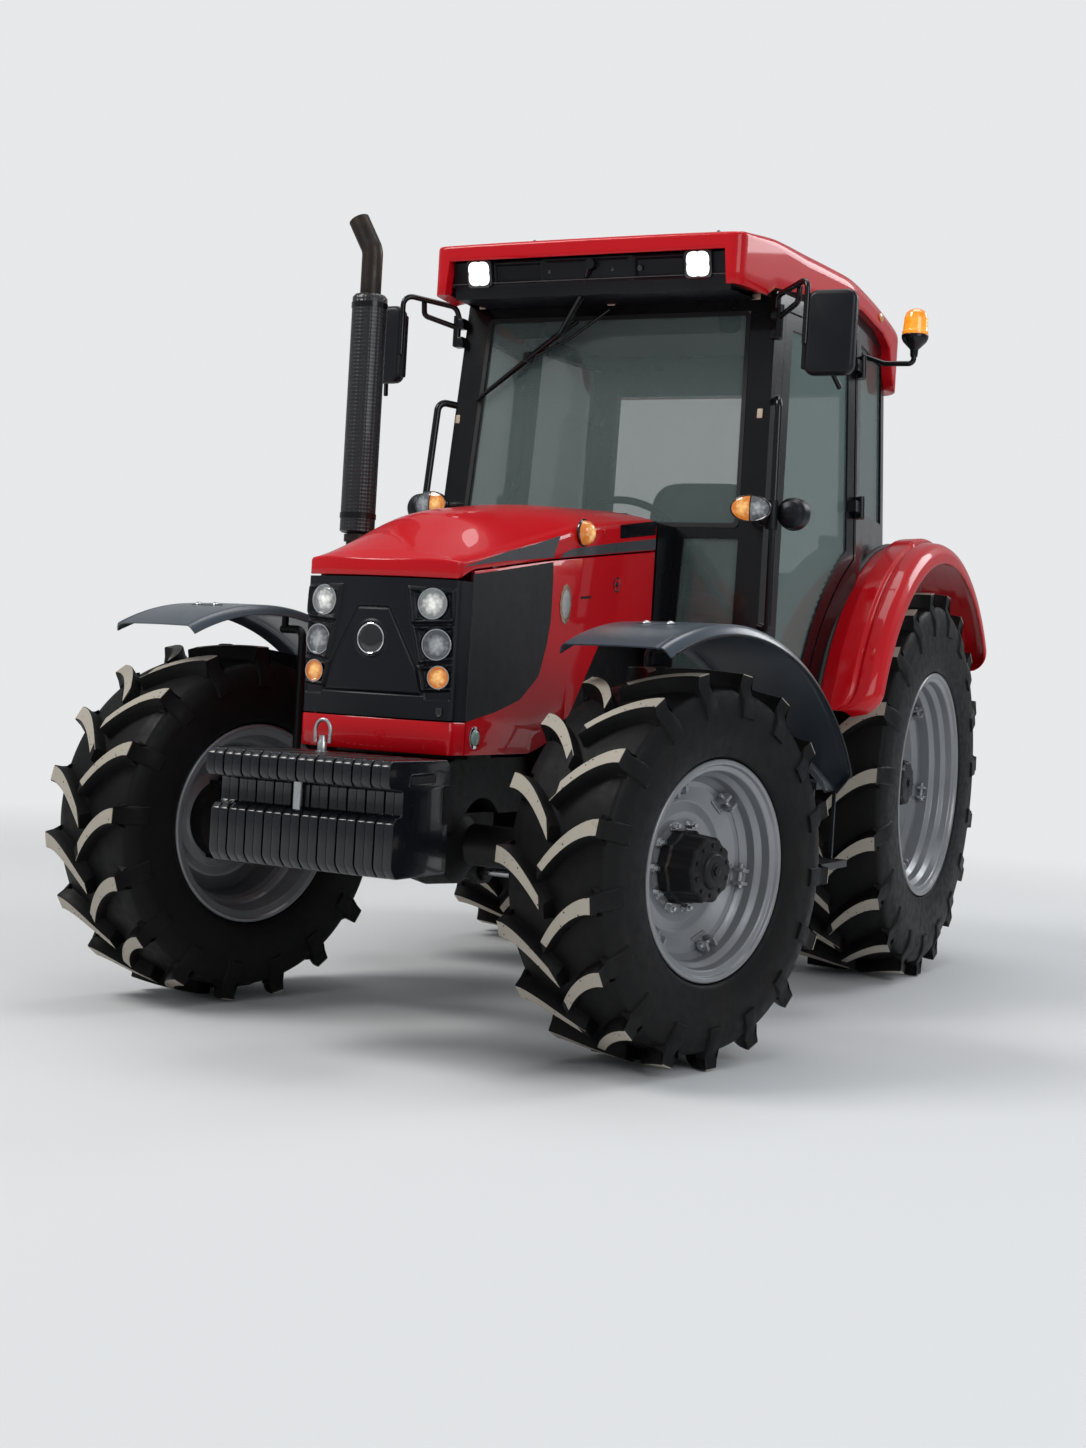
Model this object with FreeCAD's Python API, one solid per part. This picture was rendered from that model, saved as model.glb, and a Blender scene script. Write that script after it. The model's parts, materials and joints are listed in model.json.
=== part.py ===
"""Farm tractor with cab, front weights, tilting hood, steered front wheels and rear lift.

Millimetres. +Z is up, the tractor faces -Y, +X is its left side. The origin lies on the floor
under the middle of the bounding box. The front wheels stand turned to the right, as parked.
"""
import FreeCAD
import Part
import math
import os

V = FreeCAD.Vector

# Main sizes
WHEELBASE = 2420.0
FRONT_REACH = 820.0          # front axle to the face of the front weights
REAR_REACH = 950.0           # rear axle to the eyes of the lower links
FRONT_AXLE_Z = 592.0
REAR_AXLE_Z = 790.0
FRONT_Y = FRONT_REACH - (FRONT_REACH + WHEELBASE + REAR_REACH) / 2.0
REAR_Y = FRONT_Y + WHEELBASE
FIT = 0.3                    # gap between pieces that touch on the real tractor
RUN = 0.05                   # radial clearance of a running fit
CLEAR = 6.0                  # gap between a door or lid and its frame

# Steering
KINGPIN_X = 775.0
STEER_ANGLE = 15.5           # degrees to the right of straight ahead
ARM_LENGTH = 150.0           # kingpin to the tie rod ball
KINGPIN_R = 24.0

# Tyres: width, radii of rim seat, tread and lug top, and the number of lugs on each side
WHEELS = {
    "front": {
        "seat": 305.0, "flange": 330.0, "rim_half": 171.0, "bulge": 190.0, "bulge_r": 455.0,
        "tread": 549.0, "shoulder": 541.0, "tread_half": 178.0, "lug_h": 43.0, "lugs": 17,
        "lug_half": 15.0, "lag": 128.0, "sides": 24,
    },
    "rear": {
        "seat": 432.0, "flange": 457.0, "rim_half": 215.0, "bulge": 230.0, "bulge_r": 610.0,
        "tread": 744.0, "shoulder": 733.0, "tread_half": 216.0, "lug_h": 47.0, "lugs": 19,
        "lug_half": 18.0, "lag": 165.0, "sides": 24,
    },
}
FRONT_OFFSET = 50.0          # middle of the front tyre, outboard of the kingpin
REAR_TRACK_HALF = 744.0

# Hood, measured along Y from the front axle
HOOD_WALL = 8.0
HOOD_SPLIT_Y = -330.0        # nose ahead of it, side panels behind it
HOOD_REAR_Y = WHEELBASE - 1530.0
NOSE_Z0 = 985.0              # bottom of the black moulding
NOSE_Z1 = 1400.0             # its top
SKIRT_Z = 885.0

# Cab shell: planes that lean and narrow
CAB_DATUM_Y = 2420.0         # the cab's places are measured from this far ahead of the rear axle
CAB_WALL = 52.0
CAB_FLOOR_Z = 1030.0
CAB_ROOF_Z = 2560.0
PANE = 6.0
PANE_INSET = 9.0
PILLAR_A = 62.0
PILLAR_B = 78.0
DOOR_WALL = 36.0

# Fenders of the rear wheels, radii about the rear axle
FENDER_R = 985.0
FENDER_IN_R = FENDER_R - 30.0
FENDER_LIP_R = FENDER_R - 70.0
FENDER_WALL = 10.0
FENDER_IN_X = 480.0
FENDER_OUT_X = 985.0
FENDER_SEAM_X = 742.0        # where the cab's side stands on the fender
FENDER_FRONT = 17.0          # front end, degrees above the axle
FENDER_BACK = 32.0           # rear end


def fy(y):
    """Turns a distance behind the front axle into a place along Y."""
    return FRONT_Y + y


def cy(y):
    """Turns a distance behind the cab's datum, which stays with the rear axle, into a place."""
    return REAR_Y - CAB_DATUM_Y + y


def ry(y):
    """Turns a distance behind the rear axle into a place along Y."""
    return REAR_Y + y


def box(x0, x1, y0, y1, z0, z1):
    x0, x1 = min(x0, x1), max(x0, x1)
    return Part.makeBox(x1 - x0, y1 - y0, z1 - z0, V(x0, y0, z0))


def rod(start, end, radius):
    """A round bar between two points."""
    run = end - start
    return Part.makeCylinder(radius, run.Length, start, run)


def fuse(shapes):
    whole = shapes[0]
    if len(shapes) > 1:
        whole = whole.multiFuse(shapes[1:])
    return whole.removeSplitter()


def mirrored(shape):
    """The same piece on the other side of the tractor."""
    return shape.mirror(V(0, 0, 0), V(1, 0, 0))


def face_of(points):
    """A flat face; a point given as a pair (middle, end) is reached by an arc."""
    edges = []
    last = points[0]
    for item in points[1:] + points[:1]:
        if isinstance(item, tuple):
            middle, end = item
            edges.append(Part.Arc(last, middle, end).toShape())
        else:
            end = item
            if last.distanceToPoint(end) > 1e-6:
                edges.append(Part.LineSegment(last, end).toShape())
        last = end
    return Part.Face(Part.Wire(edges))


def place_pairs(pairs, make):
    """Makes points of pairs; an item of two pairs is an arc's middle and end."""
    points = []
    for item in pairs:
        if isinstance(item[0], tuple):
            points.append((make(*item[0]), make(*item[1])))
        else:
            points.append(make(*item))
    return points


def prism_x(pairs, x0, x1):
    """Outline in (y, z), from x0 to x1."""
    return face_of(place_pairs(pairs, lambda y, z: V(x0, y, z))).extrude(V(x1 - x0, 0, 0))


def prism_y(pairs, y0, y1):
    """Outline in (x, z), from y0 to y1."""
    return face_of(place_pairs(pairs, lambda x, z: V(x, y0, z))).extrude(V(0, y1 - y0, 0))


def prism_z(pairs, z0, z1):
    """Outline in (x, y), from z0 to z1."""
    return face_of(place_pairs(pairs, lambda x, y: V(x, y, z0))).extrude(V(0, 0, z1 - z0))


def turned(pairs, origin, axis):
    """Outline in (distance along the axis, radius), turned about the axis."""
    points = place_pairs(pairs, lambda a, r: V(a, r, 0))
    solid = face_of(points).revolve(V(0, 0, 0), V(1, 0, 0), 360)
    if solid.Volume < 0:
        solid.reverse()
    solid.Placement = FreeCAD.Placement(origin, FreeCAD.Rotation(V(1, 0, 0), axis))
    return solid


def bent_tube(points, bend, radius):
    """A round tube along straight runs joined by arcs of one bend radius."""
    edges = []
    last = points[0]
    for before, corner, after in zip(points, points[1:], points[2:]):
        back = (before - corner).normalize()
        ahead = (after - corner).normalize()
        half = back.getAngle(ahead) / 2.0
        reach = bend / math.tan(half)
        start = corner + back * reach
        end = corner + ahead * reach
        inward = (back + ahead).normalize()
        middle = corner + inward * (bend / math.sin(half) - bend)
        edges.append(Part.LineSegment(last, start).toShape())
        edges.append(Part.Arc(start, middle, end).toShape())
        last = end
    edges.append(Part.LineSegment(last, points[-1]).toShape())
    path = Part.Wire(edges)
    ring = Part.Wire(Part.Circle(points[0], points[1] - points[0], radius).toShape())
    return path.makePipeShell([ring], True, False)


def behind_plane(point, normal, reach=6000.0):
    """The half of space on the side of a plane away from its normal."""
    block = Part.makeBox(reach, reach, reach, V(-reach / 2.0, -reach / 2.0, -reach))
    block.Placement = FreeCAD.Placement(point, FreeCAD.Rotation(V(0, 0, 1), normal))
    return block


# Tyres and wheels

# One lug from the middle of the tread out to the shoulder. Columns: place across the tread as a
# share of its half width, lag behind the lug's nose as a share of the whole lag, half width as a
# share, and height as a share of the lug's height.
LUG_STATIONS = (
    (-0.05, 0.0, 1.0, 1.0),
    (0.91, 1.0, 1.3, 0.85),
)
LUG_FOOT = 1.35              # foot of a lug, wider than its top
LUG_SINK = 24.0              # its foot stands this deep in the tread


def wheel_point(angle, axial, radius):
    """A point on a wheel about the X axis; angle from straight ahead (-Y) towards the top."""
    return V(axial, -radius * math.cos(angle), radius * math.sin(angle))


def hull_faces(rings):
    """Triangles and flat ends round a row of four-cornered rings."""
    faces = []
    for one, two in zip(rings, rings[1:]):
        for side in range(4):
            a, b = one[side], one[(side + 1) % 4]
            c, d = two[(side + 1) % 4], two[side]
            faces.append(Part.Face(Part.makePolygon([a, b, c, a])))
            faces.append(Part.Face(Part.makePolygon([a, c, d, a])))
    for ring in (rings[0], rings[-1]):
        a, b, c, d = ring
        faces.append(Part.Face(Part.makePolygon([a, b, c, a])))
        faces.append(Part.Face(Part.makePolygon([a, c, d, a])))
    return faces


def solid_of(faces):
    solid = Part.Solid(Part.Shell(faces))
    if solid.Volume < 0:
        solid.reverse()
    return solid


def make_lug(size, start, side):
    """One lug; side is 1 or -1, start is the angle of its nose."""
    rings = []
    top_r = size["tread"] + size["lug_h"]
    for share, lag, wide, high in LUG_STATIONS:
        axial = side * share * size["tread_half"]
        radius = size["tread"] + size["lug_h"] * high
        middle = start + lag * size["lag"] / top_r
        half = size["lug_half"] * wide / top_r
        foot_r = size["tread"] - LUG_SINK
        foot = half * LUG_FOOT
        rings.append([
            wheel_point(middle - foot, axial, foot_r),
            wheel_point(middle + foot, axial, foot_r),
            wheel_point(middle + half, axial, radius),
            wheel_point(middle - half, axial, radius),
        ])
    return solid_of(hull_faces(rings))


def make_tyre(size):
    """A tyre about the X axis: a ring of flat sides with slanted lugs."""
    half = size["tread_half"]
    # Section: axial place, radius
    step = 2.0 * math.pi / size["sides"]
    bead_r = (size["seat"] + FIT) / math.cos(step / 2.0)
    section = (
        (-size["rim_half"] + 22.0, bead_r),
        (-size["bulge"], size["bulge_r"]),
        (-half * 0.92, size["shoulder"]),
        (half * 0.92, size["shoulder"]),
        (size["bulge"], size["bulge_r"]),
        (size["rim_half"] - 22.0, bead_r),
    )
    faces = []
    for number in range(size["sides"]):
        here, there = number * step, (number + 1) * step
        for (a0, r0), (a1, r1) in zip(section, section[1:] + section[:1]):
            quad = [
                wheel_point(here, a0, r0), wheel_point(here, a1, r1),
                wheel_point(there, a1, r1), wheel_point(there, a0, r0),
            ]
            faces.append(Part.Face(Part.makePolygon(quad + quad[:1])))
    ring = solid_of(faces)
    lug_step = 2.0 * math.pi / size["lugs"]
    phase = -math.pi / 2.0 + lug_step / 4.0
    lugs = []
    for number in range(size["lugs"]):
        lugs.append(make_lug(size, phase + number * lug_step, 1))
        lugs.append(make_lug(size, phase + (number + 0.5) * lug_step, -1))
    return ring.multiFuse(lugs)


def make_rim(size, disc_at, disc_hole, hub):
    """A rim with its flanges, dished disc and hub about the X axis; +X is the outer side."""
    half = size["rim_half"]
    seat = size["seat"]
    flange = size["flange"]
    well = seat - 42.0
    barrel = turned((
        (-half, flange), (-half, flange - 9.0), (-half + 16.0, seat - 14.0), (-half * 0.35, well - 8.0),
        (half * 0.45, well - 8.0), (half - 26.0, seat - 16.0), (half, flange - 9.0), (half, flange),
        (half - 10.0, flange), (half - 20.0, seat - FIT), (half * 0.50, seat - FIT), (half * 0.40, well),
        (-half * 0.40, well), (-half * 0.55, seat - FIT), (-half + 20.0, seat - FIT), (-half + 10.0, flange),
    ), V(0, 0, 0), V(1, 0, 0))
    disc = turned((
        (disc_at, 0.0), (disc_at, disc_hole), (disc_at + 26.0, well - 60.0), (disc_at + 26.0, well - 7.0),
        (disc_at + 12.0, well - 7.0), (disc_at + 12.0, well - 64.0), (disc_at - 14.0, disc_hole),
        (disc_at - 14.0, 0.0),
    ), V(0, 0, 0), V(1, 0, 0))
    holes = []
    for number in range(8):
        turn = math.radians(number * 45.0 + 22.5)
        centre = V(disc_at - 60.0, math.cos(turn) * (disc_hole + 42.0), math.sin(turn) * (disc_hole + 42.0))
        holes.append(Part.makeCylinder(17.0, 160.0, centre, V(1, 0, 0)))
    disc = disc.cut(Part.Compound(holes))
    hub_solid = turned(hub, V(0, 0, 0), V(1, 0, 0))
    return fuse([barrel, disc, hub_solid])


def wheel_placement(kind, side):
    """Places a left wheel; the right one is turned half round the upright axis."""
    if kind == "rear":
        turn = 0.0 if side > 0 else 180.0
        return FreeCAD.Placement(V(side * REAR_TRACK_HALF, REAR_Y, REAR_AXLE_Z), FreeCAD.Rotation(V(0, 0, 1), turn))
    turn = -STEER_ANGLE if side > 0 else 180.0 - STEER_ANGLE
    rotation = FreeCAD.Rotation(V(0, 0, 1), turn)
    centre = V(side * KINGPIN_X, FRONT_Y, FRONT_AXLE_Z) + rotation.multVec(V(FRONT_OFFSET, 0, 0))
    return FreeCAD.Placement(centre, rotation)


# Hub outlines: place along the axle from the middle of the tyre, radius
FRONT_DISC = 28.0
FRONT_HUB = (
    (FRONT_DISC - 14.0, 0.0), (FRONT_DISC - 14.0, 118.0), (FRONT_DISC + 34.0, 118.0), (FRONT_DISC + 40.0, 100.0),
    (FRONT_DISC + 118.0, 92.0), (FRONT_DISC + 124.0, 60.0), (FRONT_DISC + 142.0, 52.0), (FRONT_DISC + 142.0, 0.0),
)
REAR_DISC = 30.0
REAR_HUB = (
    (REAR_DISC - 14.0, 0.0), (REAR_DISC - 14.0, 140.0), (REAR_DISC + 30.0, 140.0), (REAR_DISC + 36.0, 92.0),
    (REAR_DISC + 90.0, 84.0), (REAR_DISC + 96.0, 0.0),
)


def wheels():
    """Rims and tyres of the four wheels."""
    nodes = {}
    for kind, disc_at, hole, hub in (
        ("front", FRONT_DISC, 130.0, FRONT_HUB),
        ("rear", REAR_DISC, 160.0, REAR_HUB),
    ):
        size = WHEELS[kind]
        tyre = make_tyre(size)
        rim = make_rim(size, disc_at, hole, hub)
        for name, side in (("left", 1), ("right", -1)):
            place = wheel_placement(kind, side)
            body = tyre
            if side < 0:
                # The tread of the right tyre mirrors that of the left one.
                body = tyre.mirror(V(0, 0, 0), V(1, 0, 0)).rotate(V(0, 0, 0), V(0, 0, 1), 180)
            for what, shape in (("tyre", body), ("rim", rim)):
                copy = shape.copy()
                copy.Placement = place.multiply(copy.Placement)
                nodes["%s_%s_%s" % (kind, what, name)] = copy
    return nodes


# Axles, knuckles and steering

AXLE_Z = FRONT_AXLE_Z
SUPPORT_BELLY = 690.0        # underside of the front support, where the axle hangs
SUPPORT_TOP = 868.0
BEAM_END = 690.0             # where the beam meets the kingpin boss
FORK_Z = 96.0                # height of the kingpin boss above and below the axle
FORK_T = 34.0                # thickness of the knuckle's arms
ARM_IN = 30.0                # the tie rod ball lies this far inside the kingpin
TIE_Z = AXLE_Z - FORK_Z - FIT - FORK_T - FIT     # top of the tie rods' eyes
TIE_EYE_T = 24.0
TIE_EYE_R = 20.0
BALL_R = 9.0
CYLINDER_Y = 150.0
CYLINDER_Z = TIE_Z + FIT + 34.0
CYLINDER_HALF = 125.0
CYLINDER_R = 32.0
PISTON_R = 13.0
PISTON_EYE = 300.0           # eye of the piston rod, from the middle when straight


def front_axle_beam():
    """Driven front axle: differential housing, tapered tubes and kingpin bosses."""
    parts = [
        turned((
            (-700.0, 0.0), (-700.0, 50.0), (-240.0, 66.0), (-130.0, 66.0), (-100.0, 120.0), (-10.0, 140.0),
            (90.0, 128.0), (140.0, 66.0), (240.0, 66.0), (700.0, 50.0), (700.0, 0.0),
        ), V(0, FRONT_Y, AXLE_Z), V(1, 0, 0)),
        box(-120, 120, fy(-170), fy(170), AXLE_Z + 40, SUPPORT_BELLY - FIT),
    ]
    for side in (1, -1):
        parts.append(prism_x((
            (fy(0), AXLE_Z - 50), (fy(CYLINDER_Y - 40), CYLINDER_Z - 40), (fy(CYLINDER_Y + 40), CYLINDER_Z - 40),
            (fy(CYLINDER_Y + 40), CYLINDER_Z + 36), (fy(50), AXLE_Z + 20), (fy(0), AXLE_Z + 20),
        ), side * 88, side * 108))
    for side in (1, -1):
        parts.append(rod(
            V(side * KINGPIN_X, FRONT_Y, AXLE_Z - FORK_Z),
            V(side * KINGPIN_X, FRONT_Y, AXLE_Z + FORK_Z), 56.0))
        parts.append(rod(V(side * 660, FRONT_Y, AXLE_Z), V(side * KINGPIN_X, FRONT_Y, AXLE_Z), 50.0))
    beam = fuse(parts)
    for side in (1, -1):
        beam = beam.cut(rod(
            V(side * KINGPIN_X, FRONT_Y, AXLE_Z - FORK_Z - 1),
            V(side * KINGPIN_X, FRONT_Y, AXLE_Z + FORK_Z + 1), KINGPIN_R + RUN))
    return beam.cut(rod(V(-200, fy(CYLINDER_Y), CYLINDER_Z), V(200, fy(CYLINDER_Y), CYLINDER_Z), CYLINDER_R + FIT))


def steering_gear():
    """Axle with its steering cylinder, the through rod, and the tie rods at their parked places."""
    y = fy(CYLINDER_Y)
    barrel = rod(V(-CYLINDER_HALF, y, CYLINDER_Z), V(CYLINDER_HALF, y, CYLINDER_Z), CYLINDER_R)
    barrel = barrel.cut(rod(V(-200, y, CYLINDER_Z), V(200, y, CYLINDER_Z), PISTON_R + RUN))
    shift = ARM_LENGTH * math.sin(math.radians(STEER_ANGLE))
    ends = PISTON_EYE - 8.0
    piston = [rod(V(shift - ends, y, CYLINDER_Z), V(shift + ends, y, CYLINDER_Z), PISTON_R)]
    for side in (1, -1):
        eye = V(shift + side * PISTON_EYE, y, TIE_Z + FIT)
        piston.append(rod(eye, eye + V(0, 0, 34.0 + PISTON_R), 22.0))
    nodes = {"front_axle_beam": Part.Compound([front_axle_beam(), barrel]), "steering_rod": fuse(piston)}
    for name, side in (("left", 1), ("right", -1)):
        ball = tie_ball(side)
        inner = V(shift + side * PISTON_EYE, ball.y, ball.z)
        mid = V(0, 0, -TIE_EYE_T / 2.0)
        tie = fuse([
            rod(ball, ball - V(0, 0, TIE_EYE_T), TIE_EYE_R),
            rod(inner, inner - V(0, 0, TIE_EYE_T), TIE_EYE_R),
            rod(ball + mid, inner + mid, 11.0),
        ])
        nodes["tie_rod_" + name] = tie.cut(rod(ball + V(0, 0, 9), ball - V(0, 0, 60), BALL_R + RUN))
    return nodes


def tie_ball(side):
    """Place of a tie rod's ball with the wheels as parked."""
    ball = V(side * (KINGPIN_X - ARM_IN), fy(ARM_LENGTH), TIE_Z)
    pivot = V(side * KINGPIN_X, FRONT_Y, TIE_Z)
    return pivot + FreeCAD.Rotation(V(0, 0, 1), -STEER_ANGLE).multVec(ball - pivot)


def knuckle():
    """Left knuckle in the straight position: kingpin, fork, hub carrier, steering arm."""
    low = AXLE_Z - FORK_Z - FIT
    top = AXLE_Z + FORK_Z + FIT
    kx = KINGPIN_X
    hub_face = FRONT_OFFSET + FRONT_DISC - 14.0 - FIT
    parts = [
        rod(V(kx, FRONT_Y, low - FORK_T), V(kx, FRONT_Y, top + FORK_T), KINGPIN_R),
        rod(V(kx, FRONT_Y, low - FORK_T), V(kx, FRONT_Y, low), 60.0),
        rod(V(kx, FRONT_Y, top), V(kx, FRONT_Y, top + FORK_T), 60.0),
        box(kx, kx + hub_face, fy(-58), fy(58), low - FORK_T, low),
        box(kx, kx + hub_face, fy(-58), fy(58), top, top + FORK_T),
    ]
    # The hub carrier closes the fork outside the kingpin boss.
    carrier = Part.makeCylinder(132.0, hub_face, V(kx, FRONT_Y, AXLE_Z), V(1, 0, 0))
    carrier = carrier.cut(rod(V(kx, FRONT_Y, low - 200), V(kx, FRONT_Y, top + 200), 60.0))
    carrier = carrier.common(box(kx + 8, kx + hub_face, fy(-140), fy(140), low - FORK_T, top + FORK_T))
    parts.append(carrier)
    ball = V(kx - ARM_IN, fy(ARM_LENGTH), low - FORK_T)
    parts.append(prism_z((
        (kx - 58, FRONT_Y), (ball.x - 24, ball.y), ((ball.x, ball.y + 24), (ball.x + 24, ball.y)),
        (kx + 58, FRONT_Y),
    ), low - FORK_T, low))
    parts.append(rod(ball + V(0, 0, 2), ball - V(0, 0, FIT + TIE_EYE_T), BALL_R))
    return fuse(parts)


FENDER_F_R = 728.0           # outer radius of the front fender about the wheel
FENDER_F_WALL = 7.0
FENDER_F_HALF = 208.0
FENDER_F_CREST = 100.0       # degrees from the rear horizon to the front edge
FENDER_F_TAIL = 19.0         # outer rear end above the rear horizon
FENDER_F_CORNER = 80.0       # its outer rear corner is cut off by this much
FENDER_F_INNER_TAIL = 42.0   # inner rear end, cut back to clear the engine
FENDER_STRAP_Y = 110.0       # strap under the front fender, behind the axle


def front_fender():
    """Left front fender in the straight position, an arched sheet over the wheel."""
    middle = KINGPIN_X + FRONT_OFFSET
    centre = V(middle, FRONT_Y, AXLE_Z)
    radius = FENDER_F_R
    half = FENDER_F_HALF
    outer = turned((
        (-half, radius - 34.0), (-half + 26.0, radius - 3.0), (0.0, radius), (half - 30.0, radius - 3.0),
        (half, radius - 46.0), (half - 7.0, radius - 48.0), (half - 34.0, radius - FENDER_F_WALL - 3.0),
        (0.0, radius - FENDER_F_WALL), (-half + 29.0, radius - FENDER_F_WALL - 3.0),
        (-half + 7.0, radius - 36.0),
    ), centre, V(1, 0, 0))
    # Cutting prisms keep the arc from the crest to the tail.
    reach = radius + 200.0
    front = math.radians(FENDER_F_CREST)
    tail = math.radians(FENDER_F_TAIL)
    keep = prism_x((
        (FRONT_Y, AXLE_Z),
        (FRONT_Y + reach * math.cos(tail), AXLE_Z + reach * math.sin(tail)),
        (FRONT_Y + reach, AXLE_Z + reach),
        (FRONT_Y + reach * math.cos(front), AXLE_Z + reach * math.sin(front)),
    ), middle - half - 5, middle + half + 5)
    arc = outer.common(keep)
    inner_tail = math.radians(FENDER_F_INNER_TAIL)
    y_in = FRONT_Y + radius * math.cos(inner_tail)
    y_out = FRONT_Y + radius * math.cos(tail) + 30.0
    corner = prism_z((
        (middle - half - 10, y_in), (middle + half * 0.55, y_out), (middle + half * 0.55, y_out + 200),
        (middle - half - 10, y_out + 200),
    ), AXLE_Z, AXLE_Z + radius)
    z_tail = AXLE_Z + (radius - 40.0) * math.sin(tail)
    outer_corner = prism_y((
        (middle + half + 1, z_tail + FENDER_F_CORNER), (middle + half + 1, z_tail - 40),
        (middle + half - FENDER_F_CORNER - 40, z_tail - 40),
    ), fy(400), fy(900))
    return arc.cut(corner).cut(outer_corner)


def fender_bracket():
    """Left bracket in the straight position: a bent tube up to a strap under the fender."""
    middle = KINGPIN_X + FRONT_OFFSET
    top = AXLE_Z + FORK_Z + FIT + FORK_T
    x = middle - WHEELS["front"]["bulge"] - 32.0
    under = FENDER_F_R - FENDER_F_WALL - FIT
    y = fy(FENDER_STRAP_Y)
    strap = turned((
        (-150.0, under - 14.0), (120.0, under - 14.0), (120.0, under - 2.0), (0.0, under), (-150.0, under - 2.5),
    ), V(middle, FRONT_Y, AXLE_Z), V(1, 0, 0))
    strap = strap.common(box(x - 30, middle + 150, y - 26, y + 26, AXLE_Z, AXLE_Z + FENDER_F_R))
    shelf = AXLE_Z + FENDER_F_R - 76.0
    post = bent_tube([
        V(KINGPIN_X - 20, FRONT_Y, top + 12), V(x, FRONT_Y, top + 12), V(x, y, top + 110),
        V(x, y, shelf), V(middle - 120, y, shelf),
    ], 30.0, 14.0)
    stud = rod(V(middle - 130, y, shelf), V(middle - 130, y, shelf + 46), 12.0)
    plate = box(KINGPIN_X - 40, KINGPIN_X + 40, fy(-40), fy(40), top - 12, top + 28)
    return fuse([post, plate, stud, strap])


def steered(shape, side):
    """Turns a straight left piece to its parked steering angle; the right one is its mirror."""
    turn = -STEER_ANGLE
    if side < 0:
        shape = mirrored(shape)
    copy = shape.copy()
    copy.rotate(V(side * KINGPIN_X, FRONT_Y, AXLE_Z), V(0, 0, 1), turn)
    return copy


def front_running_gear():
    """Axle and steering, knuckles with their brackets, and the front fenders."""
    nodes = steering_gear()
    straight = fuse([knuckle(), fender_bracket()])
    sheet = front_fender()
    for name, side in (("left", 1), ("right", -1)):
        nodes["knuckle_" + name] = steered(straight, side)
        nodes["front_fender_" + name] = steered(sheet, side)
    return nodes


# Chassis

WEIGHT_COUNT = 10
WEIGHT_PITCH = 61.5
WEIGHT_THICK = 58.0
# Side outline of one weight: place along Y from the front axle, height
WEIGHT_OUTLINE = (
    (-470, 545), (-770, 545), (-785, 560), (-785, 700), (-770, 714), (-738, 718), (-738, 792), (-806, 797),
    (-820, 810), (-820, 862), (-806, 876), (-490, 876), (-470, 856), (-470, 800), (-505, 800), (-505, 690),
    (-470, 690),
)


def weight_pin():
    """Lock pin with its ring, behind the front row of the weights."""
    x = -31.0
    pin = rod(V(x, fy(-640), 876 + FIT), V(x, fy(-640), 905), 11.0)
    ring = Part.makeTorus(26.0, 5.0, V(x, fy(-640), 932), V(0.2, 1, 0))
    return fuse([pin, ring])


def front_weights():
    """Ten suitcase weights side by side, hooked on the carrier, with their lock pin."""
    solids = []
    start = -WEIGHT_PITCH * (WEIGHT_COUNT - 1) / 2.0
    for number in range(WEIGHT_COUNT):
        middle = start + number * WEIGHT_PITCH
        outline = [(fy(y), z) for y, z in WEIGHT_OUTLINE]
        solids.append(prism_x(outline, middle - WEIGHT_THICK / 2.0, middle + WEIGHT_THICK / 2.0))
    return Part.Compound(solids + [weight_pin()])


def front_support():
    """Casting ahead of the engine with the weight carrier bar across its nose."""
    spine = prism_x((
        (fy(-440), 670), (fy(-440), 790), (fy(-180), SUPPORT_TOP), (fy(330), SUPPORT_TOP),
        (fy(330), SUPPORT_BELLY), (fy(-190), SUPPORT_BELLY), (fy(-190), 640), (fy(-400), 640),
    ), -165, 165)
    bar = box(-306, 306, fy(-505 + FIT), fy(-440), 690 + FIT, 800 - FIT)
    arch = rod(V(-125, FRONT_Y, AXLE_Z), V(165, FRONT_Y, AXLE_Z), 150.0)
    return fuse([spine, bar]).cut(arch)


GEAR_HALF = 235.0            # half width of the clutch housing
GEAR_TOP = 1000.0            # top of the transmission, which carries the cab


def transmission():
    """Transmission and rear axle centre casting from the engine to the rear axle."""
    return fuse([
        prism_x((
            (fy(1000), 520), (fy(1000), 960), (cy(1500), GEAR_TOP), (ry(REAR_FACE - 90), GEAR_TOP),
            (ry(REAR_FACE), 900), (ry(REAR_FACE), 600), (ry(REAR_FACE - 90), 520),
        ), -190, 190),
        box(-GEAR_HALF, GEAR_HALF, fy(1000), fy(1180), 560, 980),
    ] + rear_brackets()).cut(rod(V(0, ry(REAR_FACE - 20), PTO_Z), V(0, ry(REAR_FACE + 1), PTO_Z), PTO_R + RUN))


def rear_axle_housing():
    """Trumpet housings out to the rear hubs."""
    end = REAR_TRACK_HALF + REAR_DISC - 14.0 - FIT
    trumpet = turned((
        (190.0 , 0.0), (190.0, 175.0), (230.0, 175.0), (300.0, 120.0), (end - 60.0, 96.0), (end - 60.0, 130.0),
        (end, 130.0), (end, 0.0),
    ), V(0, REAR_Y, REAR_AXLE_Z), V(1, 0, 0))
    return Part.Compound([trumpet, mirrored(trumpet)])


ENGINE_TOP = 1360.0


def engine_block():
    """The engine as one plain block with its sump."""
    return prism_y((
        (-150, 600), (-190, 700), (-ENGINE_HALF, 900), (-ENGINE_HALF, 1300), (-200, ENGINE_TOP),
        (200, ENGINE_TOP), (ENGINE_HALF, 1300), (ENGINE_HALF, 900), (190, 700), (150, 600),
    ), fy(330), fy(1000))


def radiator_block():
    """Radiator and coolers behind the nose."""
    return box(-RADIATOR_HALF, RADIATOR_HALF, fy(-240), fy(-90), SUPPORT_TOP + FIT, 1400)


STEP_X0 = 560.0
STEP_X1 = 960.0


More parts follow.
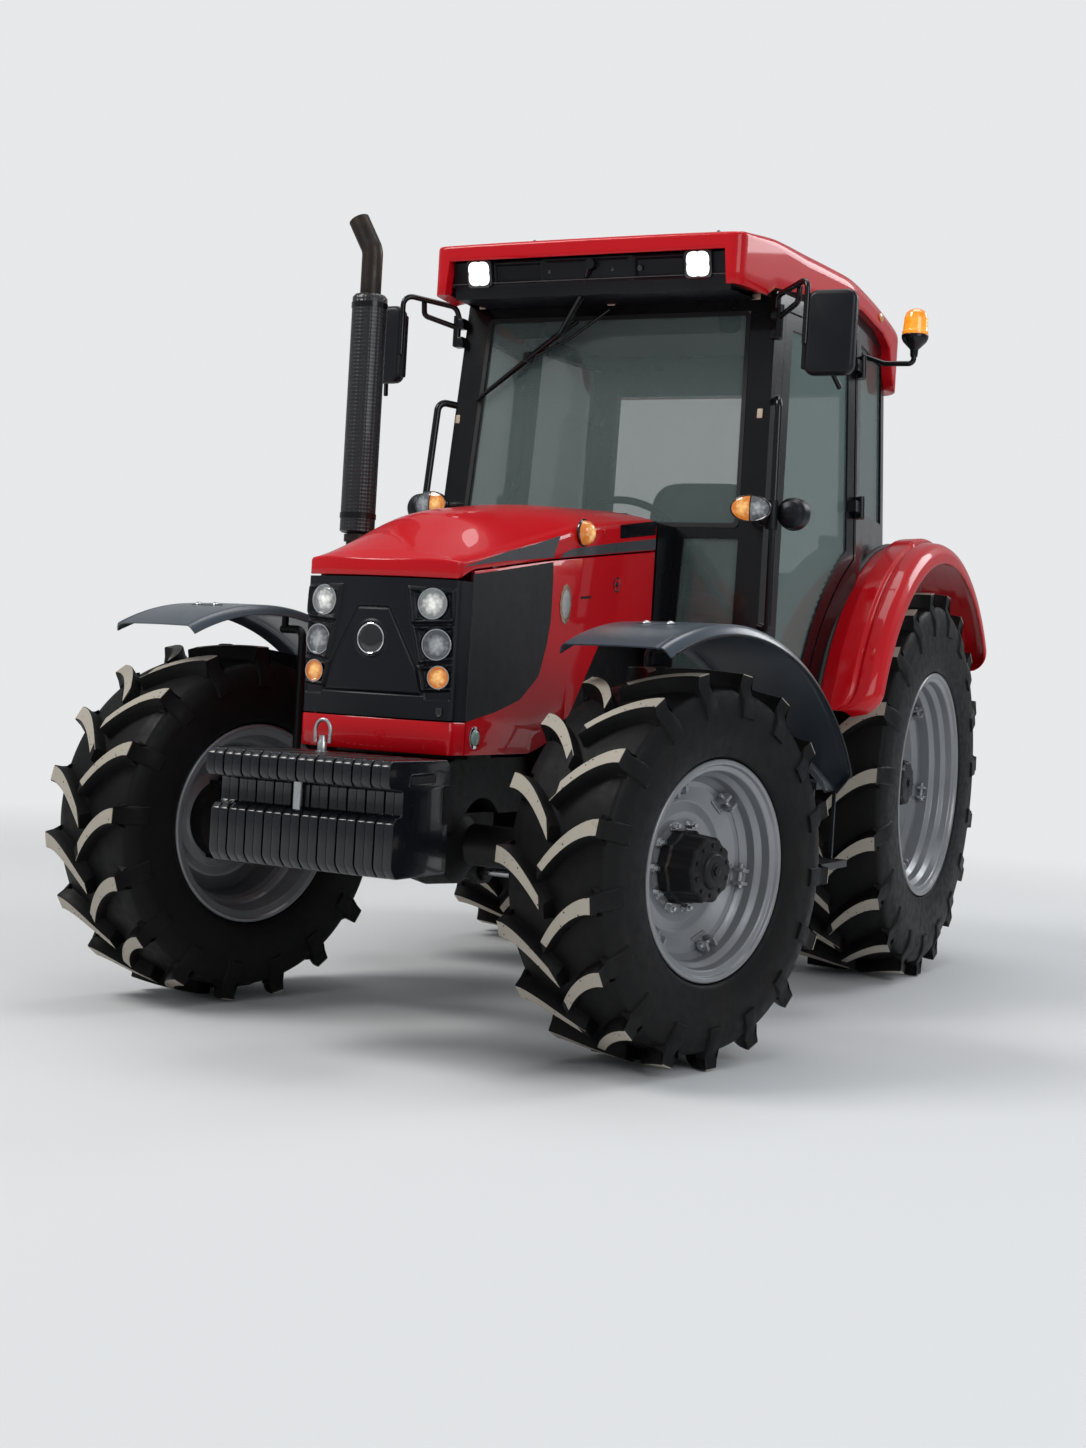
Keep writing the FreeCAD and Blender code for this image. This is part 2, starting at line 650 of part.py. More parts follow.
def step_tank():
    """Left tank ahead of the rear wheel, with two steps on its outer side."""
    tank = prism_x((
        (cy(1010), 640), (cy(1010), 960), (cy(1380), 960), (cy(1500), 900), (cy(1560), 640),
    ), GEAR_HALF + FIT, STEP_X0 + 90)
    steps = [
        box(STEP_X0 - 60, STEP_X1, cy(1020), cy(1320), 520, 545),
        box(STEP_X0 + 60, STEP_X1 - 40, cy(1040), cy(1300), 800, 825),
        box(STEP_X0 - 60, STEP_X0 - 20, cy(1020), cy(1060), 520, 660),
        box(STEP_X0 - 60, STEP_X0 - 20, cy(1280), cy(1320), 520, 660),
        box(STEP_X1 - 60, STEP_X1 - 48, cy(1040), cy(1052), 520, 825),
        box(STEP_X1 - 60, STEP_X1 - 48, cy(1288), cy(1300), 520, 825),
    ]
    return fuse([tank] + steps)


# Hood

# Cross-sections of the hood. Columns: place along Y from the front axle, half width,
# height of the side's upper edge, height of the crown.
HOOD_SECTIONS = (
    (-470.0, 262.0, 1418.0, 1462.0),
    (-110.0, 284.0, 1528.0, 1656.0),
    (450.0, 303.0, 1658.0, 1728.0),
    (HOOD_REAR_Y, 325.0, 1712.0, 1752.0),
)
HOOD_SIDE_BOTTOM = 800.0
# Split between the lid and the side panels: place along Y from the front axle, height
SPLIT_LINE = ((-330.0, 1432.0), (140.0, 1545.0), (HOOD_REAR_Y, 1640.0))
# Lower edge of the side panels
SKIRT_LINE = ((-330.0, 885.0), (60.0, 890.0), (270.0, 950.0), (520.0, 1270.0), (HOOD_REAR_Y, 1290.0))


def hood_solid(inset):
    """The hood's outer form as a solid, made smaller all round by the inset."""
    wires = []
    for y, half, edge, crown in HOOD_SECTIONS:
        y = fy(y)
        half = half - inset
        edge = edge - inset
        crown = crown - inset
        right, left = V(half, y, edge), V(-half, y, edge)
        wires.append(Part.Wire([
            Part.LineSegment(V(half, y, HOOD_SIDE_BOTTOM), right).toShape(),
            Part.Arc(right, V(0, y, crown), left).toShape(),
            Part.LineSegment(left, V(-half, y, HOOD_SIDE_BOTTOM)).toShape(),
            Part.LineSegment(V(-half, y, HOOD_SIDE_BOTTOM), V(half, y, HOOD_SIDE_BOTTOM)).toShape(),
        ]))
    body = Part.makeLoft(wires, True, True)
    # The front is bowed in plan and leans back a little towards its foot.
    nose = prism_z((
        (-400, fy(-330)), (-262 + inset, fy(-405 + inset)),
        ((0, fy(-455 + inset)), (262 - inset, fy(-405 + inset))), (400, fy(-330)),
        (400, fy(1000)), (-400, fy(1000)),
    ), HOOD_SIDE_BOTTOM - 1, 1900)
    return body.common(nose)


def hood_and_panels():
    """Tilting hood with its nose, and the fixed side panels."""
    shell = hood_solid(0.0).cut(hood_solid(HOOD_WALL))
    rear = HOOD_REAR_Y
    above = [(fy(y), z) for y, z in SPLIT_LINE]
    lid_zone = prism_x([(fy(-600), 1425.0)] + above + [(fy(rear), 1900), (fy(-600), 1900)], -450, 450)
    nose_zone = box(-450, 450, fy(-600), fy(HOOD_SPLIT_Y), SKIRT_Z, 1425.0)
    lid = shell.common(lid_zone)
    nose_skirt = shell.common(box(-450, 450, fy(-600), fy(HOOD_SPLIT_Y), SKIRT_Z, NOSE_Z0 - FIT))
    ring = shell.common(nose_zone).common(box(-450, 450, fy(-600), fy(HOOD_SPLIT_Y), NOSE_Z0, NOSE_Z1))
    brow = shell.common(box(-450, 450, fy(-600), fy(HOOD_SPLIT_Y), NOSE_Z1 + FIT, 1425.0))
    lid = fuse([lid, brow])
    below = [(fy(y), z - CLEAR) for y, z in SPLIT_LINE]
    skirt = [(fy(y), z) for y, z in SKIRT_LINE]
    front = fy(HOOD_SPLIT_Y) + CLEAR
    below[0] = (front, below[0][1])
    skirt[0] = (front, skirt[0][1])
    panel_zone = prism_x(skirt + below[::-1], -450, 450)
    panels = shell.common(panel_zone)
    panels = panels.cut(rod(V(-450, fy(STACK_Y), ELBOW_Z), V(0, fy(STACK_Y), ELBOW_Z), STACK_PIPE_R + 8.0))
    stays = []
    for side in (1, -1):
        for y, z in PANEL_STAYS:
            body = ENGINE_HALF if y > 0 else RADIATOR_HALF
            stay = box(side * (body + FIT), side * 400, fy(y - 15), fy(y + 15), z - 15, z + 15)
            stays.append(stay.common(hood_solid(HOOD_WALL - 2.0)))
    panels = fuse([panels] + stays)
    # Lamp openings in the moulding, and the lamps that fill them.
    lamps = []
    for side in (1, -1):
        for x, z, radius in HEAD_LAMPS:
            hole = Part.makeCylinder(radius, 200, V(side * x, fy(-520), z), V(0, 1, 0))
            ring = ring.cut(hole)
            lamp = Part.makeCylinder(radius - FIT, 58, V(side * x, fy(-452), z), V(0, 1, 0))
            lamps.append(lamp)
    back = box(-300, 300, fy(-392), fy(-384), NOSE_Z0, NOSE_Z1)
    ring = fuse([ring, back.common(hood_solid(HOOD_WALL - 1.0))])
    # Straps inside the moulding join the lid to the lip under it.
    inner = hood_solid(HOOD_WALL + 6.0)
    strap_zone = box(-450, 450, fy(-378), fy(-334), SKIRT_Z, 1425)
    strap = hood_solid(HOOD_WALL + FIT).cut(inner).common(strap_zone)
    feet = hood_solid(HOOD_WALL - 1.0).cut(inner).common(strap_zone)
    moulding_zone = box(-450, 450, fy(-600), fy(0), NOSE_Z0 - FIT, NOSE_Z1 + FIT)
    feet = feet.cut(moulding_zone)
    rib = hood_solid(HOOD_WALL - 1.0).cut(inner).common(box(-450, 450, fy(-378), fy(-334), NOSE_Z1 + FIT, 1460))
    joined = fuse([lid, nose_skirt, strap, feet, rib])
    return joined, ring, Part.Compound(lamps), panels


# Stays between the side panels and the engine or radiator: place from the front axle, height
PANEL_STAYS = ((-160.0, 960.0), (-160.0, 1300.0), (400.0, 1200.0), (860.0, 1295.0))
ENGINE_HALF = 250.0
RADIATOR_HALF = 232.0

# Head lamps: distance from the middle, height, radius
HEAD_LAMPS = (
    (187.0, 1328.0, 47.0),
    (205.0, 1208.0, 47.0),
    (215.0, 1112.0, 35.0),
)

STACK_X = -540.0
STACK_Y = 300.0
STACK_PIPE_R = 36.0
ELBOW_Z = ENGINE_TOP + STACK_PIPE_R + FIT


def exhaust_stack():
    """Elbow out of the right side panel, muffler shield, and the outlet bent outwards."""
    y = fy(STACK_Y)
    elbow = bent_tube([
        V(-120, y + 190, ELBOW_Z), V(-120, y, ELBOW_Z), V(STACK_X, y, ELBOW_Z), V(STACK_X, y, 1640),
    ], 70.0, STACK_PIPE_R)
    shield = rod(V(STACK_X, y, 1590), V(STACK_X, y, 2410), 60.0)
    outlet = bent_tube([V(STACK_X, y, 2400), V(STACK_X, y, 2560), V(STACK_X - 62, y, 2668)], 70.0, STACK_PIPE_R)
    return fuse([elbow, shield, outlet])


# Cab

CAB_SLOPE = 0.050            # the sides lean in by this share of the height
CAB_FLARE = 0.147            # the front part of the sides opens rearwards by this share
CAB_A_X = 665.0              # half width at the front post, at the datum height
CAB_DATUM_Z = 1380.0
CAB_A_Y = 1050.0
CAB_B_Y = 1830.0
CAB_REAR_Y = 2480.0
CAB_REAR_X = 700.0
SCREEN_LEAN = 0.093          # the front leans rearwards by this share of the height


def cab_solid(inset, z0, z1):
    """The cab's outer form between two heights, made smaller by the inset."""
    body = box(-900, 900, cy(900), cy(2700), z0, z1)
    b_x = CAB_A_X + CAB_FLARE * (CAB_B_Y - CAB_A_Y)
    rear_flare = (CAB_REAR_X - b_x) / (CAB_REAR_Y - CAB_B_Y)
    planes = [(V(0, cy(CAB_A_Y), CAB_DATUM_Z), V(0, -1, SCREEN_LEAN))]
    planes.append((V(0, cy(CAB_REAR_Y), CAB_DATUM_Z), V(0, 1, 0.04)))
    for side in (1, -1):
        planes.append((V(side * CAB_A_X, cy(CAB_A_Y), CAB_DATUM_Z), V(side, -CAB_FLARE, CAB_SLOPE)))
        planes.append((V(side * b_x, cy(CAB_B_Y), CAB_DATUM_Z), V(side, -rear_flare, CAB_SLOPE)))
    for point, normal in planes:
        normal = normal.normalize()
        body = body.common(behind_plane(point - normal * inset, normal))
    return body


def door_edge_y(z):
    return cy(CAB_A_Y) + PILLAR_A + 20 + SCREEN_LEAN * (z - CAB_DATUM_Z)


DOOR_Z0 = 1075.0
DOOR_Z1 = 2500.0
DOOR_R = FENDER_R + 77.0     # lower rear edge of the door about the rear axle
DOOR_REAR_Y = CAB_B_Y - 20.0


def door_outline(inset):
    """Side outline (y, z) of the door's opening, made smaller by the inset."""
    rear = cy(DOOR_REAR_Y) - inset
    radius = DOOR_R + inset
    low = DOOR_Z0 + inset
    top = DOOR_Z1 - inset

    def on_arc(y):
        return REAR_AXLE_Z + math.sqrt(radius ** 2 - (REAR_Y - y) ** 2)

    y_low = REAR_Y - math.sqrt(radius ** 2 - (low - REAR_AXLE_Z) ** 2)
    y_mid = (rear + y_low) / 2.0
    return (
        (door_edge_y(low) + inset, low), (y_low, low), ((y_mid, on_arc(y_mid)), (rear, on_arc(rear))),
        (rear, top), (door_edge_y(top) + inset, top),
    )


DOOR_RAIL = 58.0


def quarter_outline(inset):
    """Outline (y, z) of the fixed side window behind the door."""
    return (
        (cy(CAB_B_Y + 62) + inset, 1850 + inset), (cy(2400) - inset, 1850 + inset),
        (cy(2370) - inset, DOOR_Z1 - inset), (cy(CAB_B_Y + 62) + inset, DOOR_Z1 - inset),
    )


def screen_outline(inset):
    """Outline (x, z) of the windscreen."""
    return (
        (-560 + inset, 1705 + inset), (560 - inset, 1705 + inset), (530 - inset, 2490 - inset),
        (-530 + inset, 2490 - inset),
    )


def low_pane_outline(inset):
    """Outline (x, z) of the left pane beside the hood, under the windscreen."""
    return ((352 + inset, 1180 + inset), (575 - inset, 1180 + inset), (562 - inset, 1668 - inset),
            (352 + inset, 1668 - inset))


def rear_outline(inset):
    """Outline (x, z) of the rear window, which reaches down between the wheel arches."""
    return ((-420 + inset, 1640 + inset), (420 - inset, 1640 + inset), (420 - inset, 1800 + inset),
            (560 - inset, 1800 + inset), (540 - inset, 2390 - inset), (-540 + inset, 2390 - inset),
            (-560 + inset, 1800 + inset), (-420 + inset, 1800 + inset))


def cab():
    """Cab frame with its openings, its fixed panes and its doors."""
    outer = cab_solid(0.0, CAB_FLOOR_Z, CAB_ROOF_Z)
    inner = cab_solid(CAB_WALL, CAB_FLOOR_Z - 1, CAB_ROOF_Z + 1)
    frame = outer.cut(inner)
    front = (cy(700), cy(1500))
    back = (cy(2200), cy(2800))
    left = (200, 1000)
    right = (-1000, -200)
    frame = frame.cut(prism_y(screen_outline(0), *front))
    frame = frame.cut(prism_y(rear_outline(0), *back))
    pane = prism_y(low_pane_outline(0), *front)
    frame = frame.cut(pane).cut(mirrored(pane))
    frame = frame.cut(prism_x(quarter_outline(0), *left)).cut(prism_x(quarter_outline(0), *right))
    door_hole = prism_x(door_outline(-CLEAR), 200, 1000)
    frame = frame.cut(door_hole).cut(mirrored(door_hole))
    # The lower rear corners make room for the wheels.
    tunnel = rod(
        V(FENDER_IN_X - FIT, REAR_Y, REAR_AXLE_Z), V(1200, REAR_Y, REAR_AXLE_Z), FENDER_IN_R + FIT)
    crown = turned((
        (FENDER_SEAM_X - FIT, 100.0), (FENDER_SEAM_X - FIT, FENDER_IN_R + FIT), (FENDER_SEAM_X + 70.0, FENDER_R + FIT),
        (1200.0, FENDER_R + FIT), (1200.0, 100.0),
    ), V(0, REAR_Y, REAR_AXLE_Z), V(1, 0, 0))
    tunnel = fuse([tunnel, crown])
    frame = frame.cut(tunnel).cut(mirrored(tunnel))
    # Gaps for the engine in the front wall and for the lift housing in the rear wall.
    frame = frame.cut(box(-340, 340, cy(900), cy(1250), CAB_FLOOR_Z - 5, 1200))
    frame = frame.cut(box(-600, 600, cy(2300), cy(2600), CAB_FLOOR_Z - 5, 1180))
    glass_shell = cab_solid(PANE_INSET, CAB_FLOOR_Z, CAB_ROOF_Z).cut(
        cab_solid(PANE_INSET + PANE, CAB_FLOOR_Z - 1, CAB_ROOF_Z + 1))
    panes = []
    for zone in (
        prism_y(screen_outline(0), *front), prism_y(rear_outline(0), *back), pane, mirrored(pane),
        prism_x(quarter_outline(0), *left), prism_x(quarter_outline(0), *right),
    ):
        panes.append(glass_shell.common(zone))
    door_shell = cab_solid(2.0, CAB_FLOOR_Z, CAB_ROOF_Z).cut(
        cab_solid(2.0 + DOOR_WALL, CAB_FLOOR_Z - 1, CAB_ROOF_Z + 1))
    half = box(0, 1000, cy(900), cy(2700), CAB_FLOOR_Z, CAB_ROOF_Z)
    door = door_shell.common(half).common(prism_x(door_outline(0), 200, 1000))
    window = prism_x(door_outline(DOOR_RAIL), 200, 1000)
    door = door.cut(window)
    door_pane = glass_shell.common(half).common(window)
    return frame, Part.Compound(panes), door, door_pane


def cab_floor():
    """Platform inside the cab's walls with the raised deck under the seat."""
    platform = cab_solid(CAB_WALL + FIT, GEAR_TOP + FIT, CAB_FLOOR_Z + 10)
    for side in (1, -1):
        arch = rod(
            V(side * (FENDER_IN_X - FIT), REAR_Y, REAR_AXLE_Z), V(side * 1200, REAR_Y, REAR_AXLE_Z),
            FENDER_IN_R + FIT)
        platform = platform.cut(arch)
    deck = prism_x((
        (cy(1650), CAB_FLOOR_Z), (cy(1720), DECK_TOP), (cy(2432), DECK_TOP), (cy(2432), CAB_FLOOR_Z),
    ), -465, 465)
    platform = platform.common(box(-1200, 1200, cy(900), cy(2432), 900, 1200))
    return fuse([platform, deck])


ROOF_REAR_Y = 2545.0
ROOF_DROP_Z = 2400.0         # foot of the roof's rear piece, behind the cab
ROOF_LIP_Z = 2640.0          # underside of the roof's front lip, over the black fascia
ROOF_LIP_Y = 1150.0
FASCIA_HALF = 545.0


def roof():
    """Roof cap with its rear drop piece, and the black fascia under its front lip."""
    outline = (
        (cy(846), ROOF_LIP_Z), (cy(ROOF_LIP_Y), ROOF_LIP_Z), (cy(ROOF_LIP_Y), CAB_ROOF_Z), (cy(2440), CAB_ROOF_Z),
        (cy(2452), ROOF_DROP_Z), (cy(2510), ROOF_DROP_Z), (cy(ROOF_REAR_Y), 2440), (cy(ROOF_REAR_Y), 2600),
        ((cy(2480), 2690), (cy(2330), 2740)), ((cy(1750), 2800), (cy(1150), 2765)), (cy(842), 2694),
    )
    cap = prism_x(outline, -715, 715)
    plan = prism_z((
        (-505, cy(835)), (505, cy(835)), ((578, cy(860)), (607, cy(930))), (718, cy(1750)),
        (700, cy(2400)), ((672, cy(2510)), (560, cy(ROOF_REAR_Y))), (-560, cy(ROOF_REAR_Y)),
        ((-672, cy(2510)), (-700, cy(2400))), (-718, cy(1750)), (-607, cy(930)),
        ((-578, cy(860)), (-505, cy(835))),
    ), 2300, 2900)
    # The cap's cheeks come down at both ends of the fascia.
    cheek = box(FASCIA_HALF + FIT, 700, cy(880), cy(1080), 2515, ROOF_LIP_Z + 10)
    cheek = cheek.cut(cab_solid(-FIT, CAB_FLOOR_Z, CAB_ROOF_Z))
    cap = fuse([cap, cheek, mirrored(cheek)]).common(plan)
    fascia = prism_x((
        (cy(872), ROOF_LIP_Z - FIT), (cy(905), 2515), (cy(1180), 2515), (cy(1180), CAB_ROOF_Z - FIT),
        (cy(ROOF_LIP_Y - FIT), CAB_ROOF_Z - FIT), (cy(ROOF_LIP_Y - FIT), ROOF_LIP_Z - FIT),
    ), -FASCIA_HALF, FASCIA_HALF)
    fascia = fascia.cut(cab_solid(-FIT, CAB_FLOOR_Z, CAB_ROOF_Z + 200))
    for side in (1, -1):
        fascia = fascia.cut(work_lamp(side, FIT))
    return cap, fascia


LAMP_X = 431.0
LAMP_Z = 2590.0
LAMP_HALF = 46.0


def work_lamp(side, grown):
    """A square work lamp in the fascia, or its pocket when grown."""
    half = LAMP_HALF + grown
    x = side * LAMP_X
    return box(x - half, x + half, cy(866), cy(935 + grown), LAMP_Z - half, LAMP_Z + half)


def rear_fender():
    """Left rear fender: arched sheet over the tyre with a rolled lip and an inner wall."""
    centre = V(0, REAR_Y, REAR_AXLE_Z)
    wall = FENDER_WALL
    inner = FENDER_IN_X
    outer = FENDER_OUT_X
    ring = turned((
        (inner, FENDER_IN_R), (FENDER_SEAM_X, FENDER_IN_R), (FENDER_SEAM_X + 70.0, FENDER_R),
        (outer - 90.0, FENDER_R), ((outer - 28.0, FENDER_R - 20.0), (outer, FENDER_LIP_R)),
        (outer - wall, FENDER_LIP_R), ((outer - 35.0, FENDER_R - 28.0), (outer - 92.0, FENDER_R - wall)),
        (FENDER_SEAM_X + 72.0, FENDER_R - wall), (FENDER_SEAM_X + 2.0, FENDER_IN_R - wall),
        (inner, FENDER_IN_R - wall),
    ), centre, V(1, 0, 0))
    plate = Part.makeCylinder(FENDER_IN_R, wall, V(inner, REAR_Y, REAR_AXLE_Z), V(1, 0, 0))
    plate = plate.cut(box(0, 1200, REAR_Y - 1200, REAR_Y + 1200, 0, CAB_FLOOR_Z + 10))
    far = 1500.0
    keep = prism_x((
        (REAR_Y, REAR_AXLE_Z), (REAR_Y - far, REAR_AXLE_Z + far * math.tan(math.radians(FENDER_FRONT))),
        (REAR_Y - far, REAR_AXLE_Z + far), (REAR_Y + far, REAR_AXLE_Z + far),
        (REAR_Y + far, REAR_AXLE_Z + far * math.tan(math.radians(FENDER_BACK))),
    ), 0, 1200)
    return fuse([ring.common(keep), plate.common(keep)])


# Hinges of the hood and the doors

HOOD_HINGE_Y = HOOD_REAR_Y + 13.0
HOOD_HINGE_Z = 1722.0
HOOD_HINGE_X = (-180.0, 180.0)
COWL_Y = HOOD_REAR_Y + 35.0  # front edge of the cowl between hood and cab
HINGE_PIN_R = 7.0
DOOR_HINGE_OUT = 20.0        # hinge axis outside the pillar's outer edge
DOOR_HINGE_Y = CAB_B_Y - 2.0
DOOR_HINGES_Z = (1860.0, 2400.0)


def hood_hinges():
    """Ears and pins on the cowl, and the lugs on the lid."""
    ears = []
    lugs = []
    for x in HOOD_HINGE_X:
        centre = V(x, fy(HOOD_HINGE_Y), HOOD_HINGE_Z)
        across = V(1, 0, 0)
        ears.append(Part.makeCylinder(HINGE_PIN_R, 40, centre - across * 20, across))
        for side in (1, -1):
            inner, outer = x + side * (6 + FIT), x + side * 20
            ears.append(prism_x((
                (centre.y, HOOD_HINGE_Z - 12), (fy(COWL_Y + 12), HOOD_HINGE_Z - 34),
                (fy(COWL_Y + 12), HOOD_HINGE_Z + 8), (centre.y, HOOD_HINGE_Z + 12),
            ), inner, outer))
            ears.append(Part.makeCylinder(12.0, 14 - FIT, V(min(inner, outer), centre.y, centre.z), across))
        lug = fuse([
            Part.makeCylinder(13.0, 12, centre - across * 6, across),
            prism_x((
                (centre.y, HOOD_HINGE_Z + 12), (centre.y, HOOD_HINGE_Z - 12),
                (fy(HOOD_REAR_Y - 70), HOOD_HINGE_Z - 34), (fy(HOOD_REAR_Y - 70), HOOD_HINGE_Z + 40),
                (fy(HOOD_REAR_Y - 4), HOOD_HINGE_Z + 40),
            ), x - 6, x + 6),
        ])
        lug = lug.cut(Part.makeCylinder(HINGE_PIN_R + RUN, 40, centre - across * 20, across))
        hood_room = hood_solid(HOOD_WALL - 1.0)
        behind = box(x - 20, x + 20, fy(HOOD_REAR_Y - 1), fy(HOOD_REAR_Y + 110), 1600, HOOD_HINGE_Z + 13)
        lugs.append(fuse([lug.common(hood_room), lug.common(behind)]))
    return ears, lugs


def cowl(ears):
    """Arched cowl between the hood and the front of the cab, with the ears of the hood's hinges."""
    def arch(inset, z0):
        half, edge, crown = 318.0 - inset, 1702.0 - inset, 1742.0 - inset
        return prism_y((
            (half, z0), (half, edge), ((0, crown), (-half, edge)), (-half, z0),
        ), fy(COWL_Y), cy(1250))
    shape = arch(0.0, 1205.0).cut(arch(9.0, 1204.0))
    shape = shape.cut(cab_solid(-FIT, CAB_FLOOR_Z, CAB_ROOF_Z))
    return fuse([shape] + ears)


def door_hinge_place(z):
    """Place on the left door's hinge axis at a height, with the axis as its upright."""
    b_x = CAB_A_X + CAB_FLARE * (CAB_B_Y - CAB_A_Y)
    x = b_x + DOOR_HINGE_OUT - CAB_SLOPE * (z - CAB_DATUM_Z)
    lean = FreeCAD.Rotation(V(0, 0, 1), V(-CAB_SLOPE, 0, 1))
    return FreeCAD.Placement(V(x, cy(DOOR_HINGE_Y), z), lean)


def door_hinges():
    """Pins and leaves on the left pillar, and the door's knuckles."""
    fixed = []
    moving = []
    for z in DOOR_HINGES_Z:
        place = door_hinge_place(z)
        pin = Part.makeCylinder(HINGE_PIN_R, 84, V(0, 0, -42))
        eyes = [Part.makeCylinder(13.0, 20, V(0, 0, 22)), Part.makeCylinder(13.0, 20, V(0, 0, -42))]
        leaves = [box(-DOOR_HINGE_OUT - 6, 0, 0, 40, 22, 42), box(-DOOR_HINGE_OUT - 6, 0, 0, 40, -42, -22)]
        leaf = fuse([pin] + eyes + leaves)
        leaf.Placement = place
        fixed.append(leaf.cut(cab_solid(1.0, CAB_FLOOR_Z, CAB_ROOF_Z)))
        knuckle_eye = fuse([
            Part.makeCylinder(13.0, 44 - 2 * FIT, V(0, 0, -22 + FIT)),
            box(-DOOR_HINGE_OUT - 12, 0, -70, 0, -22 + FIT, 22 - FIT),
        ])
        knuckle_eye = knuckle_eye.cut(Part.makeCylinder(HINGE_PIN_R + RUN, 100, V(0, 0, -50)))
        knuckle_eye.Placement = place
        foot = box(-DOOR_HINGE_OUT - 12, 0, -70, -26, -22 + FIT, 22 - FIT)
        foot.Placement = place
        moving.append(knuckle_eye.cut(cab_solid(-FIT, CAB_FLOOR_Z, CAB_ROOF_Z)))
        moving.append(foot.cut(cab_solid(2.0 + 4.0, CAB_FLOOR_Z, CAB_ROOF_Z)))
    return fixed, moving


# Inside the cab

SEAT_Y = 1900.0
DECK_TOP = 1250.0
WHEEL_CENTRE = (1432.0, 1700.0)
WHEEL_TILT = 38.0
WHEEL_R = 195.0


def steering_wheel():
    """Rim, three spokes and hub about the tilted column."""
    rim = Part.makeTorus(WHEEL_R, 14.0)
    hub = Part.makeCylinder(42.0, 34.0, V(0, 0, -26))
    spokes = []
    for number in range(3):
        spoke = rod(V(30, 0, -12), V(WHEEL_R - 4, 0, 0), 9.0)
        spokes.append(spoke.rotate(V(0, 0, 0), V(0, 0, 1), 90.0 + 120.0 * number))
    wheel = fuse([rim, hub] + spokes)
    wheel.Placement = FreeCAD.Placement(
        V(0, cy(WHEEL_CENTRE[0]), WHEEL_CENTRE[1]), FreeCAD.Rotation(V(1, 0, 0), -WHEEL_TILT))
    return wheel


def dashboard():
    """Column shroud and instrument binnacle in front of the driver."""
    shroud = prism_x((
        (cy(1190), CAB_FLOOR_Z + 10), (cy(1190), 1560), (cy(1230), 1640), (cy(1350), 1600), (cy(1352), 1540),
        (cy(1290), 1450), (cy(1290), CAB_FLOOR_Z + 10),
    ), -150, 150)
    binnacle = prism_x((
        (cy(1200), 1560), (cy(1215), 1668), (cy(1240), 1690), (cy(1338), 1632), (cy(1345), 1590),
    ), -205, 205)
    column_foot = V(0, cy(WHEEL_CENTRE[0]), WHEEL_CENTRE[1]) + steering_column_up() * (-26.0)
    column = rod(column_foot + steering_column_up() * -150.0, column_foot - steering_column_up() * FIT, 24.0)
    return fuse([shroud, binnacle, column])


def steering_column_up():
    return FreeCAD.Rotation(V(1, 0, 0), -WHEEL_TILT).multVec(V(0, 0, 1))


def driver_place():
    """Seat base, cushions and the side console."""
    y = cy(SEAT_Y)
    base = fuse([
        box(-170, 170, y - 190, y + 190, DECK_TOP + FIT, 1330),
        box(-210, 210, y - 220, y + 220, 1330, 1420 - FIT),
        box(-60, 60, y + 190, y + 232, 1400, 1560),
    ])
    cushion = prism_x((
        (y - 260, 1450), ((y - 268, 1490), (y - 240, 1520)), (y + 160, 1500), (y + 175, 1420), (y - 240, 1420),
    ), -250, 250)
    back = prism_x((
        (y + 180, 1440), (y + 162, 1510), (y + 220, 1960), ((y + 262, 1990), (y + 300, 1950)), (y + 262, 1440),
    ), -235, 235)
    back = back.cut(box(-60 - FIT, 60 + FIT, y + 150, y + 232 + FIT, 1400, 1560 + FIT))
    console = prism_x((
        (cy(1520), DECK_TOP + FIT), (cy(1500), 1420), (cy(1540), 1470), (cy(2150), 1500), (cy(2200), 1460),
        (cy(2200), DECK_TOP + FIT),
    ), -440, -290)
    levers = []
    for x, lever_y, lean in ((-400, 1600, 40), (-340, 1620, 30), (-400, 1720, 20), (-340, 1730, 10)):
        foot = V(x, cy(lever_y), 1465)
        tip = V(x, cy(lever_y - lean), 1580)
        levers.append(rod(foot, tip, 6.0))
        levers.append(Part.makeSphere(16.0, tip))
    return base, cushion, back, fuse([console] + levers)


# On the outside of the cab

RAIL_R = 13.0


def grab_rails():
    """Rails beside the front posts: long on the left, short on the right."""
    rails = []
    for side, z0, z1 in ((1, 1345.0, 2165.0), (-1, 1760.0, 2165.0)):
        out = 706.0
        y = cy(1040)
        rails.append(bent_tube([
            post_point(side, z0 + 10), V(side * out, y, z0), V(side * (out - 20), y + 30, z1),
            post_point(side, z1 - 10),
        ], 34.0, RAIL_R).cut(cab_solid(-FIT, CAB_FLOOR_Z, CAB_ROOF_Z)))
    return Part.Compound(rails)


def post_point(side, z, deep=14.0):
    """A point just inside the outer corner of a front post."""
    rise = z - CAB_DATUM_Z
    y = cy(CAB_A_Y) + SCREEN_LEAN * rise
    x = CAB_A_X + CAB_FLARE * SCREEN_LEAN * rise - CAB_SLOPE * rise
    return V(side * (x - deep), y + deep, z)


MIRROR_X = 892.0
MIRROR_Y = 1000.0


def mirrors():
    """Mirror heads on loops of tube from the tops of the front posts."""
    solids = []
    for side in (1, -1):
        top = post_point(side, 2525.0)
        low = post_point(side, 2380.0)
        x = side * MIRROR_X
        y = cy(MIRROR_Y)
        loop = bent_tube([
            top, V(side * 700, y + 20, 2538), V(x, y, 2538), V(x, y, 2240),
        ], 30.0, 11.0)
        arm = rod(low, V(x, y, 2400), 11.0)
        head = prism_z((
            (x - 78, y - 44), ((x, y - 62), (x + 78, y - 44)), (x + 88, y - 10), (x + 88, y + 6),
            (x - 88, y + 6), (x - 88, y - 10),
        ), 2222, 2516)
        stem = box(x - 24, x + 24, y - 12, y + 14, 2240, 2500)
        whole = fuse([loop, arm, head, stem])
        solids.append(whole.cut(cab_solid(-FIT, CAB_FLOOR_Z, CAB_ROOF_Z)))
    return Part.Compound(solids)


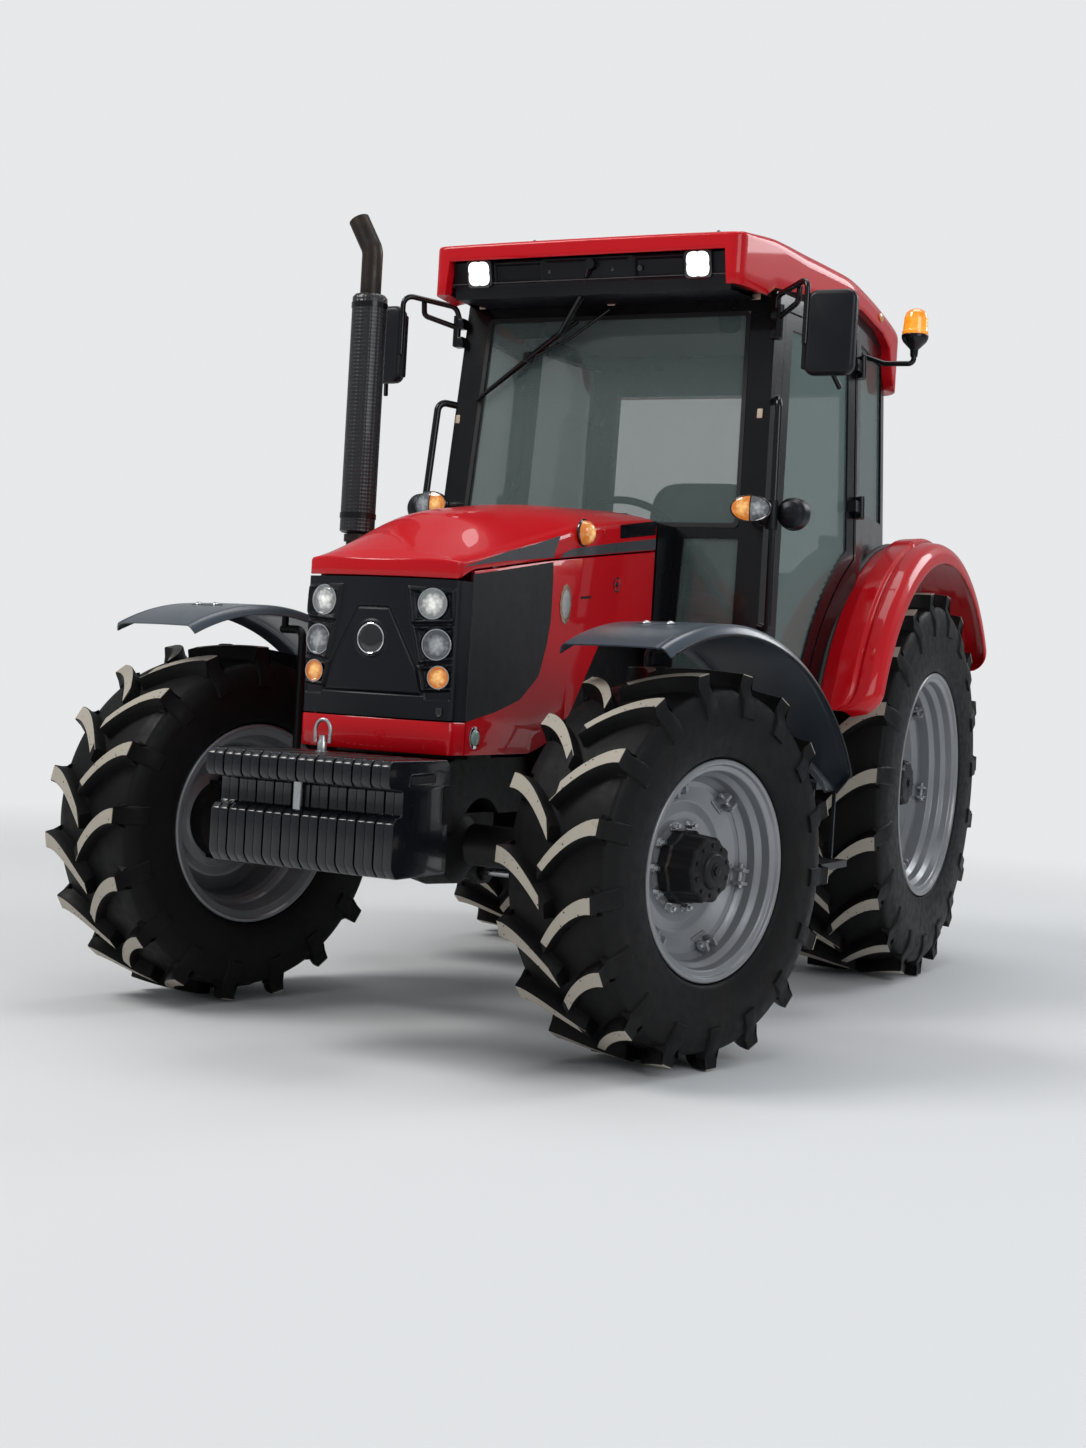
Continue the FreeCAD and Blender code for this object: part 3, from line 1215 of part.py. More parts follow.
BEACON_X = 905.0
BEACON_Y = 1970.0


def beacon():
    """Amber lamp on a bent tube from the left side of the roof."""
    x, y = BEACON_X, cy(BEACON_Y)
    tube = bent_tube([V(640, y, 2526), V(790, y, 2480), V(x, y, 2440), V(x, y, 2512)], 30.0, 11.0)
    tube = tube.cut(cab_solid(-FIT, CAB_FLOOR_Z, CAB_ROOF_Z))
    lamp = turned((
        (0.0, 0.0), (0.0, 40.0), (26.0, 52.0), (42.0, 58.0), (118.0, 50.0), ((134.0, 40.0), (140.0, 22.0)),
        (140.0, 0.0),
    ), V(x, y, 2510), V(0, 0, 1))
    return fuse([tube, lamp])


def cab_lamps():
    """Work lamps front and rear, turn lamps by the grab rails, tail lamps on the fenders."""
    solids = []
    for side in (1, -1):
        solids.append(work_lamp(side, 0.0))
        x = side * LAMP_X
        solids.append(box(
            x - LAMP_HALF, x + LAMP_HALF, cy(ROOF_REAR_Y + FIT), cy(ROOF_REAR_Y + 40),
            2520 - LAMP_HALF, 2520 + LAMP_HALF))
        tail = box(
            side * 818, side * 888, REAR_Y + FENDER_R + FIT, REAR_Y + FENDER_R + 32,
            REAR_AXLE_Z - 40, REAR_AXLE_Z + 40)
        tail.rotate(V(0, REAR_Y, REAR_AXLE_Z), V(1, 0, 0), FENDER_BACK + 7.0)
        solids.append(tail)
        lamp = turned((
            (0.0, 0.0), (0.0, 56.0), (22.0, 62.0), (44.0, 56.0), ((56.0, 38.0), (62.0, 16.0)), (62.0, 0.0),
        ), V(side * 640.0, cy(1000), TURN_LAMP_Z), V(0, -1, 0))
        low = TURN_LAMP_Z - 40
        stem = rod(V(side * 640, cy(999), low + 6), post_point(side, low, 2.0), 10.0)
        solids.append(fuse([lamp, stem.cut(cab_solid(-FIT, CAB_FLOOR_Z, CAB_ROOF_Z))]))
    return Part.Compound(solids)


TURN_LAMP_Z = 1764.0

# Rear linkage: places along Y from the rear axle, heights
REAR_FACE = 230.0                # rear face of the transmission
LINK_PIVOT = (110.0, 560.0)      # lower link's front pivot
LINK_EYE = (REAR_REACH - 26.0, 560.0)
LINK_HANGER = (560.0, 560.0)     # where the lift rod stands on the lower link
LINK_X = 300.0
LINK_T = 18.0
LINK_EYE_R = 14.35
LINK_PIN_R = 14.0
LIFT_PIVOT = (60.0, 1060.0)
LIFT_TIP = (400.0, 1030.0)
LIFT_PIN_R = 12.0
ROD_T = 22.0
TOP_LINK_PIVOT = (270.0, 860.0)
TOP_LINK_END = (818.0, 976.0)
TOP_LINK_EYE_R = 12.75
PTO_Z = 690.0
PTO_R = 17.5
DRAWBAR_Z = 450.0


def rear_point(x, place):
    """A point from a place given as distance behind the rear axle and height."""
    return V(x, ry(place[0]), place[1])


def cross_rod(x0, x1, place, radius):
    """A round bar along X at a place of the rear linkage."""
    return rod(rear_point(min(x0, x1), place), rear_point(max(x0, x1), place), radius)


def flat_bar(x0, x1, start, end, half):
    """A flat bar between two places, as wide as two halves."""
    run = V(0, end[0] - start[0], end[1] - start[1]).normalize()
    up = V(0, -run.z, run.y) * half
    corners = [
        (ry(start[0]) + up.y, start[1] + up.z), (ry(end[0]) + up.y, end[1] + up.z),
        (ry(end[0]) - up.y, end[1] - up.z), (ry(start[0]) - up.y, start[1] - up.z),
    ]
    return prism_x(corners, x0, x1)


def lower_links():
    """Both lower links with their ball eyes."""
    solids = []
    for side in (1, -1):
        x = side * LINK_X
        half = LINK_T / 2.0
        link = fuse([
            flat_bar(x - half, x + half, LINK_PIVOT, LINK_EYE, 32.0),
            cross_rod(x - 22, x + 22, LINK_PIVOT, 36.0),
            cross_rod(x - 22, x + 22, LINK_EYE, 26.0),
        ])
        link = link.cut(cross_rod(x - 40, x + 40, LINK_EYE, LINK_EYE_R))
        solids.append(link.cut(cross_rod(x - 40, x + 40, LINK_PIVOT, LINK_PIN_R + RUN)))
    return Part.Compound(solids)


def lift_arms():
    """Rocker shaft with both lift arms and the pins at their tips."""
    inner = LINK_X + LINK_T / 2.0 + FIT
    parts = [cross_rod(-inner, inner, LIFT_PIVOT, 26.0)]
    for side in (1, -1):
        parts.append(flat_bar(side * (inner - 30), side * inner, LIFT_PIVOT, LIFT_TIP, 30.0))
        parts.append(cross_rod(side * (inner - 30), side * inner, LIFT_PIVOT, 42.0))
        parts.append(cross_rod(side * (inner - 30), side * inner, LIFT_TIP, 32.0))
        parts.append(cross_rod(side * (inner - 30), side * (inner + ROD_T + 12), LIFT_TIP, LIFT_PIN_R))
        parts.append(cross_rod(side * (inner + ROD_T + 2 * FIT), side * (inner + ROD_T + 10), LIFT_TIP, 20.0))
    return fuse(parts)


def lift_rods():
    """Lift rods from the arms' tips down to the lower links."""
    solids = []
    for side in (1, -1):
        inner = side * (LINK_X + LINK_T / 2.0 + 2 * FIT)
        outer = side * (LINK_X + LINK_T / 2.0 + FIT + ROD_T)
        middle = (inner + outer) / 2.0
        tube = rod(rear_point(middle, LIFT_TIP), rear_point(middle, LINK_HANGER), 10.5)
        bar = fuse([
            tube,
            cross_rod(inner, outer, LIFT_TIP, 28.0),
            cross_rod(inner, outer, LINK_HANGER, 24.0),
        ])
        solids.append(bar.cut(cross_rod(inner - side * 20, outer + side * 20, LIFT_TIP, LIFT_PIN_R + RUN)))
    return Part.Compound(solids)


def top_link():
    """Top link, folded up out of use, with an eye at its free end."""
    bar = fuse([
        rod(rear_point(0, TOP_LINK_PIVOT), rear_point(0, TOP_LINK_END), 19.0),
        cross_rod(-25, 25, TOP_LINK_PIVOT, 30.0),
        cross_rod(-25, 25, TOP_LINK_END, 30.0),
    ])
    bar = bar.cut(cross_rod(-60, 60, TOP_LINK_PIVOT, LIFT_PIN_R + RUN))
    return bar.cut(cross_rod(-60, 60, TOP_LINK_END, TOP_LINK_EYE_R))


def rear_brackets():
    """Pins of the lower links, bearings of the rocker shaft, bracket of the top link."""
    parts = []
    for side in (1, -1):
        x = side * LINK_X
        parts.append(cross_rod(side * 170, x + side * 36, LINK_PIVOT, LINK_PIN_R))
        parts.append(cross_rod(side * 170, x - side * (22 + FIT), LINK_PIVOT, 42.0))
        parts.append(cross_rod(x + side * (22 + FIT), x + side * 36, LINK_PIVOT, 24.0))
        cheek = fuse([
            box(side * 150, side * 190, ry(18), ry(120), 960, LIFT_PIVOT[1]),
            cross_rod(side * 150, side * 190, LIFT_PIVOT, 42.0),
        ])
        parts.append(cheek.cut(cross_rod(side * 100, side * 240, LIFT_PIVOT, 26.0 + RUN)))
        ear = fuse([
            box(side * (25 + FIT), side * 43, ry(REAR_FACE - 30), ry(TOP_LINK_PIVOT[0]), 830, 890),
            cross_rod(side * (25 + FIT), side * 43, TOP_LINK_PIVOT, 30.0),
        ])
        parts.append(ear)
    parts.append(cross_rod(-50, 50, TOP_LINK_PIVOT, LIFT_PIN_R))
    return parts


def pto_shaft():
    """Splined stub shaft at the back, with its bearing journal."""
    shaft = rod(V(0, ry(REAR_FACE - 20), PTO_Z), V(0, ry(REAR_FACE + 92), PTO_Z), PTO_R)
    flats = []
    for number in range(6):
        groove = box(-3, 3, ry(REAR_FACE + 22), ry(REAR_FACE + 93), PTO_R - 3.5, PTO_R + 4)
        groove.translate(V(0, 0, PTO_Z))
        flats.append(groove.rotate(V(0, 0, PTO_Z), V(0, 1, 0), 60.0 * number))
    return shaft.cut(Part.Compound(flats))


def drawbar():
    """Swinging drawbar in its hanger under the transmission, with the shield over the shaft."""
    bar = box(-38, 38, ry(-260), ry(650), DRAWBAR_Z, DRAWBAR_Z + 32)
    nose = Part.makeCylinder(38.0, 32.0, V(0, ry(650), DRAWBAR_Z))
    bar = fuse([bar, nose]).cut(Part.makeCylinder(16.5, 60, V(0, ry(650), DRAWBAR_Z - 10)))
    hanger = box(-120, 120, ry(150), ry(200), DRAWBAR_Z - 24, 520 - FIT)
    hanger = hanger.cut(box(-38 - FIT, 38 + FIT, ry(100), ry(260), DRAWBAR_Z - FIT, DRAWBAR_Z + 32 + FIT))
    front = box(-60, 60, ry(-300), ry(-220), DRAWBAR_Z + 32 + FIT, 520 - FIT)
    pin = rod(V(0, ry(-240), DRAWBAR_Z - 14), V(0, ry(-240), DRAWBAR_Z + 40), 15.0)
    bar = bar.cut(rod(V(0, ry(-240), DRAWBAR_Z - 14), V(0, ry(-240), DRAWBAR_Z + 40), 15.0 + RUN))
    shield = prism_y((
        (-140, 640), (-140, 790), (140, 790), (140, 640), (132, 640), (132, 782), (-132, 782), (-132, 640),
    ), ry(REAR_FACE + FIT), ry(REAR_FACE + 150))
    return Part.Compound([bar, hanger, fuse([front, pin]), shield])


def main():
    os.makedirs("parts", exist_ok=True)
    nodes = {}
    nodes.update(wheels())
    nodes.update(front_running_gear())
    nodes["front_weights"] = front_weights()
    nodes["front_support"] = front_support()
    nodes["engine_block"] = engine_block()
    nodes["radiator_block"] = radiator_block()
    nodes["transmission"] = transmission()
    nodes["rear_axle_housing"] = rear_axle_housing()
    tank = step_tank()
    nodes["step_tanks"] = Part.Compound([tank, mirrored(tank)])
    lid, moulding, lamps, panels = hood_and_panels()
    ears, lugs = hood_hinges()
    nodes["hood_lid"] = fuse([lid] + lugs)
    nodes["cowl"] = cowl(ears)
    nodes["nose_moulding"] = moulding
    nodes["head_lamps"] = lamps
    nodes["side_panels"] = panels
    nodes["exhaust_stack"] = exhaust_stack()
    frame, panes, door, door_pane = cab()
    leaves, knuckles = door_hinges()
    door = fuse([door] + knuckles)
    nodes["cab_frame"] = fuse([frame] + leaves + [mirrored(leaf) for leaf in leaves])
    nodes["cab_glass"] = panes
    nodes["door_left"] = door
    nodes["door_right"] = mirrored(door)
    nodes["door_glass_left"] = door_pane
    nodes["door_glass_right"] = mirrored(door_pane)
    nodes["cab_floor"] = cab_floor()
    cap, fascia = roof()
    nodes["roof_cap"] = cap
    nodes["roof_fascia"] = fascia
    fender = rear_fender()
    nodes["rear_fenders"] = Part.Compound([fender, mirrored(fender)])
    base, cushion, back, console = driver_place()
    nodes["seat_base"] = base
    nodes["seat_cushion"] = cushion
    nodes["seat_backrest"] = back
    nodes["side_console"] = console
    nodes["dashboard"] = dashboard()
    nodes["steering_wheel"] = steering_wheel()
    nodes["grab_rails"] = grab_rails()
    nodes["mirrors"] = mirrors()
    nodes["beacon"] = beacon()
    nodes["cab_lamps"] = cab_lamps()
    nodes["lower_links"] = lower_links()
    nodes["lift_arms"] = lift_arms()
    nodes["lift_rods"] = lift_rods()
    nodes["top_link"] = top_link()
    nodes["pto_shaft"] = pto_shaft()
    nodes["drawbar"] = drawbar()
    for name, shape in nodes.items():
        shape.exportStep("parts/%s.step" % name)


main()
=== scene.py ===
"""Farm tractor: detailed surfaces, finishes, light and camera around its fixed frame."""
import json
import math

import bmesh
import bpy
import numpy as np
from mathutils import Matrix, Vector


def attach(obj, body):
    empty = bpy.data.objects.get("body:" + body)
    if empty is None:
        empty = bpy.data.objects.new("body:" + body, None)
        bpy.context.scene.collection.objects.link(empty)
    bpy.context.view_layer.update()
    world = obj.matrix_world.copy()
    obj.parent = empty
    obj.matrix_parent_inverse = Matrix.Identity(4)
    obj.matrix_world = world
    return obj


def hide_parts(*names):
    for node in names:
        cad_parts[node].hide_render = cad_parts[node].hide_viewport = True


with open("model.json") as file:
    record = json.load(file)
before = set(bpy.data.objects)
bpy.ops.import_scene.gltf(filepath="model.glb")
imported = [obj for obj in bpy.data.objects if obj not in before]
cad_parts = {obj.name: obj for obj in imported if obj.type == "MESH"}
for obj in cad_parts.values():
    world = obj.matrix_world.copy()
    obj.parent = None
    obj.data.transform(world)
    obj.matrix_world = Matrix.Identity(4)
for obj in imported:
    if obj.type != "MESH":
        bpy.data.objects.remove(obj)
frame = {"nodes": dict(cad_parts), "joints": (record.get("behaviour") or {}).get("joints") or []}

bl_info = {
    "name": "Farm Tractor",
    "version": (1, 0, 0),
    "blender": (4, 5, 0),
    "location": "3D View > Sidebar > Tractor",
    "description": "Builds the wheels, hood, cab, lamps and finishes of a farm tractor",
    "category": "Object",
}

JOINTS = {joint["name"]: joint for joint in frame["joints"]}
FRONT_Y = JOINTS["steer_left"]["pos_m"][1]
REAR_Y = JOINTS["roll_rear_left"]["pos_m"][1]
KINGPIN_X = JOINTS["steer_left"]["pos_m"][0]
FRONT_AXLE_Z = JOINTS["steer_left"]["pos_m"][2]
REAR_AXLE_Z = JOINTS["roll_rear_left"]["pos_m"][2]
REAR_TRACK_HALF = JOINTS["roll_rear_left"]["pos_m"][0]
STEER = np.array(JOINTS["roll_front_left"]["axis"], float)
FRONT_OFFSET = 0.050           # middle of the front tyre, outboard of the kingpin
UP = np.array((0.0, 0.0, 1.0))
WELD = 1e-5                    # points closer than this are one
BEND_STEPS = 6                 # steps round a tube's bend
SIDES = (("left", 1), ("right", -1))


# Shapes

class Surface:
    """Grids of points gathered into one mesh, with a mark on each point."""

    def __init__(self):
        self.points = []
        self.quads = []
        self.ends = []
        self.marks = []
        self.count = 0

    def grid(self, points, wrap_u=False, wrap_v=False, flip=False, mark=0.0):
        """Joins points[u, v] by four-sided faces; a wrapped side closes on itself."""
        nu, nv = points.shape[:2]
        index = self.count + np.arange(nu * nv).reshape(nu, nv)
        if wrap_u:
            index = np.vstack([index, index[:1]])
        if wrap_v:
            index = np.hstack([index, index[:, :1]])
        quads = np.stack([index[:-1, :-1], index[1:, :-1], index[1:, 1:], index[:-1, 1:]], -1).reshape(-1, 4)
        if flip:
            quads = quads[:, ::-1]
        self.quads.append(quads)
        self.points.append(points.reshape(-1, 3))
        self.marks.append(np.broadcast_to(np.asarray(mark, float), (nu, nv)).reshape(-1))
        self.count += nu * nv
        return self

    def end(self, ring, flip=False, mark=0.0):
        """A flat face round a closed ring of points."""
        index = self.count + np.arange(len(ring))
        self.ends.append((index[::-1] if flip else index).tolist())
        self.points.append(ring)
        self.marks.append(np.full(len(ring), float(mark)))
        self.count += len(ring)
        return self

    def add(self, other):
        """Takes in another surface."""
        points = np.concatenate(other.points)
        self.points.append(points)
        self.marks.append(np.concatenate(other.marks))
        for quads in other.quads:
            self.quads.append(quads + self.count)
        for ring in other.ends:
            self.ends.append([number + self.count for number in ring])
        self.count += len(points)
        return self

    def turned_over(self):
        """The same surface with its faces pointing the other way."""
        self.quads = [quads[:, ::-1] for quads in self.quads]
        self.ends = [ring[::-1] for ring in self.ends]
        return self

    def build(self, name, material, body, smooth=40.0, slot=None):
        """Writes the mesh, welds its seams, shades it and rides it on its body."""
        mesh = bpy.data.meshes.new(name)
        points = np.concatenate(self.points)
        faces = []
        for quads in self.quads:
            faces.extend(quads.tolist())
        faces.extend(self.ends)
        mesh.from_pydata(points.tolist(), [], faces)
        attribute = mesh.attributes.new("mark", "FLOAT", "POINT")
        attribute.data.foreach_set("value", np.concatenate(self.marks).astype(np.float32))
        piece = bpy.data.objects.new(name, mesh)
        bpy.context.scene.collection.objects.link(piece)
        finish_mesh(piece, smooth)
        piece.data.materials.append(material)
        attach(piece, body)
        return piece


def finish_mesh(piece, smooth):
    """Merges doubled points and shades faces smooth up to an angle."""
    work = bmesh.new()
    work.from_mesh(piece.data)
    bmesh.ops.remove_doubles(work, verts=work.verts, dist=WELD)
    limit = math.radians(smooth)
    for face in work.faces:
        face.smooth = True
    for edge in work.edges:
        if len(edge.link_faces) == 2:
            edge.smooth = edge.calc_face_angle(0.0) < limit
    work.to_mesh(piece.data)
    work.free()


def lathe(profile, centre, axis, start, segments=48, mark=0.0):
    """Profile of (along axis, radius) turned about an axis; start is where angle 0 points."""
    profile = np.asarray(profile, float)
    axis = unit(axis)
    start = unit(start)
    side = np.cross(axis, start)
    angle = full_turn(segments)
    ring = np.cos(angle)[:, None] * start + np.sin(angle)[:, None] * side
    points = (np.asarray(centre, float) + profile[None, :, :1] * axis
              + profile[None, :, 1:2] * ring[:, None, :])
    return Surface().grid(points, wrap_u=True, mark=mark)


def full_turn(count):
    """Angles spread evenly round a circle, its end left off."""
    return np.arange(count) * 2 * math.pi / count


def unit(vector):
    """A vector brought to length 1."""
    vector = np.asarray(vector, float)
    return vector / np.linalg.norm(vector)


def rounded(corners, radius, steps=5, closed=True):
    """Outline with each corner swapped for an arc; one radius, or one for each corner."""
    corners = np.asarray(corners, float)
    count = len(corners)
    radii = np.broadcast_to(np.asarray(radius, float), (count,))
    out = []
    for number in range(count):
        here = corners[number]
        if not closed and number in (0, count - 1):
            out.append(here[None])
            continue
        before = corners[number - 1] - here
        after = corners[(number + 1) % count] - here
        far_b, far_a = np.linalg.norm(before), np.linalg.norm(after)
        before, after = before / far_b, after / far_a
        opening = math.acos(float(np.clip(before @ after, -1.0, 1.0)))
        if radii[number] < 1e-6 or opening > math.pi - 0.01:
            out.append(here[None])
            continue
        cut = min(radii[number] / math.tan(opening / 2), 0.49 * far_b, 0.49 * far_a)
        true_radius = cut * math.tan(opening / 2)
        middle = here + unit(before + after) * true_radius / math.sin(opening / 2)
        one = unit(here + before * cut - middle)
        two = unit(here + after * cut - middle)
        turn = math.acos(float(np.clip(one @ two, -1.0, 1.0)))
        share = np.linspace(0, 1, steps + 1)[:, None]
        blend = (np.sin((1 - share) * turn) * one + np.sin(share * turn) * two) / max(math.sin(turn), 1e-9)
        out.append(middle + blend * true_radius)
    return np.concatenate(out)


def oblong(left, low, right, high):
    """Corners of a rectangle, anticlockwise."""
    return ((left, low), (right, low), (right, high), (left, high))


def pull_in(outline, distance):
    """A closed flat outline (anticlockwise) moved inwards along its own normals."""
    ahead = np.roll(outline, -1, 0) - outline
    behind = outline - np.roll(outline, 1, 0)
    ahead = ahead / np.maximum(np.linalg.norm(ahead, axis=1, keepdims=True), 1e-9)
    behind = behind / np.maximum(np.linalg.norm(behind, axis=1, keepdims=True), 1e-9)
    normal = np.stack([-(ahead + behind)[:, 1], (ahead + behind)[:, 0]], 1) / 2
    square = np.maximum((normal ** 2).sum(1, keepdims=True), 0.25)
    return outline + normal / square * distance


def slab(outline, origin, across, upward, depth, edge=0.002, steps=2):
    """A flat plate with rounded edges: its outline in (across, upward), thick along their cross product.

    Rings of the outline pulled in by a quarter circle at the two faces are joined in turn."""
    outline = np.asarray(outline, float)
    area = (outline[:, 0] * np.roll(outline[:, 1], -1) - np.roll(outline[:, 0], -1) * outline[:, 1]).sum()
    if area < 0:
        outline = outline[::-1]
    across, upward = unit(across), unit(upward)
    out = np.cross(across, upward)
    rings = []
    turn = np.linspace(0, math.pi / 2, steps + 1)
    for share in turn:
        rings.append((edge * (1 - math.sin(share)), edge * (1 - math.cos(share))))
    levels = rings + [(inset, depth - deep) for inset, deep in rings[::-1]]
    points = []
    for inset, level in levels:
        flat = pull_in(outline, inset)
        points.append(np.asarray(origin) + flat[:, :1] * across + flat[:, 1:2] * upward + level * out)
    points = np.stack(points)
    surface = Surface().grid(points, wrap_v=True, flip=True)
    return surface.end(points[0], flip=True).end(points[-1])


def block(low, high, edge=0.002):
    """A box with rounded edges between two corners."""
    low, high = np.minimum(low, high), np.maximum(low, high)
    size = high - low
    edge = min(edge, 0.45 * size.min())
    outline = rounded(oblong(0, 0, size[0], size[1]), edge, 2)
    return slab(outline, low, (1, 0, 0), (0, 1, 0), size[2], edge)


def level_with(axis):
    """A direction clear of an axis to start a frame from."""
    return UP if abs(axis @ UP) < 0.9 else np.array((0.0, 1.0, 0.0))


def path_frames(path):
    """Two directions across a path that turn as little as they can along it."""
    path = np.asarray(path, float)
    along = np.gradient(path, axis=0)
    along = along / np.linalg.norm(along, axis=1, keepdims=True)
    first = unit(np.cross(np.cross(along[0], level_with(along[0])), along[0]))
    across = [first]
    for direction in along[1:]:
        step = across[-1] - direction * (across[-1] @ direction)
        across.append(unit(step))
    across = np.array(across)
    return across, np.cross(along, across)


def tube(path, radius, sides=12, bend=0.03, caps=True):
    """A round tube along straight runs with rounded corners; the radius may change along it."""
    path = np.asarray(path, float)
    if bend and len(path) > 2:
        path = rounded(path, bend, BEND_STEPS, closed=False)
    across, third = path_frames(path)
    angle = full_turn(sides)
    radii = np.broadcast_to(np.asarray(radius, float), (len(path),))
    points = (path[:, None] + radii[:, None, None]
              * (np.cos(angle)[None, :, None] * across[:, None]
                 + np.sin(angle)[None, :, None] * third[:, None]))
    surface = Surface().grid(points, wrap_v=True, flip=True)
    if caps:
        surface.end(points[0], flip=True).end(points[-1])
    return surface


def bolts(places, axis, radius, height, sides=6):
    """Heads on washers, one at each place, pointing along the axis; six sides make a hexagon."""
    axis = unit(axis)
    start = unit(np.cross(axis, level_with(axis)))
    head = [(0.0, radius), (height * 0.85, radius), (height, radius * 0.86), (height, 0.0008)]
    washer = [(-0.001, radius * 1.55), (0.0018, radius * 1.55), (0.0018, radius * 0.6)]
    heads = Surface()
    for place in places:
        heads.add(lathe(head, place, axis, start, sides))
        heads.add(lathe(washer, place, axis, start, 14))
    return heads


# Finishes

def new_group(name, inputs, outputs):
    """An empty node group with named sockets: (name, kind, default) in, (name, kind) out."""
    group = bpy.data.node_groups.new(name, "ShaderNodeTree")
    for title, kind, default in inputs:
        socket = group.interface.new_socket(title, in_out="INPUT", socket_type=kind)
        socket.default_value = default
    for title, kind in outputs:
        group.interface.new_socket(title, in_out="OUTPUT", socket_type=kind)
    return group, group.nodes.new("NodeGroupInput"), group.nodes.new("NodeGroupOutput")


def node(tree, kind, **values):
    """A node with its sockets or settings filled in by name."""
    made = tree.nodes.new(kind)
    for key, value in values.items():
        if key in made.inputs:
            made.inputs[key].default_value = value
        else:
            setattr(made, key, value)
    return made


def feed(tree, made, *entries):
    """Fills a node's numbered sockets; each value is another socket or a plain value."""
    for slot, value in entries:
        if isinstance(value, bpy.types.NodeSocket):
            tree.links.new(value, made.inputs[slot])
        else:
            made.inputs[slot].default_value = value


def mix_colour(tree, factor, one, two):
    """A blend of two colours by a factor."""
    made = node(tree, "ShaderNodeMix", data_type="RGBA")
    feed(tree, made, (0, factor), (6, one), (7, two))
    return made.outputs[2]


def maths(tree, operation, one, two, clamp=False):
    """One step of arithmetic on two values."""
    made = node(tree, "ShaderNodeMath", operation=operation, use_clamp=clamp)
    feed(tree, made, (0, one), (1, two))
    return made.outputs[0]


def spread(tree, value, low, high):
    """A value from 0 to 1 carried over to a range."""
    made = node(tree, "ShaderNodeMapRange", **{"To Min": low, "To Max": high})
    tree.links.new(value, made.inputs["Value"])
    return made.outputs[0]


def noise_group():
    """Speckle: one noise on Object coordinates, spread between two ends."""
    name = "Speckle"
    if name in bpy.data.node_groups:
        return bpy.data.node_groups[name]
    group, source, sink = new_group(name, (
        ("Scale", "NodeSocketFloat", 20.0), ("Low", "NodeSocketFloat", 0.4),
        ("High", "NodeSocketFloat", 0.6)), (("Value", "NodeSocketFloat"),))
    place = node(group, "ShaderNodeTexCoord")
    noise = node(group, "ShaderNodeTexNoise", Detail=5.0, Roughness=0.6)
    group.links.new(place.outputs["Object"], noise.inputs["Vector"])
    group.links.new(source.outputs["Scale"], noise.inputs["Scale"])
    sharper = node(group, "ShaderNodeMapRange", interpolation_type="SMOOTHSTEP")
    group.links.new(noise.outputs[0], sharper.inputs["Value"])
    group.links.new(source.outputs["Low"], sharper.inputs["From Min"])
    group.links.new(source.outputs["High"], sharper.inputs["From Max"])
    group.links.new(sharper.outputs[0], sink.inputs["Value"])
    return group


def speckle(tree, scale, low, high):
    """The speckle's value at one scale, between two ends of the noise."""
    made = node(tree, "ShaderNodeGroup", node_tree=noise_group(), Scale=scale, Low=low, High=high)
    return made.outputs[0]


def cell_distance(tree, scale, randomness=1.0):
    """Distance to the middle of the nearest cell of a pattern on Object coordinates."""
    place = node(tree, "ShaderNodeTexCoord")
    cells = node(tree, "ShaderNodeTexVoronoi", Scale=scale, Randomness=randomness)
    tree.links.new(place.outputs["Object"], cells.inputs["Vector"])
    return cells.outputs["Distance"]


def lift_surface(tree, height, strength, distance):
    """Joins a bump to the finish: its height is a socket, its depth in metres."""
    bump = node(tree, "ShaderNodeBump", Strength=strength, Distance=distance)
    tree.links.new(height, bump.inputs["Height"])
    tree.links.new(bump.outputs[0], tree.nodes["Principled BSDF"].inputs["Normal"])


def new_material(name):
    """A new material, its node tree and its shader."""
    material = bpy.data.materials.new(name)
    material.use_nodes = True
    return material, material.node_tree, material.node_tree.nodes["Principled BSDF"]


def dust_group():
    """Dust: settles where faces look up and low on the machine, broken up by noise."""
    name = "Settled dust"
    if name in bpy.data.node_groups:
        return bpy.data.node_groups[name]
    group, source, sink = new_group(name, (
        ("Amount", "NodeSocketFloat", 0.3), ("Top height", "NodeSocketFloat", 1.4)),
        (("Mask", "NodeSocketFloat"),))
    geometry = node(group, "ShaderNodeNewGeometry")
    split = node(group, "ShaderNodeSeparateXYZ")
    group.links.new(geometry.outputs["Normal"], split.inputs[0])
    place = node(group, "ShaderNodeTexCoord")
    height = node(group, "ShaderNodeSeparateXYZ")
    group.links.new(place.outputs["Object"], height.inputs[0])
    low = node(group, "ShaderNodeMapRange", **{"To Min": 1.0, "To Max": 0.0})
    group.links.new(height.outputs["Z"], low.inputs["Value"])
    group.links.new(source.outputs["Top height"], low.inputs["From Max"])
    up = maths(group, "MULTIPLY_ADD", split.outputs["Z"], 0.5, True)
    patchy = speckle(group, 9.0, 0.35, 0.75)
    first = maths(group, "MULTIPLY", up, patchy)
    second = maths(group, "ADD", first, maths(group, "MULTIPLY", low.outputs[0], patchy))
    group.links.new(maths(group, "MULTIPLY", second, source.outputs["Amount"], True), sink.inputs["Mask"])
    return group


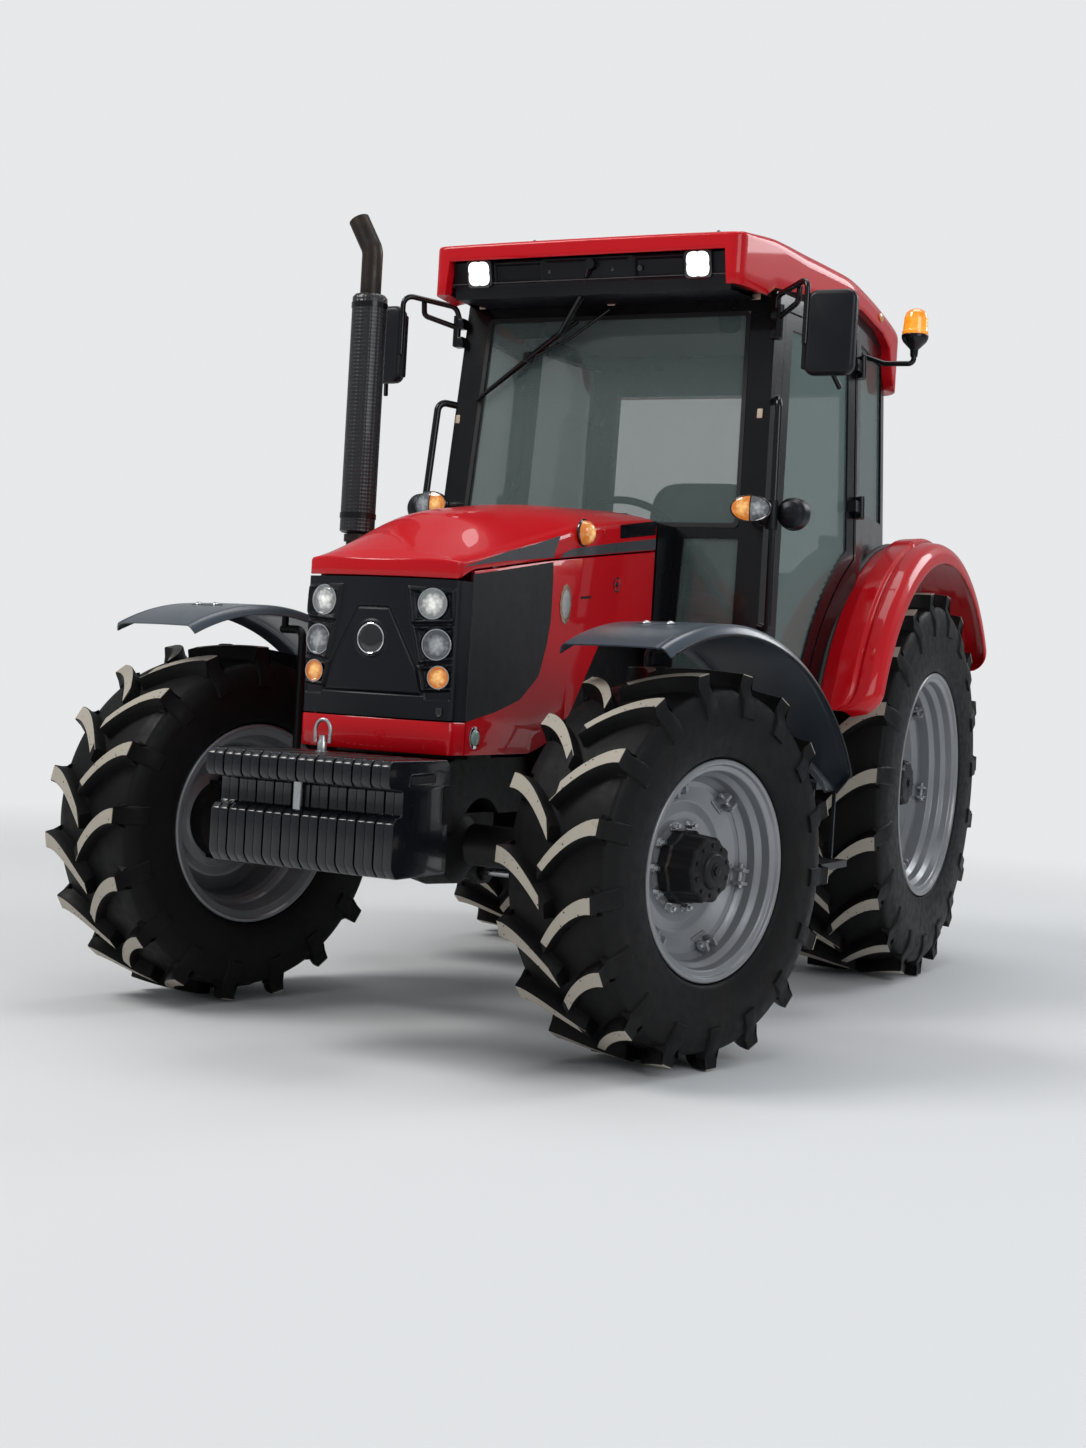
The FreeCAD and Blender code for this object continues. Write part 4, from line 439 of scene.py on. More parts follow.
def finish(name, colour, roughness=0.5, metallic=0.0, coat=0.0, coat_roughness=0.05, specular=0.5,
           tint=None, tint_scale=6.0, tint_share=0.35, rough_spread=0.08, rough_scale=30.0,
           bump=0.0, bump_scale=400.0, bump_depth=0.0004, dust=0.0, dust_colour=(0.28, 0.22, 0.16, 1.0),
           dust_top=1.4):
    """A painted, moulded or cast surface: a slightly uneven colour and gloss, grain and settled dust."""
    if name in bpy.data.materials:
        return bpy.data.materials[name]
    material, tree, shader = new_material(name)
    shader.inputs["Metallic"].default_value = metallic
    shader.inputs["Coat Weight"].default_value = coat
    shader.inputs["Coat Roughness"].default_value = coat_roughness
    shader.inputs["Specular IOR Level"].default_value = specular
    base = (*colour, 1.0)
    second = (*tint, 1.0) if tint else tuple(min(1.0, part * 0.82) for part in colour) + (1.0,)
    share = maths(tree, "MULTIPLY", speckle(tree, tint_scale, 0.3, 0.75), tint_share)
    shade = mix_colour(tree, share, base, second)
    rough = spread(tree, speckle(tree, rough_scale, 0.25, 0.8),
                   max(0.02, roughness - rough_spread), min(1.0, roughness + rough_spread))
    if dust:
        settled = node(tree, "ShaderNodeGroup", node_tree=dust_group(), Amount=dust)
        settled.inputs["Top height"].default_value = dust_top
        shade = mix_colour(tree, settled.outputs[0], shade, dust_colour)
        rough = maths(tree, "ADD", rough, maths(tree, "MULTIPLY", settled.outputs[0], 0.4), True)
    tree.links.new(shade, shader.inputs["Base Color"])
    tree.links.new(rough, shader.inputs["Roughness"])
    if bump:
        lift_surface(tree, speckle(tree, bump_scale, 0.3, 0.7), bump, bump_depth)
    return material


def glass(name, colour, alpha_edge, alpha_face):
    """Thin tinted glass: see-through face on, more mirror-like at a slant."""
    if name in bpy.data.materials:
        return bpy.data.materials[name]
    material, tree, shader = new_material(name)
    shader.inputs["Base Color"].default_value = (*colour, 1.0)
    shader.inputs["IOR"].default_value = 1.9
    shader.inputs["Specular IOR Level"].default_value = 0.6
    tree.links.new(spread(tree, speckle(tree, 3.0, 0.3, 0.7), 0.02, 0.05), shader.inputs["Roughness"])
    slant = node(tree, "ShaderNodeLayerWeight", Blend=0.35)
    cover = spread(tree, slant.outputs["Fresnel"], alpha_face, alpha_edge)
    tree.links.new(cover, shader.inputs["Alpha"])
    return material


def tyre_rubber():
    """Black rubber; marked lug tops carry a pale, patchy mould coat with small dark dots."""
    name = "Tyre rubber"
    if name in bpy.data.materials:
        return bpy.data.materials[name]
    material = finish(name, (0.0040, 0.0040, 0.0045), roughness=0.52, specular=0.17,
                      tint=(0.010, 0.0095, 0.009),
                      tint_scale=5.0, tint_share=0.35, rough_spread=0.10, bump=0.4, bump_scale=260.0,
                      bump_depth=0.0004,
                      dust=0.02, dust_colour=(0.11, 0.09, 0.075, 1.0), dust_top=0.9)
    tree = material.node_tree
    shader = tree.nodes["Principled BSDF"]
    under = shader.inputs["Base Color"].links[0].from_socket
    mark = node(tree, "ShaderNodeAttribute", attribute_name="mark")
    top = node(tree, "ShaderNodeMapRange", interpolation_type="SMOOTHSTEP")
    top.inputs["From Min"].default_value = 0.90
    top.inputs["From Max"].default_value = 0.97
    tree.links.new(mark.outputs["Fac"], top.inputs["Value"])
    patch = speckle(tree, 55.0, 0.18, 0.42)
    pale_shade = mix_colour(tree, patch, (0.20, 0.175, 0.14, 1.0), (0.44, 0.40, 0.335, 1.0))
    dots = maths(tree, "LESS_THAN", cell_distance(tree, 46.0), 0.13)
    pale = mix_colour(tree, dots, pale_shade, (0.05, 0.045, 0.04, 1.0))
    tree.links.new(mix_colour(tree, top.outputs[0], under, pale), shader.inputs["Base Color"])
    return material


def red_paint():
    return finish("Red gloss paint", (0.60, 0.002, 0.008), roughness=0.34, coat=0.55, coat_roughness=0.03,
                  specular=0.1, tint=(0.50, 0.003, 0.010), tint_scale=1.5, tint_share=0.4, rough_spread=0.03,
                  rough_scale=3.0)


def black_moulding():
    return finish("Black grained moulding", (0.005, 0.006, 0.009), roughness=0.38, specular=0.3, bump=0.3,
                  bump_scale=700.0,
                  bump_depth=0.0002, rough_scale=6.0)


def black_paint():
    return finish("Black frame paint", (0.004, 0.004, 0.005), roughness=0.26, specular=0.25, coat=0.3,
                  coat_roughness=0.06,
                  rough_scale=4.0, tint_scale=2.0)


def black_cast():
    return finish("Black painted casting", (0.006, 0.006, 0.007), roughness=0.45, specular=0.3, bump=0.5,
                  bump_scale=180.0,
                  bump_depth=0.0005, dust=0.05, dust_colour=(0.10, 0.075, 0.06, 1.0), dust_top=1.0)


def weight_paint():
    return finish("Black weight paint", (0.004, 0.005, 0.008), roughness=0.26, specular=0.35, coat=0.5,
                  coat_roughness=0.08, bump=0.10, bump_scale=60.0, bump_depth=0.0004,
                  tint=(0.006, 0.007, 0.009),
                  tint_scale=3.0, rough_spread=0.02)


def grey_plastic():
    # Partly the plastic's own dark grey, partly a painted blue sky reflection that lightens and blues its
    # colour.
    return finish("Blue-grey fender plastic", (0.040, 0.056, 0.076), roughness=0.30, coat=0.45,
                  coat_roughness=0.22,
                  tint=(0.046, 0.063, 0.085), tint_scale=2.0, rough_spread=0.02)


def silver_paint():
    return finish("Silver rim paint", (0.27, 0.28, 0.295), roughness=0.36, metallic=0.45, coat=0.2,
                  coat_roughness=0.15, tint=(0.22, 0.23, 0.245), tint_scale=5.0, bump=0.1, bump_scale=300.0,
                  bump_depth=0.0003, dust=0.12, dust_colour=(0.22, 0.18, 0.14, 1.0), dust_top=0.8)


def zinc():
    return finish("Zinc plated steel", (0.56, 0.57, 0.58), roughness=0.32, metallic=0.95,
                  tint=(0.40, 0.40, 0.39), tint_scale=40.0, rough_spread=0.12)


def chrome():
    return finish("Bright chrome", (0.82, 0.83, 0.85), roughness=0.08, metallic=1.0, rough_spread=0.03)


def rubber_seal():
    return finish("Black rubber seal", (0.009, 0.009, 0.010), roughness=0.6, bump=0.2, bump_scale=300.0)


# Wheels

SIDEWALL_STEPS = 30
LUG_STATIONS = 11
RIM_STEPS = 96
CLAMPS = 6
CLAMP_TURN = math.radians(8.0)
HUB_STEPS = 120
HUB_LOBES = 10
# Sizes of a tyre and its rim, in metres, and the number of lugs on each side
WHEELS = {
    "front": {
        "seat": 0.305, "flange": 0.330, "rim_half": 0.171, "bulge": 0.190, "bulge_r": 0.455,
        "tread": 0.549, "shoulder": 0.541, "tread_half": 0.178, "lug_h": 0.043, "lugs": 17,
        "lug_half": 0.0205, "lag": 0.128, "disc": 0.028, "hole": 0.130, "nuts": 10,
    },
    "rear": {
        "seat": 0.432, "flange": 0.457, "rim_half": 0.215, "bulge": 0.230, "bulge_r": 0.610,
        "tread": 0.744, "shoulder": 0.733, "tread_half": 0.216, "lug_h": 0.047, "lugs": 19,
        "lug_half": 0.0240, "lag": 0.165, "disc": 0.030, "hole": 0.160, "nuts": 8,
    },
}
# A hub's section (outwards from the disc, radius), the depth of its lobes, and its caps' place and height
HUBS = {
    "front": (
        ((0.004, 0.108), (0.034, 0.108), (0.040, 0.100), (0.112, 0.094), (0.121, 0.088), (0.124, 0.074),
         (0.126, 0.056), (0.136, 0.052), (0.141, 0.046), (0.141, 0.002)), 0.006, (0.112, 0.074, 0.016)),
    "rear": (
        ((0.004, 0.132), (0.030, 0.132), (0.036, 0.122), (0.040, 0.096), (0.082, 0.088), (0.092, 0.078),
         (0.095, 0.040), (0.095, 0.002)), 0.005, (0.037, 0.112, 0.008)),
}


class WheelPlace:
    """Where a wheel stands: its middle, its outer side, and ahead and up."""

    def __init__(self, kind, side):
        if kind == "rear":
            self.out = np.array((float(side), 0.0, 0.0))
            self.middle = np.array((side * REAR_TRACK_HALF, REAR_Y, REAR_AXLE_Z))
        else:
            self.out = unit(STEER * side)
            self.middle = np.array((side * KINGPIN_X, FRONT_Y, FRONT_AXLE_Z)) + self.out * FRONT_OFFSET
        self.ahead = np.cross(self.out, UP) * -side
        if self.ahead[1] > 0:
            self.ahead = -self.ahead
        self.mirrored = np.cross(self.out, self.ahead) @ UP < 0

    def at(self, angle, axial, radius):
        """Points at an angle from straight ahead towards the top."""
        angle, axial, radius = np.broadcast_arrays(angle, axial, radius)
        return (self.middle + axial[..., None] * self.out
                + radius[..., None] * (np.cos(angle)[..., None] * self.ahead + np.sin(angle)[..., None] * UP))

    def turned(self, section, count):
        """A section of (axial, radius) turned once round the wheel."""
        return self.at(full_turn(count)[:, None], section[None, :, 0], section[None, :, 1])


def tyre_section(size):
    """Outside of the tyre's section from bead to bead, and back along the rim seat.

    The sidewall is a smooth curve through the bead, the bulge and the shoulder; the tread is a
    shallow arch."""
    half, bulge = size["tread_half"], size["bulge"]
    bead = size["rim_half"] - 0.012
    turn = np.linspace(0, 1, SIDEWALL_STEPS)
    low_r, high_r = size["flange"] + 0.004, size["shoulder"] - 0.004
    angle = np.pi * turn
    radius = low_r + (high_r - low_r) * (1 - np.cos(angle)) / 2
    side = np.where(
        turn < 0.5,
        bead + (bulge - bead) * np.sin(angle),
        half * 0.90 + (bulge - half * 0.90) * np.sin(angle) ** 0.8)
    tread_x = np.linspace(half * 0.90, -half * 0.90, 15)[1:-1]
    tread_r = size["tread"] - (size["tread"] - size["shoulder"]) * (np.abs(tread_x) / half) ** 2
    seat = [(-bead + 0.004, size["flange"] - 0.004), (-bead + 0.012, size["seat"] + 0.001),
            (bead - 0.012, size["seat"] + 0.001), (bead - 0.004, size["flange"] - 0.004)]
    right = np.stack([side, radius], 1)
    left = np.stack([-side, radius], 1)[::-1]
    return np.concatenate([right, np.stack([tread_x, tread_r], 1), left, seat])


def sidewall_relief(section, size):
    """Lifts narrow ribs out of the sidewall: one near the rim, one under the shoulder."""
    lifted = section.copy()
    for place, wide, high in ((0.06, 0.012, 0.0022), (0.72, 0.02, 0.0018)):
        span = size["shoulder"] - size["flange"]
        share = (section[:, 1] - size["flange"]) / span
        bump = high * np.exp(-((share - place) / (wide / span)) ** 2)
        lifted[:, 0] += np.sign(section[:, 0]) * bump
    return lifted


def side_of(size, radius):
    """Half width of the tyre at a radius on its upper sidewall."""
    low, high = size["flange"] + 0.004, size["shoulder"] - 0.004
    share = np.clip((radius - low) / (high - low), 0.0, 1.0)
    swell = np.sqrt(np.clip(1.0 - (1.0 - 2.0 * share) ** 2, 0.0, 1.0))
    edge = size["tread_half"] * 0.90
    return edge + (size["bulge"] - edge) * swell ** 0.8


def lug(size, place, start, side):
    """One lug, curved from its nose at the middle to the shoulder, then down the sidewall.

    Each station has a ring of eight points: foot, wall, rounded edge and top on both flanks. The lag
    behind the nose grows fast at first and levels out, which gives the lug its curve."""
    share = np.linspace(0.0, 1.0, LUG_STATIONS)
    axial = side * (-0.012 + (size["tread_half"] + 0.010) * share)
    lag = size["lag"] * 1.04 * (1 - (1 - share) ** 1.75)
    top_r = size["tread"] + size["lug_h"] * (1.0 - 0.10 * share ** 2.2)
    half = size["lug_half"] * (1.0 + 0.22 * share ** 1.5)
    # Rings over the shoulder and down the side
    drop = np.array([0.22, 0.60, 1.0])
    down = size["shoulder"] - (size["shoulder"] - size["bulge_r"]) * 0.92
    edge_r = top_r[-1] - 0.010 - (top_r[-1] - 0.010 - down) * drop
    stand = np.array([0.012, 0.011, 0.007])
    axial = np.concatenate([axial, side * (side_of(size, edge_r) + stand)])
    lag = np.concatenate([lag, size["lag"] * (1.04 + 0.06 * drop)])
    top_r = np.concatenate([top_r, edge_r])
    half = np.concatenate([half, size["lug_half"] * (1.24 + 0.25 * drop)])
    ground = size["tread"] - (size["tread"] - size["shoulder"]) * (np.abs(axial) / size["tread_half"]) ** 2
    foot_r = ground - 0.010
    foot_axial = axial.copy()
    foot_r[-3:] = top_r[-3:] - 0.004
    foot_axial[-3:] = axial[-3:] - side * (stand + 0.010)
    middle = start + lag / size["tread"]
    mid_r = foot_r + (top_r - foot_r) * 0.45
    mid_axial = foot_axial + (axial - foot_axial) * 0.6
    ring = []
    marks = []
    edge = 0.0035
    for wide, radius, across, mark in (
        (-1.55, foot_r, foot_axial, 0.0), (-1.16, mid_r, mid_axial, 0.0),
        (-1.0, top_r - edge, axial, 0.35), (-0.86, top_r, axial, 1.0),
        (0.86, top_r, axial, 1.0), (1.0, top_r - edge, axial, 0.35),
        (1.16, mid_r, mid_axial, 0.0), (1.55, foot_r, foot_axial, 0.0),
    ):
        ring.append(place.at(middle + wide * half / size["tread"], across, radius))
        on_top = np.where(np.arange(len(axial)) < LUG_STATIONS, mark, 0.0)
        marks.append(on_top)
    points = np.stack(ring, 1)
    marks = np.stack(marks, 1)
    surface = Surface().grid(points, wrap_v=True, flip=side < 0, mark=marks)
    return surface.end(points[0], flip=side > 0).end(points[-1], flip=side < 0)


def tyre(kind, side, name):
    """A tyre as a turned section with slanted lugs standing on its tread."""
    size = WHEELS[kind]
    place = WheelPlace(kind, side)
    section = sidewall_relief(tyre_section(size), size)
    points = place.turned(section, bpy.context.scene.tractor.tyre_segments)
    surface = Surface().grid(points, wrap_u=True, wrap_v=True, flip=True)
    step = 2 * math.pi / size["lugs"]
    phase = -math.pi / 2 + step / 4
    for number in range(size["lugs"]):
        surface.add(lug(size, place, phase + number * step, 1))
        surface.add(lug(size, place, phase + (number + 0.5) * step, -1))
    if place.mirrored:
        surface.turned_over()
    body = "%s_wheel_%s" % (kind, name)
    piece = surface.build("%s_tyre_skin_%s" % (kind, name), tyre_rubber(), body, smooth=38.0, slot="tyre")
    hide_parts("%s_tyre_%s" % (kind, name))


def rim_section(size):
    """Section of the rim's barrel: flanges, seats, stepped walls and a well, as a closed line."""
    half, seat, flange = size["rim_half"], size["seat"], size["flange"]
    well = seat - 0.042
    outer = [
        (half - 0.006, flange + 0.002), (half - 0.001, flange - 0.003), (half, flange - 0.009),
        (half - 0.003, flange - 0.015), (half - 0.012, flange - 0.019), (half - 0.017, seat - 0.008),
        (half - 0.021, seat - 0.011), (half - 0.047, seat - 0.014), (half - 0.056, seat - 0.022),
        (half - 0.064, seat - 0.029), (half - 0.090, seat - 0.031), (half - 0.100, seat - 0.040),
        (half - 0.108, well - 0.006), (-half * 0.30, well - 0.008), (-half * 0.50, seat - 0.022),
        (-half + 0.020, seat - 0.012), (-half + 0.010, flange - 0.016), (-half, flange - 0.009),
        (-half + 0.001, flange - 0.003), (-half + 0.006, flange + 0.002),
    ]
    back = [
        (-half + 0.012, flange - 0.002), (-half + 0.020, seat), (-half * 0.55, seat - 0.001),
        (-half * 0.40, well), (half * 0.40, well), (half * 0.50, seat - 0.001), (half - 0.020, seat),
        (half - 0.012, flange - 0.002),
    ]
    return rounded(outer + back, 0.004, 3)


def rim(kind, side, name):
    """A rim: barrel, dished disc, clamp brackets with bolts, a ring of nuts, and the hub."""
    size = WHEELS[kind]
    place = WheelPlace(kind, side)
    well = size["seat"] - 0.042
    disc = size["disc"]
    hole = size["hole"]
    section = rim_section(size)
    surface = Surface().grid(place.turned(section, RIM_STEPS), wrap_u=True, wrap_v=True)
    # Disc: a flat middle, a rounded step and a cone out to the barrel
    out = well - 0.002
    step_r = hole + (out - hole) * 0.42
    front = [
        (disc, 0.05), (disc, hole), (disc + 0.004, hole + 0.012), (disc + 0.010, step_r - 0.02),
        (disc + 0.006, step_r), (disc + 0.004, step_r + 0.012), (disc + 0.012, out - 0.05),
        (disc + 0.030, out - 0.02), (disc + 0.034, out),
    ]
    front = rounded(front, 0.010, 3, closed=False)
    back = front[::-1] - np.array((0.012, 0.0))
    plate = np.concatenate([front, back])
    surface.grid(place.turned(plate, RIM_STEPS), wrap_u=True, wrap_v=True, flip=True)
    # Clamp brackets on the barrel: an upright plate each side of a tab, with a bolt through it
    clamps = []
    for number in range(CLAMPS):
        turn = number * 2 * math.pi / CLAMPS + CLAMP_TURN
        clamps.append((turn, place.at(turn + math.pi / 2, 0.0, 1.0) - place.middle))
    for turn, across in clamps:
        inward = -(place.at(turn, 0.0, 1.0) - place.middle)
        for shift in (-0.026, 0.014):
            foot = place.at(turn, disc + 0.030, out + 0.004) + across * shift
            outline = rounded(((0, 0), (0.046, 0.0), (0.040, 0.030), (0.012, 0.036), (0, 0.034)), 0.008, 3)
            surface.add(slab(outline, foot, place.out, inward, 0.012, 0.002))
        base = place.at(turn, disc + 0.026, out + 0.004) - across * 0.036
        pad = rounded(oblong(0, 0, 0.072, 0.044), 0.010, 3)
        surface.add(slab(pad, base, across, inward, 0.010, 0.003))
    if place.mirrored:
        surface.turned_over()
    body = "%s_wheel_%s" % (kind, name)
    piece = surface.build("%s_rim_skin_%s" % (kind, name), silver_paint(), body, smooth=32.0,
                          slot="silver_paint")
    work = bmesh.new()
    work.from_mesh(piece.data)
    bmesh.ops.recalc_face_normals(work, faces=work.faces)
    work.to_mesh(piece.data)
    work.free()
    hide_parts("%s_rim_%s" % (kind, name))
    # Bolts: through the clamps, and a ring of nuts round the hub
    heads = Surface()
    for turn, across in clamps:
        centre = place.at(turn, disc + 0.052, out - 0.016)
        heads.add(bolts([centre + across * 0.026], across, 0.010, 0.010))
        heads.add(tube([centre - across * 0.040, centre + across * 0.028], 0.0065, 10, 0))
    for turn in full_turn(size["nuts"]):
        nut = place.at(turn, disc + 0.001, hole)
        heads.add(bolts([nut], place.out, 0.013, 0.016))
        heads.add(tube([nut, nut + place.out * 0.026], 0.0065, 8, 0))
    heads.build("%s_rim_bolts_%s" % (kind, name), zinc(), body, smooth=30.0, slot="silver_paint")
    hub_piece(kind, side, name)


def hub_piece(kind, side, name):
    """The black cast hub: a flange with lobes round its bolts, and a domed cover."""
    size = WHEELS[kind]
    place = WheelPlace(kind, side)
    disc = size["disc"]
    profile, deep, (cap_out, cap_r, cap_high) = HUBS[kind]
    line = rounded(profile, 0.004, 3, closed=False)
    angle = full_turn(HUB_STEPS)
    wave = deep * np.clip(np.cos(HUB_LOBES * angle), -0.2, 1.0)
    radius = line[None, :, 1] + wave[:, None] * (line[None, :, 1] > 0.07)
    surface = Surface().grid(place.at(angle[:, None], disc + line[None, :, 0], radius), wrap_u=True,
                             flip=not place.mirrored)
    caps = [place.at((number + 0.5) * 2 * math.pi / HUB_LOBES, disc + cap_out, cap_r)
            for number in range(HUB_LOBES)]
    surface.add(bolts(caps, place.out, 0.0075, cap_high))
    surface.add(bolts([place.middle + place.out * (disc + line[-1, 0])], place.out, 0.016, 0.007))
    body = "%s_wheel_%s" % (kind, name)
    surface.build("%s_hub_%s" % (kind, name), black_cast(), body, smooth=30.0, slot="black_iron")


# Sheets and skins

def resample(path, count):
    """Points spread evenly along the length of an open path."""
    path = np.asarray(path, float)
    run = np.concatenate([[0.0], np.cumsum(np.linalg.norm(np.diff(path, axis=0), axis=1))])
    spread = np.linspace(0.0, run[-1], count)
    return np.stack([np.interp(spread, run, path[:, axis]) for axis in range(path.shape[1])], 1)


def curve_through(table, at, column):
    """A smooth curve through a table's rows: each slope is held between those of its neighbours."""
    table = np.asarray(table, float)
    x, y = table[:, 0], table[:, column]
    step = np.diff(y) / np.diff(x)
    slope = np.concatenate([[step[0]], np.where(step[:-1] * step[1:] > 0,
                            2 * step[:-1] * step[1:] / (step[:-1] + step[1:] + 1e-12), 0.0), [step[-1]]])
    at = np.clip(np.asarray(at, float), x[0], x[-1])
    number = np.clip(np.searchsorted(x, at) - 1, 0, len(x) - 2)
    width = x[number + 1] - x[number]
    t = (at - x[number]) / width
    return ((2 * t ** 3 - 3 * t ** 2 + 1) * y[number] + (t ** 3 - 2 * t ** 2 + t) * width * slope[number]
            + (3 * t ** 2 - 2 * t ** 3) * y[number + 1] + (t ** 3 - t ** 2) * width * slope[number + 1])


def between(one, two, steps):
    """Straight rows from each point of one path to its partner on the other."""
    share = np.linspace(0.0, 1.0, steps)[None, :, None]
    return np.asarray(one, float)[:, None] * (1 - share) + np.asarray(two, float)[:, None] * share


def normals_of(points):
    """Unit normals of a grid, from the cross product of its two directions."""
    normal = np.cross(np.gradient(points, axis=0), np.gradient(points, axis=1))
    return normal / np.maximum(np.linalg.norm(normal, axis=2, keepdims=True), 1e-12)


def sheet_of(points, thickness, flip):
    """A closed sheet: the outer grid, the same grid moved inwards along its normals, and its four edges."""
    normal = normals_of(points) * (-1.0 if flip else 1.0)
    inner = points - normal * thickness
    surface = Surface().grid(points, flip=flip).grid(inner, flip=not flip)
    for outer_edge, inner_edge, turned in (
            (points[:, 0], inner[:, 0], not flip), (points[:, -1], inner[:, -1], flip),
            (points[0], inner[0], flip), (points[-1], inner[-1], not flip)):
        surface.grid(np.stack([outer_edge, inner_edge], 1), flip=turned)
    return surface


def inside(x, z, polygon):
    """Distance outside a convex outline given anticlockwise; below zero inside it."""
    polygon = np.asarray(polygon, float)
    best = np.full(np.shape(x), -1e9)
    for one, two in zip(polygon, np.roll(polygon, -1, 0)):
        run = unit(two - one)
        best = np.maximum(best, (x - one[0]) * run[1] - (z - one[1]) * run[0])
    return best


def step_down(distance, width):
    """Smooth step from 1 inside an outline to 0 outside, over a width."""
    share = np.clip(0.5 - distance / width, 0.0, 1.0)
    return share * share * (3 - 2 * share)


def paint(material, *names):
    """Gives CAD nodes that stay a finish in every slot."""
    for name in names:
        keep = frame["nodes"][name]
        for entry in keep.material_slots:
            entry.material = material


# Hood

# Along the hood: metres behind the front axle, half width, height of the side's edge, height of the crown
HOOD_LINES = (
    (-0.456, 0.262, 1.446, 1.457), (-0.380, 0.264, 1.460, 1.505), (-0.300, 0.270, 1.479, 1.553),
    (-0.110, 0.284, 1.528, 1.652), (0.150, 0.293, 1.590, 1.700), (0.450, 0.303, 1.658, 1.727),
    (0.890, 0.325, 1.712, 1.751),
)
HOOD_FRONT = -0.405            # the nose's corners
HOOD_BOW = 0.050               # its middle stands this much further ahead
HOOD_HALF = 0.262
HOOD_CORNER = 0.026            # radius between the nose and the side
HOOD_SPLIT = -0.330            # nose ahead of it, side panels behind it
HOOD_REAR = 0.890
SPLIT_LINE = ((-0.330, 1.436), (0.140, 1.506), (0.890, 1.600))
SKIRT_LINE = ((-0.330, 0.885), (0.060, 0.890), (0.270, 0.950), (0.520, 1.270), (0.890, 1.290))
NOSE_TOP = 1.402
NOSE_FOOT = 0.985
NOSE_LIP = 0.885
NOSE_COLUMNS = 330
NOSE_ROWS = 170
SEAM = 0.003                   # half the gap between hood pieces


def hood_half(y):
    """Half width of the hood at a place along it."""
    return curve_through(HOOD_LINES, y, 1)


def hood_top(x, y):
    """Height of the hood's skin: a crown that falls away to the side's edge as a power of the width."""
    edge, crown = curve_through(HOOD_LINES, y, 2), curve_through(HOOD_LINES, y, 3)
    share = np.clip(np.abs(x) / hood_half(y), 0.0, 1.0)
    return edge + (crown - edge) * (1.0 - share ** 2.2)


def nose_front(x):
    """Place along Y of the bowed nose: a parabola across its width."""
    return HOOD_FRONT - HOOD_BOW * (1.0 - (np.asarray(x) / HOOD_HALF) ** 2)


def hood_plan(rear):
    """Right half of the hood's outline in (x, y) from the middle of the nose back to the rear."""
    across = np.linspace(0.0, HOOD_HALF, 24)
    front = np.stack([across, nose_front(across)], 1)
    back = np.linspace(HOOD_FRONT, rear, 60)[1:]
    side = np.stack([hood_half(back), back], 1)
    path = np.concatenate([front, side])
    radii = np.zeros(len(path))
    radii[len(front) - 1] = HOOD_CORNER
    near = np.linalg.norm(path - path[len(front) - 1], axis=1)
    keep = (near > HOOD_CORNER * 1.1) | (np.arange(len(path)) == len(front) - 1)
    return rounded(path[keep], radii[keep], 6, closed=False)


def outline_normals(path):
    """Outward directions of an outline in (x, y) that runs from the nose's middle along the left side."""
    run = np.gradient(path, axis=0)
    run = run / np.linalg.norm(run, axis=1, keepdims=True)
    return np.stack([run[:, 1], -run[:, 0]], 1)


def hood_lid_piece():
    """Red lid: an outline with a rounded edge, a band below it, and rows across the crown."""
    half = hood_plan(HOOD_REAR)
    out = outline_normals(half)
    out[0] = (0.0, -1.0)
    share = np.clip((half[:, 1] + 0.40) / 0.5, 0.0, 1.0)
    radius = 0.010 + 0.022 * share
    edge = hood_top(half[:, 0], half[:, 1])
    low = np.where(half[:, 1] < HOOD_SPLIT, NOSE_TOP + 0.003,
                   np.interp(half[:, 1], *np.transpose(SPLIT_LINE)) + SEAM)
    ahead = np.clip((half[:, 1] - HOOD_FRONT) / (HOOD_SPLIT - HOOD_FRONT), 0.0, 1.0)
    low = np.where(half[:, 1] < HOOD_SPLIT, low + ahead * (SPLIT_LINE[0][1] + SEAM - low), low)
    rows = [
        np.column_stack([half - out * 0.007, low + 0.001]),
        np.column_stack([half - out * 0.0015, low]),
        np.column_stack([half, low + 0.0015]),
        np.column_stack([half, (low + edge - radius) / 2]),
    ]
    for turn in np.linspace(0.0, math.pi / 2, 7):
        inset = radius * (1 - math.cos(turn))
        place = half - out * inset[:, None]
        height = edge - radius + radius * math.sin(turn)
        rows.append(np.column_stack([place, height]))
    rim = rows[-1]
    count = 26
    fill = []
    for number in range(1, count + 1):
        part = number / count
        x = rim[:, 0] * (1 - part)
        base = hood_top(x, rim[:, 1]) - hood_top(rim[:, 0], rim[:, 1]) + rim[:, 2]
        fill.append(np.column_stack([x, rim[:, 1], base]))
    points = np.stack(rows + fill, 1)
    points[:, :, 1] += FRONT_Y
    rear_ring = points[-1]
    turned_in = rear_ring * (0.965, 1.0, 1.0) - (0.0, 0.002, 0.010)
    skin = Surface()
    for way in (1.0, -1.0):
        turn = (way, 1.0, 1.0)
        skin.grid(points * turn, flip=way < 0)
        skin.grid(np.stack([rear_ring, turned_in]) * turn, flip=way < 0)
    return skin.build("hood_skin", red_paint(), "hood", smooth=48)


def side_strip(side, upper, lower, off, name, material, body, columns=60, rows=4):
    """A skin on the hood's side between two lines of (y, z), standing off it by a little."""
    one, two = resample(upper, columns), resample(lower, columns)
    flat = between(one, two, rows)
    x = side * (hood_half(flat[:, :, 0]) + off)
    points = np.stack([x, flat[:, :, 0] + FRONT_Y, flat[:, :, 1]], 2)
    return Surface().grid(points, flip=side > 0).build(name, material, body, smooth=30)


